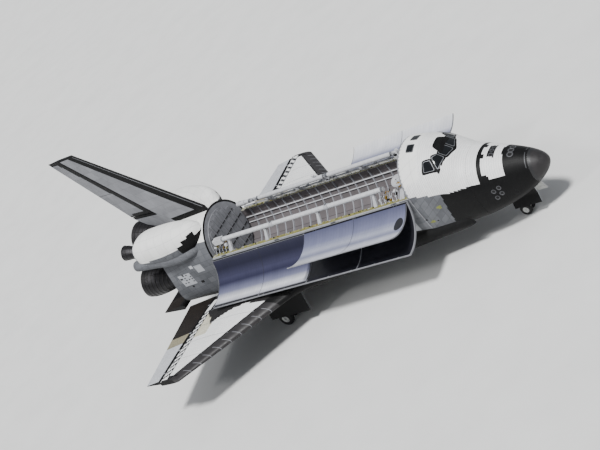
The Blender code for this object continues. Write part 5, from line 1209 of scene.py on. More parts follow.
@dataclass
class Aft:
    """The aft fuselage with its leaning base, the heat shield, vents and doors."""

    hull: Hull
    finishes: Finishes
    front: float = 27.08

    def leaned(self, grid: Array, share: Array) -> Array:
        """Moves points aft by the base's lean, in proportion to a share of the way to the base."""
        moved = grid.copy()
        moved[..., 0] += share[:, None] * self.hull.base_slope * (self.hull.crown - grid[..., 2])
        return moved

    def build(self) -> None:
        """The skin's rows lean more and more aft of station 29.5. The base is a fan in the last row."""
        rows = np.concatenate([rows_between(self.front, 29.5, 0.13)[:-1], rows_between(29.5, 31.3, 0.13)])
        share = np.clip((rows - 29.5) / 1.8, 0, 1)
        grid = self.leaned(self.hull.band(rows, 0, 2 * math.pi, 130), share)
        skin = Skin("aft_fuselage_skin", self.finishes(*HULL_COATS, "heat_shield", "engine_blanket", "liner_cloth"))
        skin.patch(grid, hull_coat(grid))
        rim = grid[0] * [1, 0.94, 0.94]
        skin.patch(np.stack([grid[0], rim]), Coat.BLACK).fill(rim, 7)
        steps = np.array([1.0, 0.985, 0.97, 0.6, 0.0])
        middle = grid[-1, :-1].mean(axis=0)
        base = middle + (grid[-1] - middle) * steps[:, None, None]
        base[1:, :, 0] += 0.015
        skin.patch(base, np.array([[5], [5], [6], [6]]), base[..., 1:])
        skin.build("airframe", "aft_fuselage", slot="white_blanket")
        patches = Skin("aft_side_fittings", self.finishes("machined_metal", "deep_shade", "pale_tile", "side_blanket"))
        panels = [(29.95, 31.15, -1.26, -0.20, 3)]
        vents = [(30.0 + 0.28 * a, 30.14 + 0.28 * a, -0.35 - 0.22 * b, -0.27 - 0.22 * b, 1) for a in range(4) for b in range(4) if (a * 5 + b * 3) % 7 > 1]
        panels += [(28.45, 29.15, -0.45, 0.20, 3), (29.25, 29.55, 0.05, 0.30, 2), (29.28, 29.56, -1.36, -1.16, 1)]
        panels += [(30.45, 30.60, -1.46, -1.36, 1), (30.6, 30.72, -0.30, -0.16, 1), (30.95, 31.1, -0.62, -0.46, 1)]
        for side, _, _ in SIDES:
            for s0, s1, z0, z1, finish in (*panels, *vents):
                lift = 0.010 if finish == 3 else 0.016
                s, z = np.meshgrid(np.linspace(s0, s1, 5), np.linspace(z0, z1, 4), indexing="ij")
                outer, inner = self.hull.side(s, z, lift), self.hull.side(s, z, -0.01)
                patches.slab(side_of(outer, side), side_of(inner, side), finish, finish, finish)
        patches.build("airframe", slot="bare_metal")


@dataclass
class Door:
    """A payload bay door, open, with its radiators."""

    hull: Hull
    finishes: Finishes
    hinge_y: float = 2.725
    hinge_z: float = 0.30
    hinge_stations: tuple[float, ...] = (9.99, 15.287, 20.583, 25.88)
    inner: float = 2.58
    outer: float = 2.69
    foot: float = math.radians(7.2)
    crest: float = math.radians(89.95)
    open_angle: float = math.radians(175.5)
    stations: tuple[float, float] = (8.81, 27.06)
    panel_inner: float = 2.5145
    panel_outer: float = 2.5745
    panel_foot: float = math.radians(9.5)
    panel_crest: float = math.radians(86.0)
    panel_hinge: tuple[float, float] = (2.5445, math.radians(8.2))
    deployed: float = math.radians(35.5)
    front_panel: tuple[float, float] = (8.89, 17.905)
    rear_panel: tuple[float, float] = (17.965, 26.98)
    rear_shift: float = 0.0052

    def arc(self, stations: Array, radius: float | Array, first: float, last: float, count: int) -> Array:
        """Rows of points on the port side: y and z are the radius times cosine and sine."""
        angle = np.linspace(first, last, count + 1)
        radius = np.broadcast_to(radius, angle.shape)
        y, z = radius * np.cos(angle), radius * np.sin(angle)
        return np.stack(np.broadcast_arrays(stations[:, None], y[None], z[None]), axis=-1)

    def opened(self, points: Array, side: int) -> Array:
        """Swings a shut port piece open and carries it to its side."""
        return side_of(turn_about(points, (0, self.hinge_y, self.hinge_z), (-1, 0, 0), -self.open_angle), side)

    def lifted(self, points: Array, side: int) -> Array:
        """Lifts a radiator off its shut door, then opens the door under it."""
        radius, angle = self.panel_hinge
        pivot = (0, radius * math.cos(angle), radius * math.sin(angle))
        return self.opened(turn_about(points, pivot, (-1, 0, 0), self.deployed), side)

    def build_leaf(self, side: int, label: str) -> None:
        """A curved slab with seams, seals, hinge arms, latch hooks and stiffeners on its inside."""
        rows = rows_between(*self.stations, 0.3)
        skin = Skin(f"payload_door_{label}_skin", self.finishes("felt_blanket", "door_lining", "liner_cloth", "machined_metal"))
        outer = self.opened(self.arc(rows, self.outer, self.foot, self.crest, 40), side)
        inner = self.opened(self.arc(rows, self.inner, self.foot, self.crest, 40), side)
        # The inside is painted near black, as the shade on the open door's inner face
        skin.slab(outer, inner, 0, 1, 2)
        fine = np.array([self.stations[0], self.stations[0] + 0.07])
        for start in (*(self.stations[0] + 4.56 * k for k in range(4)), self.stations[1] - 0.07):
            low = self.arc(fine - self.stations[0] + start, self.inner - 0.003, self.foot + 0.02, self.crest, 24)
            high = self.arc(fine - self.stations[0] + start, self.inner + 0.001, self.foot + 0.02, self.crest, 24)
            skin.slab(self.opened(low, side), self.opened(high, side), 2, 2, 2)
        for station in self.hinge_stations:
            for way in (-1, 1):
                ends = np.array([(station + way * 0.1004, self.hinge_y, self.hinge_z), (station + way * 0.20, self.hinge_y, self.hinge_z)])
                skin.tube(self.opened(ends, side), 0.034, 3, 10)
                low = np.array([[station + way * 0.15 - 0.03, 2.63, 0.33], [station + way * 0.15 + 0.03, 2.63, 0.33]])
                plate = np.stack([low, low + [0, 0.07, -0.02]], axis=0)
                skin.slab(self.opened(plate, side), self.opened(plate + [0, 0.012, 0.035], side), 3, 3, 3)
        for station in rows_between(self.stations[0] + 1.0, self.stations[1] - 1.0, 2.0):
            hook = self.arc(np.array([station - 0.06, station + 0.06]), self.inner - 0.02, math.radians(88.2), self.crest, 3)
            back = self.arc(np.array([station - 0.06, station + 0.06]), self.inner + 0.01, math.radians(88.2), self.crest, 3)
            skin.slab(self.opened(hook, side), self.opened(back, side), 3, 3, 3)
        skin.build(f"door_{label}", f"payload_door_{label}", slot="white_blanket")

    def panel(self, name: str, span: tuple[float, float], shift: float, carry: object, side: int, finish: str) -> Skin:
        """A radiator: a silvered sheet on both faces, with a thin dark joint at its middle and its edges."""
        rows = rows_between(*span, 0.3)
        skin = Skin(name, self.finishes(finish, "felt_blanket", "liner_cloth", "machined_metal", "seam_black"))
        radius = self.panel_inner + shift
        inner = self.arc(rows, radius, self.panel_foot, self.panel_crest, 36)
        outer = self.arc(rows, self.panel_outer + shift, self.panel_foot, self.panel_crest, 36)
        skin.slab(carry(inner, side), carry(outer, side), 0, 0, 2)
        for start in (span[0] + 0.01, (span[0] + span[1]) / 2 - 0.02, span[1] - 0.04):
            stations = np.array([start, start + 0.03])
            low = self.arc(stations, radius - 0.005, self.panel_foot, self.panel_crest, 30)
            high = self.arc(stations, radius + 0.002, self.panel_foot, self.panel_crest, 30)
            skin.slab(carry(low, side), carry(high, side), 4, 4, 4)
        return skin

    def build_panels(self, side: int, label: str) -> None:
        """The front radiator stands off its door. The rear one lies on it."""
        front = self.panel(f"radiator_forward_{label}_panel", self.front_panel, 0.0, self.lifted, side, "radiator_front")
        hinge = self.panel_hinge
        for station in (9.79, 13.34, 16.89):
            for way in (-1, 1):
                y, z = hinge[0] * math.cos(hinge[1]), hinge[0] * math.sin(hinge[1])
                ends = np.array([(station + way * 0.081, y, z), (station + way * 0.16, y, z)])
                front.tube(self.lifted(ends, side), 0.022, 3, 8)
        # On the starboard front film, a dark oval painted as the dish antenna's reflection
        if side == STARBOARD:
            turn = np.linspace(0, 2 * math.pi, 33)
            size = np.array([[0.0], [1.0]])
            station, arc = 9.36 + 0.36 * size * np.cos(turn), math.radians(40) + 0.20 * size * np.sin(turn)
            radius = self.panel_inner - 0.004
            dish_reflection = np.stack([station, radius * np.cos(arc), radius * np.sin(arc)], axis=-1)
            front.patch(self.lifted(dish_reflection, side), 4)
        front.build(f"radiator_{label}", f"radiator_forward_{label}", slot="radiator_silver")
        rear = self.panel(f"radiator_aft_{label}_panel", self.rear_panel, self.rear_shift, self.opened, side, "radiator_rear")
        rear.build(f"door_{label}", f"radiator_aft_{label}", slot="radiator_silver")

    def build(self) -> None:
        """Builds both doors."""
        for side, label, _ in SIDES:
            self.build_leaf(side, label)
            self.build_panels(side, label)


@dataclass
class Wing:
    """Wings: glove, carbon leading edge, tiled skins, wheel wells and elevons."""

    finishes: Finishes
    kink_station: float = 19.76
    kink: float = 4.52
    glove: float = math.radians(81)
    sweep: float = math.radians(45)
    blend: float = 0.55
    trail: float = 32.75
    trail_sweep: float = math.radians(10.06)
    dihedral: float = math.radians(3.5)
    root: float = 2.67
    root_height: float = -2.97
    root_thick: float = 1.52
    tip_thick: float = 0.36
    upper: float = 0.62
    half_span: float = 11.895
    inboard: float = 2.30
    edge_depth: float = 0.62
    hinge: float = 29.24
    gap: float = 0.012
    inner: float = 2.99
    split: float = 7.93
    outer: float = 11.72
    side_gap: float = 0.02
    well: tuple[float, float, float, float, float] = (20.55, 24.40, 2.75, 4.20, -2.62)
    strip: tuple[float, float] = (28.32, 28.86)
    # Reach of the open door's shadow across the inner wing, by station, painted as dark tile
    door_shadow_stations: tuple[float, ...] = (19.0, 22.4, 24.2, 25.3, 26.1, 26.7, 27.1, 27.5, 28.4)
    door_shadow_reach: tuple[float, ...] = (6.3, 5.8, 5.65, 5.85, 6.2, 6.5, 6.9, 6.0, 5.3)
    dark_edge: float = 5.85

    def leading(self, y: Array) -> Array:
        """Station of the leading edge: two straight sweeps, joined by a quadratic curve at the kink."""
        y = np.asarray(y, float)
        glove = self.kink_station - (self.kink - y) * math.tan(self.glove)
        outer = self.kink_station + (y - self.kink) * math.tan(self.sweep)
        share = np.clip((y - self.kink + self.blend) / (2 * self.blend), 0, 1)
        start = self.kink_station - self.blend * math.tan(self.glove)
        end = self.kink_station + self.blend * math.tan(self.sweep)
        curve = (1 - share) ** 2 * start + 2 * share * (1 - share) * self.kink_station + share**2 * end
        return np.where(share <= 0, glove, np.where(share >= 1, outer, curve))

    def trailing(self, y: Array) -> Array:
        """Station of the trailing edge."""
        return self.trail - np.asarray(y, float) * math.tan(self.trail_sweep)

    def middle(self, y: Array) -> Array:
        """Height that the section's thickness is set about, which climbs with the dihedral."""
        return self.root_height + (np.asarray(y, float) - self.root) * math.tan(self.dihedral)

    def half(self, station: Array, y: Array) -> Array:
        """Section thickness: a round-nosed aerofoil's polynomial in the share of the chord, tapered to the tip."""
        s = np.clip((station - self.leading(y)) / (self.trailing(y) - self.leading(y)), 0, 1)
        shape = (0.2969 * np.sqrt(s) - 0.1260 * s - 0.3516 * s**2 + 0.2843 * s**3 - 0.1026 * s**4) / 0.10003
        thick = self.root_thick + (self.tip_thick - self.root_thick) * (y - self.root) / (self.half_span - self.root)
        return shape * thick + 0.012

    def surface(self, station: Array, y: Array, top: bool, out: float | Array = 0.0) -> Array:
        """Points of the upper or lower surface."""
        station, y = np.broadcast_arrays(station, y)
        share, sign = (self.upper, 1) if top else (1 - self.upper, -1)
        height = self.middle(y) + sign * (share * self.half(station, y) + out)
        return np.stack([station, y, height], axis=-1)

    def edge_back(self, y: Array) -> Array:
        """Where the carbon edge ends. It is deeper along the glove."""
        y = np.asarray(y, float)
        return self.leading(y) + self.edge_depth * np.where(y < self.kink + 0.6, 1.5, 1.0)

    def hinge_line(self, y: Array) -> tuple[Array, Array]:
        """Radius and height of the hinge, each straight between the elevons' ends."""
        ends = np.array([self.inner, self.split, self.outer])
        low = self.surface(self.hinge, ends, False)[:, 2]
        high = self.surface(self.hinge, ends, True)[:, 2]
        both = np.stack([(high - low) / 2, (high + low) / 2])
        y = np.asarray(y, float)
        slope = np.diff(both) / np.diff(ends)
        pick = (y >= self.split).astype(int)
        values = both[:, pick] + slope[:, pick] * (y - ends[pick])
        return values[0], values[1]

    def span(self) -> Array:
        """Places along the span: closer where the edge curves and at the elevons' ends."""
        return np.concatenate([np.linspace(self.inboard, 3.9, 12)[:-1], np.linspace(3.9, 5.2, 14)[:-1], np.linspace(5.2, self.half_span, 48)])

    def loop(self, y: Array, front: Array, back: Array, count: int) -> Array:
        """Rows round the section, from the back of the underside round the front to the back of the top.

        Stations go from front to back with the share to the power of 1.6, which crowds the front.
        """
        share = np.linspace(0, 1, count + 1) ** 1.6
        station = front[:, None] + (back - front)[:, None] * share
        lower = self.surface(station, y[:, None], False)[:, ::-1]
        upper = self.surface(station, y[:, None], True)
        return np.concatenate([lower, upper], axis=1)

    def build_panel(self, side: int, label: str) -> None:
        """The wing behind the carbon edge: white above with the open door's shadow painted dark inboard, black below
        and behind the edge, and the wheel well.
        """
        y = self.span()
        radius, _ = self.hinge_line(y)
        back = self.hinge - radius - self.gap
        grid = self.loop(y, self.edge_back(y), back, 74)
        station, across, _ = centres(grid)
        behind = station - self.edge_back(across)
        finish = np.full(station.shape, 0)
        # Inboard of this reach the wing is painted dark as the door's shadow
        shade = np.interp(station, self.door_shadow_stations, self.door_shadow_reach)
        finish[across < shade] = 4
        cream = (station > 26.9) & (station < 28.3) & (across > shade) & (across < 7.7)
        finish[cream] = 2
        finish[:, :75] = 1
        grey = (behind < 0.36) | ((across > self.half_span - 0.34) & (station < 28.9))
        finish[:, 75:] = np.where(grey & (across > self.dark_edge), 5, finish)[:, 75:]
        rim = (behind > 0.36) & (behind < 0.50) | (across > self.half_span - 0.46) & (across < self.half_span - 0.34)
        finish = np.where(rim | (behind < 0.36) & (across <= self.dark_edge) | (station > self.hinge - radius[:-1, None] - 0.13), 1, finish)
        names = ("white_tile", "black_tile", "cream_tile", "heat_shield", "smoke_tile", "carbon_shell")
        skin = Skin(f"wing_{label}_skin", self.finishes(*names))
        grid = side_of(grid, side)
        skin.patch(grid, finish).fill(np.concatenate([grid[0], grid[0][:1]]), 1).fill(np.concatenate([grid[-1], grid[-1][:1]]), 1)
        skin.patch(np.stack([grid[:, 0], grid[:, -1]], axis=1), 3)
        front, rear, near, far, roof = self.well
        low, high = sorted((side * near, side * far))
        hole = Skin("well", self.finishes("frame_paint")).block((front, low, -4.5), (rear, high, roof))
        skin.build("airframe", f"wing_{label}", slot="white_blanket", cutters=(cutter(hole),))
        self.build_marks(side, label)

    def build_marks(self, side: int, label: str) -> None:
        """The seal strip ahead of the elevons: a pale band with slanting dark ticks between two dark lines."""
        skin = Skin(f"wing_{label}_trim", self.finishes("white_tile", "seam_black", "side_blanket"))
        front, back = self.strip

        def band(y: Array, start: Array, end: Array, lift: float, finish: int) -> None:
            """A thin raised sheet on the upper skin, between two stations for each place along the span."""
            station = np.stack([start, (start + end) / 2, end], axis=1)
            across = np.broadcast_to(y[:, None], station.shape)
            sheets = [side_of(self.surface(station, across, True, out), side) for out in (lift, -0.01)]
            skin.slab(*sheets, finish, finish, finish)

        y = np.linspace(3.6, 11.75, 70)
        near, far = np.full(len(y), front), np.full(len(y), back)
        band(y, near, far, 0.006, 0)
        band(y, near - 0.07, near, 0.009, 1)
        for start in np.arange(4.9, 11.2, 0.48):
            steps = np.linspace(0, 1, 4)
            station = front + (back - front) * steps
            across = start + 0.32 * steps
            for k in range(3):
                y = np.linspace(across[k], across[k] + 0.23, 2)
                band(y, np.full(2, station[k]), np.full(2, station[k + 1]), 0.010, 1)
        for y in (5.0, 6.6, 8.2, 9.8):
            start = float(self.edge_back(np.array(y))) + 0.3
            station = np.linspace(start, front - 0.1, 40)
            sheets = [
                side_of(self.surface(station[:, None], y + np.array([[0.0, 0.02]]), True, out), side) for out in (0.004, -0.01)
            ]
            skin.slab(*sheets, 2, 2, 2)
        skin.build("airframe", slot="white_blanket")

    def build_edge(self, side: int, label: str) -> None:
        """Carbon shells of about 0.5 m with a T-seal between each pair, which stands a little proud."""
        y = self.span()
        grid = self.loop(y, self.leading(y), self.edge_back(y), 12)
        skin = Skin(f"leading_edge_{label}_shells", self.finishes("carbon_shell", "liner_cloth", "black_tile"))
        coat = np.where(centres(grid)[1] > self.dark_edge, 0, 2)
        grid = side_of(grid, side)
        skin.patch(grid, coat).fill(np.concatenate([grid[0], grid[0][:1]]), 0).fill(np.concatenate([grid[-1], grid[-1][:1]]), 0)
        skin.patch(np.stack([grid[:, 0], grid[:, -1]], axis=1), 1)
        run = lengths(np.stack([self.leading(y), y], axis=-1)[:, None], 0)[:, 0]
        for place in np.arange(0.6, run[-1] - 0.2, 0.85):
            centre = np.interp(place + np.array([-0.02, 0.02]), run, y)
            ring = self.loop(centre, self.leading(centre), self.edge_back(centre), 10)
            middle = np.stack([self.edge_back(centre), centre, self.middle(centre)], axis=-1)[:, None]
            proud = middle + (ring - middle) * (1 + 0.010 / 0.5)
            proud[:, 0], proud[:, -1] = ring[:, 0], ring[:, -1]
            seal = 1 if centre[0] > self.dark_edge else 2
            skin.slab(side_of(proud, side), side_of(ring - (ring - middle) * 0.01, side), seal, seal, seal)
        skin.build("airframe", f"leading_edge_{label}", slot="carbon_edge")

    def build_elevon(self, side: int, word: str, label: str, kind: str, inner: float, outer: float) -> None:
        """A round nose about the hinge line, with flat skins back to a blunt trailing edge."""
        y = np.linspace(inner, outer, round((outer - inner) / 0.15) + 1)
        radius, height = self.hinge_line(y)
        turn = np.linspace(math.pi / 2, 3 * math.pi / 2, 15)
        nose = np.stack(np.broadcast_arrays(self.hinge + radius[:, None] * np.cos(turn), y[:, None], height[:, None] + radius[:, None] * np.sin(turn)), axis=-1)
        trail = self.trailing(y)
        middle = self.middle(y) + (2 * self.upper - 1) / 2 * 0.012
        share = np.linspace(0, 1, 20)[:, None, None]
        low_end = np.stack([trail, y, middle - 0.02], axis=-1)
        high_end = np.stack([trail, y, middle + 0.02], axis=-1)
        lower = nose[:, -1] + (low_end - nose[:, -1]) * share[1:]
        upper = high_end + (nose[:, 0] - high_end) * share
        loop = np.concatenate([nose, lower[:, :].transpose(1, 0, 2), upper.transpose(1, 0, 2)], axis=1)
        station, across, level = centres(loop)
        top = np.zeros(station.shape, bool)
        top[:, -19:] = True
        if kind == "inboard":
            finish = np.where(top, np.where(across < 6.87, 1, 2), 3)
        else:
            finish = np.where(top, 0, 3)
        finish = np.where(top & (station < self.hinge + 0.10), 3, finish)
        skin = Skin(f"elevon_{kind}_{label}_skin", self.finishes("pale_tile", "brown_tile", "tan_tile", "black_tile"))
        skin.shell(side_of(loop, side), finish, cap=3)
        slots = []
        for share in (0.2, 0.8):
            place = inner + (outer - inner) * share
            r, h = (float(v) for v in self.hinge_line(np.array(place)))
            hole = Skin("lug_slot", self.finishes("dark_metal"))
            hole.block((self.hinge - 1.0, side * place - 0.0603, h - 1.0), (self.hinge + r * 0.6 + 0.01, side * place + 0.0603, h + 1.0))
            slots.append(cutter(hole))
        skin.build(f"elevon_{kind}_{word}", f"elevon_{kind}_{label}", slot="white_blanket", cutters=tuple(slots))

    def build_lugs(self) -> None:
        """Discs and plates that carry the elevons, one pair to each."""
        skin = Skin("elevon_lugs", self.finishes("dark_metal"))
        for side, _, _ in SIDES:
            for inner, outer in ((self.inner, self.split - self.side_gap), (self.split, self.outer)):
                for share in (0.2, 0.8):
                    y = inner + (outer - inner) * share
                    r, h = (float(v) for v in self.hinge_line(np.array(y)))
                    skin.turned((self.hinge, side * y - 0.045, h), (0, 1, 0), [(0, 0), (0, 0.58 * r), (0.09, 0.58 * r), (0.09, 0)], sides=20)
                    skin.block((self.hinge - r - 0.15, side * y - 0.035, h - 0.4 * r), (self.hinge, side * y + 0.035, h + 0.4 * r))
        skin.build("airframe", slot="bare_metal")

    def build(self) -> None:
        """Builds both wings and the four elevons."""
        for side, label, word in SIDES:
            self.build_panel(side, label)
            self.build_edge(side, label)
            self.build_elevon(side, word, label, "inboard", self.inner, self.split - self.side_gap)
            self.build_elevon(side, word, label, "outboard", self.split, self.outer)
        self.build_lugs()


@dataclass
class BodyFlap:
    """The flap under the engines: black tile with a worn edge."""

    finishes: Finishes
    hinge: float = 32.86
    height: float = -2.86
    radius: float = 0.19
    chord: float = 2.06
    half_span: float = 3.05
    lugs: tuple[float, ...] = (-1.9, 0.0, 1.9)
    lug_radius: float = 0.13

    def build(self) -> None:
        """A round nose about the hinge, and flat skins to a blunt edge 60 mm thick."""
        y = np.linspace(-self.half_span, self.half_span, 42)
        turn = np.linspace(math.pi / 2, 3 * math.pi / 2, 15)
        section = [(self.hinge + self.radius * math.cos(a), self.height + self.radius * math.sin(a)) for a in turn]
        share = np.linspace(0, 1, 14)[1:]
        low = [(self.hinge + self.chord * s, self.height - self.radius + (self.radius - 0.03) * s) for s in share]
        high = [(self.hinge + self.chord * s, self.height + self.radius - (self.radius - 0.03) * s) for s in (*share[::-1], 0)]
        outline = np.array([*section, *low, *high])
        grid = np.stack(np.broadcast_arrays(outline[:, 0], y[:, None], outline[:, 1]), axis=-1)
        skin = Skin("body_flap_skin", self.finishes("black_tile", "brown_tile"))
        station, _, level = centres(grid)
        skin.shell(grid, np.where((level > self.height + 0.02) & (station > self.hinge + 0.3), 1, 0))
        slots = []
        for y in self.lugs:
            hole = Skin("lug_slot", self.finishes("dark_metal"))
            low_corner = (self.hinge - 1, y - 0.0603, self.height - 1)
            hole.block(low_corner, (self.hinge + self.lug_radius + 0.01, y + 0.0603, self.height + 1))
            slots.append(cutter(hole))
        skin.build("flap", "body_flap", slot="black_tile", cutters=tuple(slots))
        stays = Skin("body_flap_lugs", self.finishes("dark_metal"))
        for y in self.lugs:
            stays.turned((self.hinge, y - 0.055, self.height), (0, 1, 0), [(0, 0), (0, 0.126), (0.11, 0.126), (0.11, 0)], sides=20)
            stays.block((self.hinge - 0.5, y - 0.055, self.height - 0.1), (self.hinge, y + 0.055, self.height + 0.1))
        stays.build("airframe", slot="bare_metal")


@dataclass
class Fin:
    """The vertical fin and its split rudder."""

    finishes: Finishes
    lead_root: float = 26.53
    root: float = 2.62
    tip: float = 10.57
    root_chord: float = 6.82
    tip_chord: float = 2.76
    hinge_share: float = 0.60
    wedge: float = math.tan(math.radians(4.6))
    bottom: float = 4.10
    top: float = 10.30
    foot_gap: float = 0.07
    gap: float = 0.012
    foot_break: float = 31.2
    foot_rise: float = 0.36
    bay_back: float = 27.08

    band_heights: tuple[float, ...] = (2.3, 4.5, 10.2)
    band_widths: tuple[float, ...] = (1.0, 1.0, 0.66)

    def chord(self, z: Array) -> tuple[Array, Array, Array]:
        """Stations of the leading edge, the hinge and the trailing edge at a height."""
        z = np.asarray(z, float)
        lead = self.lead_root + (z - self.root)
        chord = self.root_chord + (self.tip_chord - self.root_chord) * (z - self.root) / (self.tip - self.root)
        return lead, lead + self.hinge_share * chord, lead + chord

    def half_at(self, station: Array, z: Array) -> Array:
        """Half thickness: a round nose, a straight wedge to the hinge, and a taper behind it."""
        lead, hinge, trail = self.chord(z)
        ahead = station - lead
        nose = 0.09 * np.sqrt(np.clip(ahead / 0.12, 0, 1))
        slope = ((hinge - lead) * self.wedge - 0.09) / (hinge - lead - 0.12)
        wedge = 0.09 + np.clip(ahead - 0.12, 0, None) * slope
        behind = (hinge - lead) * self.wedge * (trail - station) / (trail - hinge)
        return np.where(ahead < 0.12, nose, np.where(station < hinge, wedge, np.maximum(behind, 0.02)))

    def loops(self, rows: list[tuple[float, float, float]]) -> Array:
        """Closed loops round the fin, one for each row.

        Each loop runs from the back of the starboard face round the leading edge to the back of the
        port face. Its points up to the hinge keep their shares of the way in every row. Its last
        points go on to the row's own back, and in the blade's rows they all lie at the hinge.

        Args:
            rows: Height, metres from the hinge's edge to the back, and rise for each metre aft of the foot's break.

        Returns:
            A grid of loops.
        """
        z, behind, rise = np.array(rows).T
        lead, hinge, _ = self.chord(z)
        band = lead + np.interp(z, self.band_heights, self.band_widths)
        edge = lead[:, None] + (band - lead)[:, None] * np.array([*np.linspace(0, 0.4, 9)[:-1] ** 2, 0.16, 0.22, 0.4, 0.6, 0.8, 1])
        end = hinge - self.gap
        flat = band[:, None] + (end - 0.16 - band)[:, None] * np.linspace(0, 1, 30)[1:]
        front = np.concatenate([edge, flat, end[:, None]], axis=1)
        back = (hinge - self.gap)[:, None] + behind[:, None] * np.linspace(0, 1, 17)[1:]
        station = np.concatenate([front, back], axis=1)
        y = self.half_at(station, z[:, None])
        height = z[:, None] + rise[:, None] * np.clip(station - self.foot_break, 0, None)
        right, left = (np.stack([station, way * y, height], axis=-1) for way in (-1, 1))
        return np.concatenate([right[:, ::-1], left[:, 1:], right[:, -1:]], axis=1)

    def coats(self, station: Array, z: Array) -> Array:
        """Felt painted grey for shade, with black tile along the leading edge, the hinge, the foot and the tip.

        The edge's black band is about a metre wide at the root and narrows upwards, with a thin grey
        line near its front.
        """
        lead, hinge, _ = self.chord(z)
        behind = station - lead
        finish = np.zeros(station.shape, int)
        share = behind / np.interp(z, self.band_heights, self.band_widths)
        finish = np.where(share < 1, 1, finish)
        finish = np.where((share > 0.16) & (share < 0.22) & (z > 3.0), 0, finish)
        finish = np.where(station > hinge - 0.16, 1, finish)
        finish = np.where((z < self.bottom) & (station > hinge - 0.16), 0, finish)
        finish = np.where((z > 3.75) & (z < self.bottom) & (station > hinge - 0.2), 1, finish)
        finish = np.where((z < 2.95) & (station < 30.2) & (behind > 0.3), 1, finish)
        return np.where(z > self.tip - 0.10, 1, finish)

    def build(self) -> None:
        """Builds the fin's foot, blade and cap as one closed shell, then the rudder halves."""
        seat, cap = self.bottom - self.foot_gap, self.top + self.gap

        def full(z: float, short: float = 0.0, rise: float = 0.0) -> tuple[float, float, float]:
            """A row that goes back to the trailing edge, or to short of it."""
            _, hinge, trail = self.chord(z)
            return (z, float(trail - short - hinge + self.gap), rise)

        rows = [full(2.30, 0.35, self.foot_rise), full(3.1, 0.35), full(3.6, 0.1), full(3.8), full(seat)]
        rows += [(z, 0.0, 0.0) for z in np.linspace(seat, cap, 48)]
        rows += [full(cap), full(self.tip - 0.12), full(self.tip)]
        grid = self.loops(rows)
        skin = Skin("vertical_fin_skin", self.finishes("fin_blanket", "black_tile", "machined_metal", "frame_paint"))
        station, _, height = centres(grid)
        skin.shell(grid, self.coats(station, height), cap=1)
        doors = Skin("doors", self.finishes("black_tile")).block((self.bay_back - 4, -1, 1.5), (self.bay_back + 0.004, 1, 3.65))
        skin.build("airframe", "vertical_fin", slot="white_blanket", cutters=(cutter(doors),))
        knuckles = Skin("rudder_knuckles", self.finishes("dark_metal"))
        for side, label, word in SIDES:
            self.build_half(side, label, word)
            for z in (5.0, 7.2, 9.4):
                ends = []
                for height in (z - 0.12, z + 0.12):
                    lead, hinge, _ = self.chord(height)
                    ends.append((float(hinge), side * float((hinge - lead) * self.wedge), height))
                knuckles.tube(ends, 0.034, 0, 12)
        knuckles.build("airframe", slot="bare_metal")

    def build_half(self, side: int, label: str, word: str) -> None:
        """Half a wedge: the outer face carries on from the fin's, and the front slants in behind the hinge."""
        z = np.sort(np.concatenate([np.linspace(self.bottom, self.top, 42), [6.605, 6.635]]))
        lead, hinge, trail = self.chord(z)
        half = (hinge - lead) * self.wedge
        bevel = half * math.tan(math.radians(52))
        corners = [(hinge + 0.006, half - 0.001), (hinge + bevel, 0.004 + 0 * z), (trail, 0.004 + 0 * z), (trail, 0.030 + 0 * z)]
        share = np.linspace(0, 1, 17)[:-1, None]
        sides = []
        for k in range(4):
            (s0, y0), (s1, y1) = corners[k], corners[(k + 1) % 4]
            steps = share if k in (1, 3) else share[::8]
            sides.append(np.stack([s0 + (s1 - s0) * steps, y0 + (y1 - y0) * steps, np.broadcast_to(z, (len(steps), len(z)))], axis=-1))
        loop = np.concatenate([*sides, sides[0][:1]], axis=0).transpose(1, 0, 2)
        station, across, height = centres(loop)
        behind = station - np.interp(height, z, hinge)
        finish = np.where((behind < 0.42) | (height < self.bottom + 0.34 - 0.06 * behind), 1, 0)
        finish = np.where(np.abs(height - 6.62) < 0.02, 1, finish)
        # The rudder's faces take the fin's felt, painted grey for shade
        skin = Skin(f"rudder_{label}_skin", self.finishes("fin_blanket", "black_tile"))
        skin.shell(side_of(loop, side), finish, cap=1)
        holes = []
        for level in (5.0, 7.2, 9.4):
            ends = []
            for edge in (level - 0.1203, level + 0.1203):
                a, b, _ = self.chord(edge)
                ends.append((float(b), side * float((b - a) * self.wedge), edge))
            holes.append(cutter(Skin("notch", self.finishes("dark_metal")).tube(ends, 0.039, 0, 12)))
        skin.build(f"rudder_{word}", f"rudder_{label}", slot="white_blanket", cutters=tuple(holes))


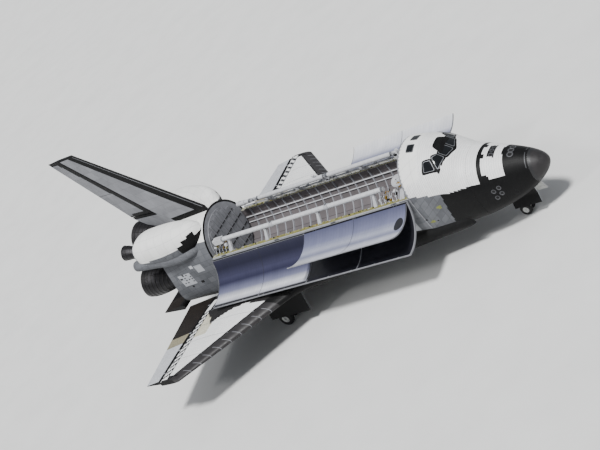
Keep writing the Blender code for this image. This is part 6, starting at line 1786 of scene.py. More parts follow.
@dataclass
class Pods:
    """The two pods on the aft fuselage, with their thruster housings and engines."""

    finishes: Finishes
    sections: tuple[tuple[float, ...], ...] = (
        (27.20, 1.50, 2.20, 0.10, 0.10),
        (27.45, 1.55, 2.20, 0.50, 0.52),
        (27.95, 1.68, 2.20, 0.84, 0.88),
        (28.70, 1.84, 2.20, 1.08, 1.16),
        (29.70, 2.00, 2.22, 1.22, 1.34),
        (30.70, 2.10, 2.24, 1.28, 1.40),
        (31.70, 2.12, 2.25, 1.28, 1.38),
        (32.60, 2.13, 2.25, 1.20, 1.24),
        (33.10, 2.14, 2.25, 1.00, 0.98),
    )
    fullness: float = 2.5
    lobe: tuple[tuple[float, ...], ...] = (
        (27.75, 2.20, 1.25, 0.10),
        (28.40, 2.50, 1.22, 0.32),
        (29.70, 2.80, 1.26, 0.42),
        (30.90, 2.90, 1.42, 0.46),
        (32.20, 2.94, 1.62, 0.46),
        (33.55, 2.97, 1.72, 0.42),
        (33.75, 2.98, 1.72, 0.38),
    )
    bell_start: float = 32.92

    def coats(self, grid: Array) -> Array:
        """White felt above, grey felt below as painted shade of the underside, and a black stepped patch low on the
        front's outer side.
        """
        station, across, height = centres(grid)
        coat = np.where(height > 2.12 - 0.03 * (station - 29), 0, 1)
        top = np.interp(station, [27.2, 27.55, 27.56, 27.95, 27.96, 28.45, 28.46, 28.9], [2.25, 2.25, 2.6, 2.6, 2.45, 2.45, 2.2, 2.2])
        coat = np.where((station < 28.9) & (height < top) & (across > 1.5), 2, coat)
        return np.where(station > 32.95, 1, coat)

    def build(self) -> None:
        """Rings are superellipses that follow smooth curves between the sections."""
        table = np.array(self.sections)
        stations = np.concatenate([27.20 + 0.75 * np.linspace(0, 1, 10)[:-1] ** 1.5, rows_between(27.95, 33.10, 0.12)])
        cy, cz, width, height = smooth_curve(stations, table[:, 0], table[:, 1:]).T[:, :, None]
        angle = np.linspace(0, 2 * math.pi, 97)[None]
        power = 2 / self.fullness
        y = cy + width * np.abs(np.cos(angle)) ** power * np.sign(np.cos(angle))
        z = cz + height * np.abs(np.sin(angle)) ** power * np.sign(np.sin(angle))
        grid = np.stack(np.broadcast_arrays(stations[:, None], y, z), axis=-1)
        for side, label, _ in SIDES:
            skin = Skin(f"oms_pod_{label}_skin", self.finishes("felt_blanket", "soot_blanket", "black_tile", "pale_tile", "machined_metal", "deep_shade"))
            skin.shell(side_of(grid, side), self.coats(grid), cap=1)
            run = np.concatenate([np.linspace(self.lobe[0][0], 33.60, 44), [33.70, 33.75]])
            lobe = np.array(self.lobe)
            y, z, radius = smooth_curve(run, lobe[:, 0], lobe[:, 1:]).T
            # The lobe takes the mid grey felt, painted as the shade along the pod's underside
            skin.tube(side_of(np.stack([run, y, z], axis=-1), side), radius, 1, 40)
            self.thrusters(skin, side)
            skin.build("airframe", f"oms_pod_{label}", slot="white_blanket")
            self.build_engine(side, label)

    def thrusters(self, skin: Skin, side: int) -> None:
        """Cups on the housing: outboard, upward and aft."""
        for station in (32.35, 32.75, 33.15, 33.50):
            skin.cup((station, side * 3.34, 1.72), (0, side, 0), 0.11, 4, 5)
        for station in (32.45, 32.85, 33.25):
            skin.cup((station, side * 2.92, 2.12), (0, 0, 1), 0.11, 4, 5)
            skin.cup((station, side * 2.92, 1.32), (0, 0, -1), 0.11, 4, 5)
        for y, z in ((2.85, 1.86), (3.11, 1.86), (2.85, 1.58), (3.11, 1.58)):
            skin.cup((33.74, side * y, z), (1, 0, 0), 0.10, 4, 5)

    def build_engine(self, side: int, label: str) -> None:
        """A bell with a few hat bands and its neck."""
        *_, y, z = (self.bell_start, *self.sections[-1][1:3])
        axis = nozzle_axis(15.0, side * 5.0)
        skin = Skin(f"oms_engine_{label}_bell", self.finishes("nozzle_outside", "nozzle_inside", "dark_metal"))
        origin = (self.bell_start, side * y, z)
        bell(skin, origin, axis, (0.30, 1.75), (0.26, 0.56), 0.02)
        for share in (0.25, 0.5, 0.75, 0.97):
            along = 0.30 + 1.45 * share
            hat_band(skin, origin, axis, along, bell_radius(share, 0.26, 0.56), 0.014, 0.03, 2)
        skin.tube([(33.1003, side * y, z + 0.06), (33.34, side * y, z + 0.06)], 0.22, 2, 24)
        skin.build("airframe", f"oms_engine_{label}", slot="engine_metal")


def nozzle_axis(up: float, out: float) -> Array:
    """Direction of an exhaust: aft, turned up and to port by two angles in degrees."""
    rise, yaw = math.radians(up), math.radians(out)
    return np.array([math.cos(rise) * math.cos(yaw), math.sin(yaw), math.sin(rise)])


def bell_radius(share: Array | float, throat: float, exit_radius: float) -> Array | float:
    """A bell's radius: it opens fast at the throat and is nearly straight at the lip."""
    return throat + (exit_radius - throat) * (1 - (1 - share) ** 1.75)


def bell(skin: Skin, origin: Points, axis: Array, span: tuple[float, float], radii: tuple[float, float], wall: float) -> None:
    """Adds a bell: the outside out to the lip, a rolled lip, and the inside back to a dark throat."""
    start, end = span
    share = np.linspace(0, 1, 40)
    along = start + (end - start) * share
    outside = bell_radius(share, *radii)
    profile = [(start, 0.0), *zip(along, outside)]
    profile += [(end + 0.012, outside[-1] - wall * 0.25), (end + 0.012, outside[-1] - wall * 0.75)]
    profile += [*zip(along[:4:-1], outside[:4:-1] - wall), (start + 0.10, radii[0] * 0.35), (start + 0.06, 0.0)]
    finish = np.full(len(profile) - 1, 0)
    finish[42:] = 1
    finish[-2:] = 2
    skin.turned(origin, axis, profile, finish, 96)


def hat_band(skin: Skin, origin: Points, axis: Array, along: float, radius: float, proud: float, width: float, finish: int) -> None:
    """Adds a stiffening hoop round a bell."""
    low, high, near, far = radius - 0.02, radius + proud, along - width / 2, along + width / 2
    profile = [(near, low), (near, high), (far, high), (far, low), (near, low)]
    skin.turned(origin, axis, profile, finish, 96)


@dataclass
class MainEngines:
    """Three main engines with their quilted domes, bells, hoops and feed lines."""

    finishes: Finishes
    length: float = 4.27
    start: float = 1.05
    throat: float = 0.42
    exit_radius: float = 1.19
    wall: float = 0.05
    places: tuple = (
        ("upper", (30.71, 0.0, 1.09), 16.0, 0.0, 1.25),
        ("port", (31.29, 1.35, -1.458), 10.0, 3.5, 1.35),
        ("starboard", (31.29, -1.35, -1.458), 10.0, -3.5, 1.35),
    )

    def build(self) -> None:
        """Builds each engine about its own axis."""
        for label, origin, up, out, dome in self.places:
            axis = nozzle_axis(up, out)
            skin = Skin(f"main_engine_{label}_bell", self.finishes("nozzle_outside", "nozzle_inside", "dark_metal", "engine_blanket", "dark_metal"))
            bell(skin, origin, axis, (self.start, self.length), (self.throat, self.exit_radius), self.wall)
            for share in (0.22, 0.32, 0.42, 0.52, 0.62, 0.72, 0.82, 0.91):
                along = self.start + (self.length - self.start) * share
                hat_band(skin, origin, axis, along, bell_radius(share, self.throat, self.exit_radius) - 0.012, 0.03, 0.06, 4)
            hat_band(skin, origin, axis, self.length - 0.05, self.exit_radius - 0.035, 0.035, 0.11, 2)
            turn = np.linspace(0, math.pi, 40)
            profile = [(-dome * math.cos(a), dome * math.sin(a)) for a in turn]
            skin.turned(origin, axis, profile, 3, 72)
            ring = math.sqrt(dome**2 - 1.0)
            hat_band(skin, origin, axis, 1.0, ring, 0.03, 0.10, 3)
            self.lines(skin, np.asarray(origin), axis)
            skin.build("airframe", f"main_engine_{label}", slot="engine_metal")

    def lines(self, skin: Skin, origin: Array, axis: Array) -> None:
        """Three drain lines down each bell, from its throat to the lip's manifold."""
        share = np.linspace(0.16, 0.95, 26)
        along = self.start + (self.length - self.start) * share
        radius = bell_radius(share, self.throat, self.exit_radius) + 0.012
        across = unit(np.cross(axis, [0.0, 0.0, 1.0]))
        other = np.cross(axis, across)
        for degrees in (60, 180, 300):
            angle = math.radians(degrees)
            spoke = across * math.cos(angle) + other * math.sin(angle)
            path = origin + axis * along[:, None] + spoke * radius[:, None]
            skin.tube(path, 0.024, 4, 8)


@dataclass
class Gear:
    """Landing gear: wheels, legs and the doors of the wells."""

    finishes: Finishes
    nose_station: float = 3.58
    main_station: float = 23.77
    track: float = 3.455
    nose_roof: float = -2.15
    main_roof: float = -2.62
    steer_top: float = -3.55
    flat: float = math.cos(math.pi / 24)

    def wheel(self, skin: Skin, centre: Array, way: int, radius: float, width: float, offset: float) -> None:
        """Adds a tyre with grooves."""
        rim = radius * 0.52
        w, r = width / 2, radius * self.flat
        bead = rim + (r - rim) * 0.06
        side = [(-w * 0.80, rim), (-w * 0.93, bead), (-w, rim + (r - rim) * 0.42), (-w * 0.95, rim + (r - rim) * 0.70)]
        side += [(-w * 0.84, rim + (r - rim) * 0.90), (-w * 0.66, r - 0.008)]
        tread = []
        for groove in (-0.42, -0.14, 0.14, 0.42):
            tread += [(w * (groove - 0.035), r), (w * (groove - 0.02), r - 0.012), (w * (groove + 0.02), r - 0.012), (w * (groove + 0.035), r)]
        other = [(-a, b) for a, b in side[::-1]]
        middle = centre + np.array([0, way * offset, 0])
        skin.turned(middle, (0, 1, 0), [*side, *tread, *other, side[0]], 0, 72)

    def hub(self, skin: Skin, centre: Array, way: int, radius: float, width: float, offset: float) -> None:
        """Adds a wheel: a flange, a dished face with a hub cap, and a ring of holes and bolts."""
        rim = radius * 0.52 - 0.0006
        w = width / 2
        outer = [(0.80 * w, rim), (0.80 * w, rim - 0.018), (0.45 * w, rim - 0.05), (0.30 * w, rim * 0.55), (0.50 * w, rim * 0.42)]
        outer += [(0.62 * w, rim * 0.40), (0.66 * w, rim * 0.30), (0.84 * w, rim * 0.22), (0.84 * w, 0.0)]
        inner = [(-0.5 * w, 0.0), (-0.5 * w, rim * 0.55), *[(-a, b) for a, b in outer[1::-1]]]
        middle = centre + np.array([0, way * offset, 0])
        skin.turned(middle, (0, way, 0), [*inner, *outer], 1, 48)
        for k in range(8):
            angle = 2 * math.pi * k / 8
            arm = np.array([math.cos(angle), 0, math.sin(angle)])
            hole = middle + arm * rim * 0.74 + np.array([0, way * 0.37 * w, 0])
            skin.turned(hole, (0, way, 0), [(-0.05, 0), (-0.05, rim * 0.12), (0.014, rim * 0.12), (0.014, rim * 0.09), (0.002, 0)], [2, 2, 1, 2], 14)
            bolt = middle + (arm * math.cos(0.4) + np.cross(arm, [0, 1, 0]) * math.sin(0.4)) * rim * 0.47 + np.array([0, way * 0.42 * w, 0])
            skin.turned(bolt, (0, way, 0), [(-0.02, 0), (-0.02, 0.012), (0.03, 0.012), (0.03, 0)], 1, 8)

    def build_wheels(self, name: str, body: str, joint: str, sizes: tuple[float, ...]) -> Array:
        """Builds a pair of wheels on their axle, and returns the axle's middle."""
        radius, width, offset, axle, sleeve = sizes
        centre = AIRFRAME.joint(joint)
        for way, label in ((1, "left"), (-1, "right")):
            tyre = Skin(f"{name}_{label}_tyre", self.finishes("tyre_rubber"), 50.0)
            self.wheel(tyre, centre, way, radius, width, offset)
            tyre.build(body, f"{name}_tyre_{label}", slot="tyre_rubber")
        hubs = Skin(f"{name}_hubs", self.finishes("machined_metal", "gear_paint", "dark_metal"))
        reach = np.array([0, offset + width * 0.42, 0])
        hubs.tube([centre - reach, centre + reach], axle, 0, 20)
        for way in (1, -1):
            self.hub(hubs, centre, way, radius, width, offset)
            near, far = centre + np.array([0, way * (sleeve + 0.0003), 0]), centre + np.array([0, way * (offset - 0.2 * width), 0])
            hubs.tube([near, near + (far - near) * 0.5, far], np.array([axle + 0.012, axle + 0.012, radius * 0.3]), 2, 24)
        hubs.build(body, f"{name}_axle", slot="bare_metal")
        return centre

    def door(self, name: str, node: str, side: int, span: tuple[float, float], sizes: tuple[float, ...]) -> None:
        """A door that hangs from the edge of its well: black tile outside, painted ribs inside."""
        edge, thick, top, bend, foot, lean = sizes
        stations = rows_between(*span, 0.15)
        z = np.concatenate([np.linspace(top, bend + thick, 5)[:-1], np.linspace(bend + thick, foot, 14)])
        shift = lean * np.clip((bend + thick - z) / (bend + thick - foot), 0, 1)
        outer = np.stack(np.broadcast_arrays(stations[:, None], (edge - 0.0003 + shift)[None], z[None]), axis=-1)
        inner = outer - [0.0, thick, 0.0]
        skin = Skin(name, self.finishes("black_tile", "gear_paint", "machined_metal"))
        skin.slab(side_of(outer, side), side_of(inner, side), 0, 1, 2)
        for station in np.linspace(span[0] + 0.12, span[1] - 0.12, 7):
            low = inner[:2, 3:-1].copy()
            low[:, :, 0] = np.array([[station - 0.02], [station + 0.02]])
            skin.slab(side_of(low - [0, 0.02, 0], side), side_of(low + [0, 0.002, 0], side), 1, 1, 1)
        skin.build("airframe", node, slot="black_tile")

    def bearing(self, skin: Skin, centre: Array, half: float, bore: float, wall: float, finish: int) -> None:
        """A sleeve round an axle, open along it: a closed profile turned round the axle's line."""
        inner, outer = bore + 0.004, bore + wall
        profile = [(-half, inner), (-half, outer), (half, outer), (half, inner), (-half, inner)]
        skin.turned(centre, (0, 1, 0), profile, finish, 32)

    def build_nose(self) -> None:
        """The fixed leg with its braces, and the steered fork."""
        centre = self.build_wheels("nose_wheels", "nose_wheels", "nose_wheel_spin", (0.406, 0.22, 0.28, 0.045, 0.13))
        s, z = self.nose_station, centre[2]
        leg = Skin("nose_leg_strut", self.finishes("gear_paint", "machined_metal", "dark_metal", "window_pane"))
        levels = [self.steer_top + 0.0003, -3.49, -3.48, -3.30, -3.29, -2.72, -2.70, self.nose_roof - 0.0006]
        sizes = [0.105, 0.105, 0.098, 0.098, 0.105, 0.105, 0.10, 0.10]
        leg.tube([(s, 0, level) for level in levels], np.array(sizes), 0, 32)
        leg.tube([(s, -0.499, -2.45), (s, 0.499, -2.45)], 0.06, 0, 20)
        leg.tube([(2.35, -0.499, -2.35), (2.35, 0.499, -2.35)], 0.045, 1, 20)
        for side in (1, -1):
            leg.tube([(s - 0.02, side * 0.06, -3.30), (2.35, side * 0.34, -2.35)], 0.04, 0, 16)
            leg.tube([(s + 0.05, side * 0.115, -2.5), (s + 0.06, side * 0.12, -3.0), (s + 0.05, side * 0.11, -3.42)], 0.012, 2, 8)
        leg.build("airframe", "nose_leg", slot="strut_white")
        fork = Skin("nose_fork", self.finishes("gear_paint", "machined_metal", "dark_metal"))
        self.bearing(fork, centre, 0.13, 0.045, 0.035, 1)
        fork.tube([(s, 0, z + 0.049), (s, 0, self.steer_top - 0.02)], 0.07, 1, 32)
        fork.tube([(s, 0, self.steer_top - 0.10), (s, 0, self.steer_top)], 0.115, 0, 32)
        self.links(fork, s, 0.0, z + 0.05, self.steer_top - 0.05, 0.30, 0.10)
        fork.build("nose_fork", "nose_steering_fork", slot="strut_white")

    def links(self, skin: Skin, station: float, y: float, low: float, high: float, reach: float, width: float) -> None:
        """Two torque links that meet behind the leg in a pin: each is a pair of straps and a web."""
        knee = (low + high) / 2
        for start in (low, high):
            for way in (-1, 1):
                ends = [(station + 0.05, y + way * width * 0.42, start), (station + reach, y + way * width * 0.30, knee)]
                skin.tube(ends, 0.018, 0, 10)
            web = np.array([[(station + 0.05, y - width * 0.4, start), (station + 0.05, y + width * 0.4, start)],
                            [(station + reach, y - width * 0.28, knee), (station + reach, y + width * 0.28, knee)]])
            skin.slab(web + [0, 0, 0.008], web - [0, 0, 0.008], 0, 0, 0)
        skin.tube([(station + reach, y - width * 0.5, knee), (station + reach, y + width * 0.5, knee)], 0.022, 1, 12)

    def build_main(self, side: int, label: str, word: str) -> None:
        """A main leg with its brace, torque links, brake lines and wheels."""
        centre = self.build_wheels(f"main_wheels_{label}", f"main_wheels_{word}", f"main_wheel_spin_{word}", (0.565, 0.41, 0.465, 0.075, 0.20))
        s, y, z = self.main_station, side * self.track, centre[2]
        leg = Skin(f"main_leg_{label}_strut", self.finishes("gear_paint", "machined_metal", "dark_metal"))
        self.bearing(leg, centre, 0.20, 0.075, 0.06, 0)
        leg.tube([(s, y, z + 0.085), (s, y, -4.40)], 0.12, 1, 32)
        levels = [-4.45, -4.44, -4.38, -4.37, -4.10, -4.08, self.main_roof - 0.0006]
        sizes = [0.16, 0.17, 0.17, 0.155, 0.155, 0.17, 0.17]
        leg.tube([(s, y, level) for level in levels], np.array(sizes), 0, 40)
        near, far = sorted((side * 2.751, side * 4.199))
        leg.tube([(s, near, -2.95), (s, far, -2.95)], 0.09, 0, 24)
        leg.tube([(21.85, near, -2.95), (21.85, far, -2.95)], 0.07, 0, 20)
        leg.tube([(s, y, -4.15), (21.85, y, -2.95)], 0.07, 0, 24)
        self.links(leg, s, y, z + 0.07, -4.35, 0.45, 0.16)
        for way in (-1, 1):
            path = [(s - 0.10, y + way * 0.15, -3.2), (s - 0.12, y + way * 0.16, -4.0), (s - 0.11, y + way * 0.17, -4.5), (s - 0.06, y + way * 0.19, z + 0.1)]
            leg.tube(path, 0.014, 2, 8)
        leg.build("airframe", f"main_leg_{label}", slot="strut_white")

    def build(self) -> None:
        """Builds the nose gear, both main gears and the four doors."""
        self.build_nose()
        for side, label, word in SIDES:
            self.build_main(side, label, word)
            nose = (0.50, 0.05, -2.90, -3.42, -4.02, 0.20)
            main = (4.20, 0.10, -3.05, -3.52, -4.85, 0.35)
            self.door(f"nose_gear_door_{label}_leaf", f"nose_gear_door_{label}", side, (1.86, 3.94), nose)
            self.door(f"main_gear_door_{label}_leaf", f"main_gear_door_{label}", side, (20.57, 24.38), main)


@dataclass
class Sill:
    """What stands on the bay's sills: the manipulator arm, the sensor boom and the dish antenna."""

    finishes: Finishes
    y: float = 1.93
    z: float = 1.12
    radius: float = 0.165
    top: float = 0.2803
    shoulder: float = 11.30
    elbow: float = 17.68
    elbow_drop: float = 0.31
    wrist: float = 24.74
    tip: float = 26.45
    reach: float = 0.32
    rests: tuple[float, ...] = (14.6, 20.6, 23.6)
    boom: tuple[float, float] = (10.60, 25.84)
    boom_bands: tuple[float, ...] = (15.6, 20.8)
    boom_rests: tuple[float, ...] = (11.6, 16.6, 21.6, 25.2)

    def limb(self, skin: Skin, first: float, last: float, side: int, radius: float = 0.165) -> None:
        """A wrapped tube with a band every half metre or so and a fitting at each end."""
        count = max(2, round((last - first) / 0.55))
        levels, sizes = [first], [radius * 0.96]
        for start in np.linspace(first, last, count + 1)[:-1]:
            step = (last - first) / count
            levels += [start + 0.02, start + 0.10, start + 0.12, start + step - 0.005]
            sizes += [radius, radius, radius * 0.97, radius * 0.97]
        line = np.array([(s, side * self.y, self.z) for s in (*levels, last)])
        skin.tube(line, np.array([*sizes, radius * 0.96]), 0, 32)
        for start in (first, last - 0.18):
            ends = [(start + 0.002, side * self.y, self.z), (start + 0.178, side * self.y, self.z)]
            skin.tube(ends, radius * 1.0, 2, 32)

    def post(self, skin: Skin, station: float, side: int, foot: tuple, head: tuple, finish: int = 1) -> None:
        """A leaning post: four corners at its foot and four at its head."""
        rings = []
        for half, inner, outer, z in (foot, head):
            corners = [(station - half, inner), (station + half, inner), (station + half, outer), (station - half, outer)]
            rings.append([(s, side * y, z) for s, y in (*corners, corners[0])])
        skin.shell(np.array(rings), finish, cap=finish)

    def cradle(self, skin: Skin, station: float, side: int, top: float) -> None:
        """A post and a pad under the tube."""
        self.post(skin, station, side, (0.16, 2.38, 2.52, self.top), (0.08, self.y - 0.10, self.y + 0.12, top - 0.06))
        low, high = sorted((side * (self.y - 0.14), side * (self.y + 0.14)))
        skin.block((station - 0.10, low, top - 0.12), (station + 0.10, high, top), 1)

    def build_shoulder(self) -> None:
        """The pedestal, its yoke and cheeks, the sill rail and the cradles."""
        skin = Skin("arm_shoulder_mount", self.finishes("cloth_wrap", "frame_paint", "machined_metal"))
        s, y = self.shoulder, self.y
        self.post(skin, s, PORT, (0.30, 2.34, 2.56, self.top), (0.16, y - 0.18, y + 0.20, 0.80), 0)
        skin.block((s - 0.17, y - 0.21, 0.72), (s + 0.17, y + 0.21, 0.88), 0)
        for way in (1, -1):
            near, far = y + way * 0.1003, y + way * 0.20
            skin.tube([(s, near, self.z), (s, far, self.z)], 0.17, 0, 32)
            skin.tube([(s, far - way * 0.01, self.z), (s, far + way * 0.015, self.z)], 0.09, 2, 24)
            low, high = sorted((near, far))
            skin.block((s - 0.17, low, 0.80), (s + 0.17, high, self.z), 0)
        skin.block((s - 0.3, 2.39, self.top), (self.rests[-1] + 0.2, 2.50, 0.34), 1)
        for station in self.rests:
            self.cradle(skin, station, PORT, self.z - self.radius - 0.0003)
        for start in rows_between(s + 0.6, self.rests[-1] - 0.2, 0.55):
            skin.tube([(start, 2.42, 0.345), (start + 0.20, 2.47, 0.345)], 0.012, 2, 8)
        skin.build("airframe", "arm_shoulder", slot="strut_white")

    def build_limbs(self) -> None:
        """Upper arm with the elbow's cheeks, lower arm with its lug, and the end effector."""
        y, z = self.y, self.z
        low = z - self.elbow_drop
        upper = Skin("arm_upper_limb", self.finishes("cloth_wrap", "frame_paint", "machined_metal", "window_pane"))
        self.limb(upper, self.shoulder + 0.26, self.elbow - 0.05, PORT)
        upper.block((self.shoulder, y - 0.09, z - 0.12), (self.shoulder + 0.32, y + 0.09, z + 0.12), 1)
        upper.tube([(self.shoulder, y - 0.10, z), (self.shoulder, y + 0.10, z)], 0.17, 1, 32)
        for way in (1, -1):
            near, far = y + way * 0.0703, y + way * 0.1403
            upper.tube([(self.elbow, near, low), (self.elbow, far, low)], 0.13, 1, 28)
            self.plate(upper, near, far, ((-0.13, low), (0.13, low), (-0.12, z), (-0.42, z)))
        upper.build("upper_arm", "arm_upper", slot="strut_white")
        lower = Skin("arm_lower_limb", self.finishes("cloth_wrap", "frame_paint", "machined_metal", "window_pane"))
        self.limb(lower, self.elbow + 0.05, self.wrist - self.reach, PORT)
        lower.tube([(self.elbow, y - 0.07, low), (self.elbow, y + 0.07, low)], 0.13, 1, 28)
        self.plate(lower, y - 0.07, y + 0.07, ((-0.10, low), (0.12, low), (0.40, z), (0.12, z)))
        self.wrist_plate(lower, -1, y - 0.05, y + 0.05)
        lower.block((self.elbow + 0.75, y - 0.07, z + 0.15), (self.elbow + 1.0, y + 0.07, z + 0.24), 1)
        lower.tube([(self.elbow + 0.88, y, z + 0.30), (self.elbow + 1.14, y, z + 0.30)], 0.06, 0, 20)
        lower.tube([(self.elbow + 1.141, y, z + 0.30), (self.elbow + 1.15, y, z + 0.30)], 0.045, 3, 20)
        lower.build("lower_arm", "arm_lower", slot="strut_white")
        hand = Skin("arm_end_effector_can", self.finishes("cloth_wrap", "frame_paint", "machined_metal", "deep_shade"))
        self.limb(hand, self.wrist + self.reach, self.tip - 0.60, PORT, self.radius * 0.95)
        can = [(self.tip - 0.75, 0.157), (self.tip - 0.72, 0.19), (self.tip - 0.10, 0.19), (self.tip - 0.08, 0.18), (self.tip, 0.18)]
        hand.tube([(s, y, z) for s, _ in can], np.array([r for _, r in can]), 0, 36)
        for way in (1, -1):
            near, far = sorted((y + way * 0.0503, y + way * 0.11))
            self.wrist_plate(hand, 1, near, far)
        for degrees in (90, 210, 330):
            angle = math.radians(degrees)
            c, s = math.cos(angle), math.sin(angle)
            ends = [(self.tip - 0.5, y + 0.19 * c, z + 0.19 * s), (self.tip - 0.2, y + 0.19 * c, z + 0.19 * s)]
            hand.tube(ends, 0.02, 2, 10)
        hand.build("end_effector", "arm_end_effector", slot="strut_white")

    def plate(self, skin: Skin, near: float, far: float, outline: tuple) -> None:
        """A flat plate: an outline in station and height, between two values of y."""
        ring = [(self.elbow + s, z) for s, z in (*outline, outline[0])]
        skin.shell(np.array([[(s, y, z) for s, z in ring] for y in (near, far)]), 1, cap=1)

    def wrist_plate(self, skin: Skin, way: int, near: float, far: float) -> None:
        """A disc on the wrist's pin, with a plate to the tube beside it."""
        skin.tube([(self.wrist, near, self.z), (self.wrist, far, self.z)], 0.12, 1, 28)
        front, back = sorted((self.wrist, self.wrist + way * (self.reach + 0.03)))
        skin.block((front, near, self.z - 0.10), (back, far, self.z + 0.10), 1)

    def build_boom(self) -> None:
        """The boom with its grapple bands, sensor head and cradles."""
        skin = Skin("sensor_boom_limb", self.finishes("cloth_wrap", "frame_paint", "machined_metal", "window_pane"))
        first, last = self.boom
        middle = (first, self.boom_bands[0], self.boom_bands[1], last)
        for start, end in zip(middle, middle[1:]):
            self.limb(skin, start, end, STARBOARD)
        for station in self.boom_bands:
            levels = [station - 0.18, station - 0.16, station + 0.16, station + 0.18]
            skin.tube([(s, -self.y, self.z) for s in levels], np.array([0.17, 0.20, 0.20, 0.17]), 1, 32)
            skin.turned((station, -self.y, self.z + 0.19), (0, 0, 1), [(0, 0), (0, 0.10), (0.012, 0.10), (0.012, 0)], 2, 24)
        skin.block((last - 0.1, -self.y - 0.20, self.z - 0.24), (last + 0.75, -self.y + 0.22, self.z + 0.16), 0)
        for s, dy, size in ((0.15, -0.05, 0.08), (0.45, 0.06, 0.06)):
            skin.turned((last + s, -self.y + dy, self.z - 0.245), (0, 0, -1), [(-0.02, 0), (-0.02, size), (0.02, size), (0.005, 0)], [2, 2, 3], 20)
        skin.block((last + 0.02, -self.y - 0.16, self.z + 0.158), (last + 0.62, -self.y + 0.18, self.z + 0.172), 1)
        for station in self.boom_rests:
            self.cradle(skin, station, STARBOARD, self.z - self.radius + 0.02)
        skin.build("airframe", "sensor_boom", slot="strut_white")

    def build_antenna(self) -> None:
        """A dish on a boxed gimbal, with a feed on three struts."""
        skin = Skin("dish_antenna_assembly", self.finishes("frame_paint", "gold_foil", "machined_metal", "silver_foil"))
        profile = [(0.02, 0.0), (0.025, 0.06), (0.04, 0.16), (0.06, 0.24), (0.10, 0.32), (0.14, 0.39), (0.19, 0.45)]
        profile += [(0.22, 0.45), (0.17, 0.38), (0.13, 0.31), (0.10, 0.23), (0.07, 0.15), (0.06, 0.06), (0.055, 0.0)]
        axis = unit(np.array([-0.10, -0.45, 0.90]))
        centre = np.array([9.45, -1.60, 1.08])
        skin.turned(centre, axis, profile, 0, 48)
        across = unit(np.cross(axis, [1.0, 0.0, 0.0]))
        other = np.cross(axis, across)
        for degrees in (30, 150, 270):
            spoke = across * math.cos(math.radians(degrees)) + other * math.sin(math.radians(degrees))
            skin.tube([centre + axis * 0.12 + spoke * 0.30, centre + axis * 0.34 + spoke * 0.03], 0.008, 2, 8)
        skin.turned(centre + axis * 0.30, axis, [(0, 0), (0, 0.03), (0.05, 0.05), (0.07, 0.05), (0.07, 0)], 2, 20)
        skin.block((9.07, -1.77, 0.78), (9.65, -1.30, 1.12), 1)
        skin.block((9.12, -1.72, 1.1195), (9.38, -1.34, 1.135), 3)
        self.post(skin, 9.35, STARBOARD, (0.22, 2.37, 2.54, self.top), (0.12, 1.42, 1.74, 0.84), 0)
        skin.build("airframe", "dish_antenna", slot="bare_metal")

    def build_rails(self) -> None:
        """A thin rail beside the arm, on struts from the port sill."""
        skin = Skin("port_sill_rail", self.finishes("cloth_wrap", "frame_paint", "machined_metal"))
        y, z = 2.22, 0.66
        skin.tube([(s, y, z) for s in np.linspace(11.9, 24.0, 30)], 0.06, 0, 16)
        for s in rows_between(12.3, 23.7, 1.27):
            skin.tube([(s, 2.44, self.top), (s, 2.38, 0.45), (s, y, z)], 0.028, 1, 10)
            skin.tube([(s - 0.12, y, z), (s + 0.12, y, z)], 0.085, 2, 16)
            skin.tube([(s + 0.05, 2.43, self.top), (s + 0.62, y, z)], 0.018, 1, 8)
        skin.build("airframe", slot="strut_white")

    def build_crust(self, side: int, label: str) -> None:
        """Sealant, clips, cable ties and small boxes along a sill: many small blocks, each a little different.

        The draws are seeded, so that the same blocks come each run.
        """
        names = ("yellow_trim", "gold_foil", "dark_metal", "frame_paint", "liner_cloth", "olive_patch")
        skin = Skin(f"sill_fittings_{label}", self.finishes(*names), 20.0)
        draw = np.random.default_rng(7 + side)
        for start, end in ((9.0, 9.85), (10.12, 15.15), (15.43, 20.44), (20.72, 24.1), (24.8, 25.74)):
            low, far = sorted((side * 2.37, side * 2.60))
            skin.block((start, low, self.top), (end, far, self.top + 0.012), 0)
        for start in np.arange(9.0, 26.6, 0.065):
            long, wide, high = draw.uniform(0.03, 0.12), draw.uniform(0.03, 0.09), draw.uniform(0.02, 0.10)
            y = draw.uniform(2.37, 2.62 - wide)
            finish = int(draw.choice(6, p=[0.34, 0.12, 0.2, 0.16, 0.1, 0.08]))
            if 24.1 < start < 24.75 or y + wide > 2.52 and high > 0.028:
                continue
            low, far = sorted((side * y, side * (y + wide)))
            skin.block((start, low, self.top), (start + long, far, self.top + high), finish)
        skin.build("airframe", slot="bare_metal")

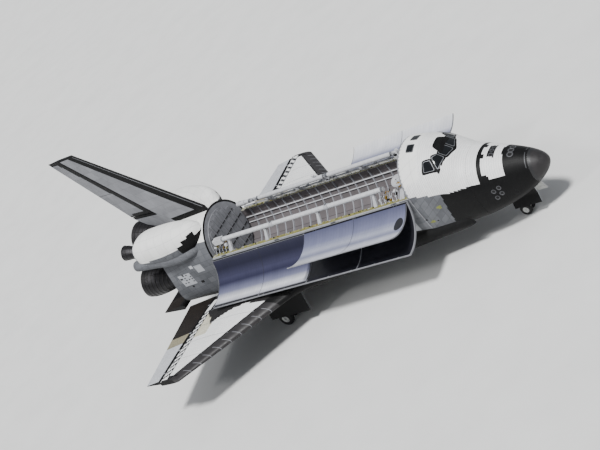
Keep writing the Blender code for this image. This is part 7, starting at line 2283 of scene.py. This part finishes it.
    def build_clutter(self) -> None:
        """Brackets, hoses and foil-wrapped boxes where the boom ends, at both ends of the starboard sill."""
        names = ("cloth_wrap", "gold_foil", "dark_metal", "machined_metal", "silver_foil", "yellow_trim")
        skin = Skin("boom_end_fittings", self.finishes(*names), 25.0)
        draw = np.random.default_rng(11)
        for first, last, count in ((9.7, 11.2, 26), (25.3, 26.8, 30)):
            for _ in range(count):
                s, y, z = draw.uniform(first, last), draw.uniform(1.75, 2.28), draw.uniform(0.34, 0.86)
                size = draw.uniform(0.03, 0.11, 3)
                finish = int(draw.choice(6, p=[0.4, 0.16, 0.14, 0.12, 0.1, 0.08]))
                if draw.uniform() < 0.45:
                    skin.block((s - size[0], -y - size[1], z - size[2]), (s + size[0], -y + size[1], z + size[2]), finish)
                else:
                    turn = np.linspace(0, draw.uniform(1.5, 4.5), 12)
                    bend = draw.uniform(0.06, 0.16)
                    path = np.stack([s + bend * np.cos(turn), -y + 0.5 * bend * np.sin(turn), z + 0.05 * turn], axis=-1)
                    skin.tube(path, draw.uniform(0.014, 0.030), finish, 8)
            for s in np.linspace(first + 0.1, last - 0.1, 5):
                skin.tube([(s, -2.44, self.top), (s + 0.05, -2.2, 0.55), (s, -1.98, 0.80)], 0.022, 3, 8)
        skin.build("airframe", slot="bare_metal")

    def build(self) -> None:
        """Builds the arm, the boom, the antenna and the small fittings round them."""
        self.build_rails()
        self.build_clutter()
        for side, label, _ in SIDES:
            self.build_crust(side, label)
        self.build_shoulder()
        self.build_limbs()
        self.build_boom()
        self.build_antenna()


def dress(finishes: Finishes, shown: dict[str, str]) -> None:
    """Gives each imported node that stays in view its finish."""
    for node, finish in shown.items():
        slots = frame["nodes"][node].data.materials
        slots.clear()
        slots.append(finishes(finish)[0])


@dataclass(frozen=True)
class Studio:
    """The floor, the lamps and the pale surroundings."""

    reach: float = 700.0
    sun_strength: float = 4.6
    sun_angle: float = math.radians(9)
    sun_from: tuple[float, float, float] = (0.30, -0.42, 0.95)
    fill_strength: float = 0.6
    sky: str = "#dfe3ea"
    sky_strength: float = 0.55

    def build(self, finishes: Finishes) -> None:
        """A flat floor under the wheels, one soft sun, a weaker one from the other side, and a pale world."""
        mesh = bpy.data.meshes.new("floor")
        r = self.reach
        mesh.from_pydata([(-r, -r, 0), (r, -r, 0), (r, r, 0), (-r, r, 0)], [], [(0, 1, 2, 3)])
        mesh.materials.append(finishes("floor")[0])
        floor = bpy.data.objects.new("floor", mesh)
        bpy.context.scene.collection.objects.link(floor)
        for name, strength, source in (
            ("key_sun", self.sun_strength, self.sun_from),
            ("fill_sun", self.fill_strength, (-self.sun_from[0], self.sun_from[1] * 2, self.sun_from[2])),
        ):
            lamp = bpy.data.lights.new(name, "SUN")
            lamp.energy, lamp.angle = strength, self.sun_angle
            obj = bpy.data.objects.new(name, lamp)
            obj.rotation_euler = Vector(source).to_track_quat("Z", "Y").to_euler()
            bpy.context.scene.collection.objects.link(obj)
        world = bpy.data.worlds.new("pale_studio")
        world.use_nodes = True
        backdrop = world.node_tree.nodes["Background"]
        backdrop.inputs["Color"].default_value = linear(self.sky)
        backdrop.inputs["Strength"].default_value = self.sky_strength
        bpy.context.scene.world = world


def add_camera() -> None:
    """Sets the camera where the photograph was taken from, with a long lens."""
    lens = bpy.data.cameras.new("camera")
    lens.lens, lens.sensor_width, lens.clip_start, lens.clip_end = 95.99, 36.0, 1.0, 2000.0
    right, up = Vector((0.67933, 0.38067, -0.62738)), Vector((0.25483, 0.67935, 0.68814))
    turn = Matrix((right, up, right.cross(up))).transposed()
    obj = bpy.data.objects.new("camera", lens)
    obj.matrix_world = Matrix.Translation((74.0226, -69.6949, 45.4514)) @ turn.to_4x4()
    bpy.context.scene.collection.objects.link(obj)
    bpy.context.scene.camera = obj


def main() -> None:
    """Builds the orbiter from nose to tail, then its gear and fittings, the stage and the camera."""
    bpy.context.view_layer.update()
    finishes, hull = Finishes(), Hull()
    parts = (
        Nose(hull, finishes),
        Cabin(hull, finishes),
        Bay(hull, finishes),
        Bulkheads(finishes),
        Door(hull, finishes),
        Aft(hull, finishes),
        Wing(finishes),
        BodyFlap(finishes),
        Fin(finishes),
        Pods(finishes),
        MainEngines(finishes),
        Gear(finishes),
        Sill(finishes),
    )
    for part in parts:
        log.info("building %s", type(part).__name__)
        part.build()
    shown = {"flight_deck": "cabin_grey", "cabin_bulkhead": "liner_cloth", "aft_bulkhead": "liner_cloth", "aft_glass": "window_pane"}
    dress(finishes, shown)
    Studio().build(finishes)
    add_camera()
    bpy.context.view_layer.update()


logging.basicConfig(level=logging.INFO, format="%(name)s %(message)s")
AIRFRAME = Airframe.from_joints(frame["joints"])

if __name__ == "__main__":
    main()
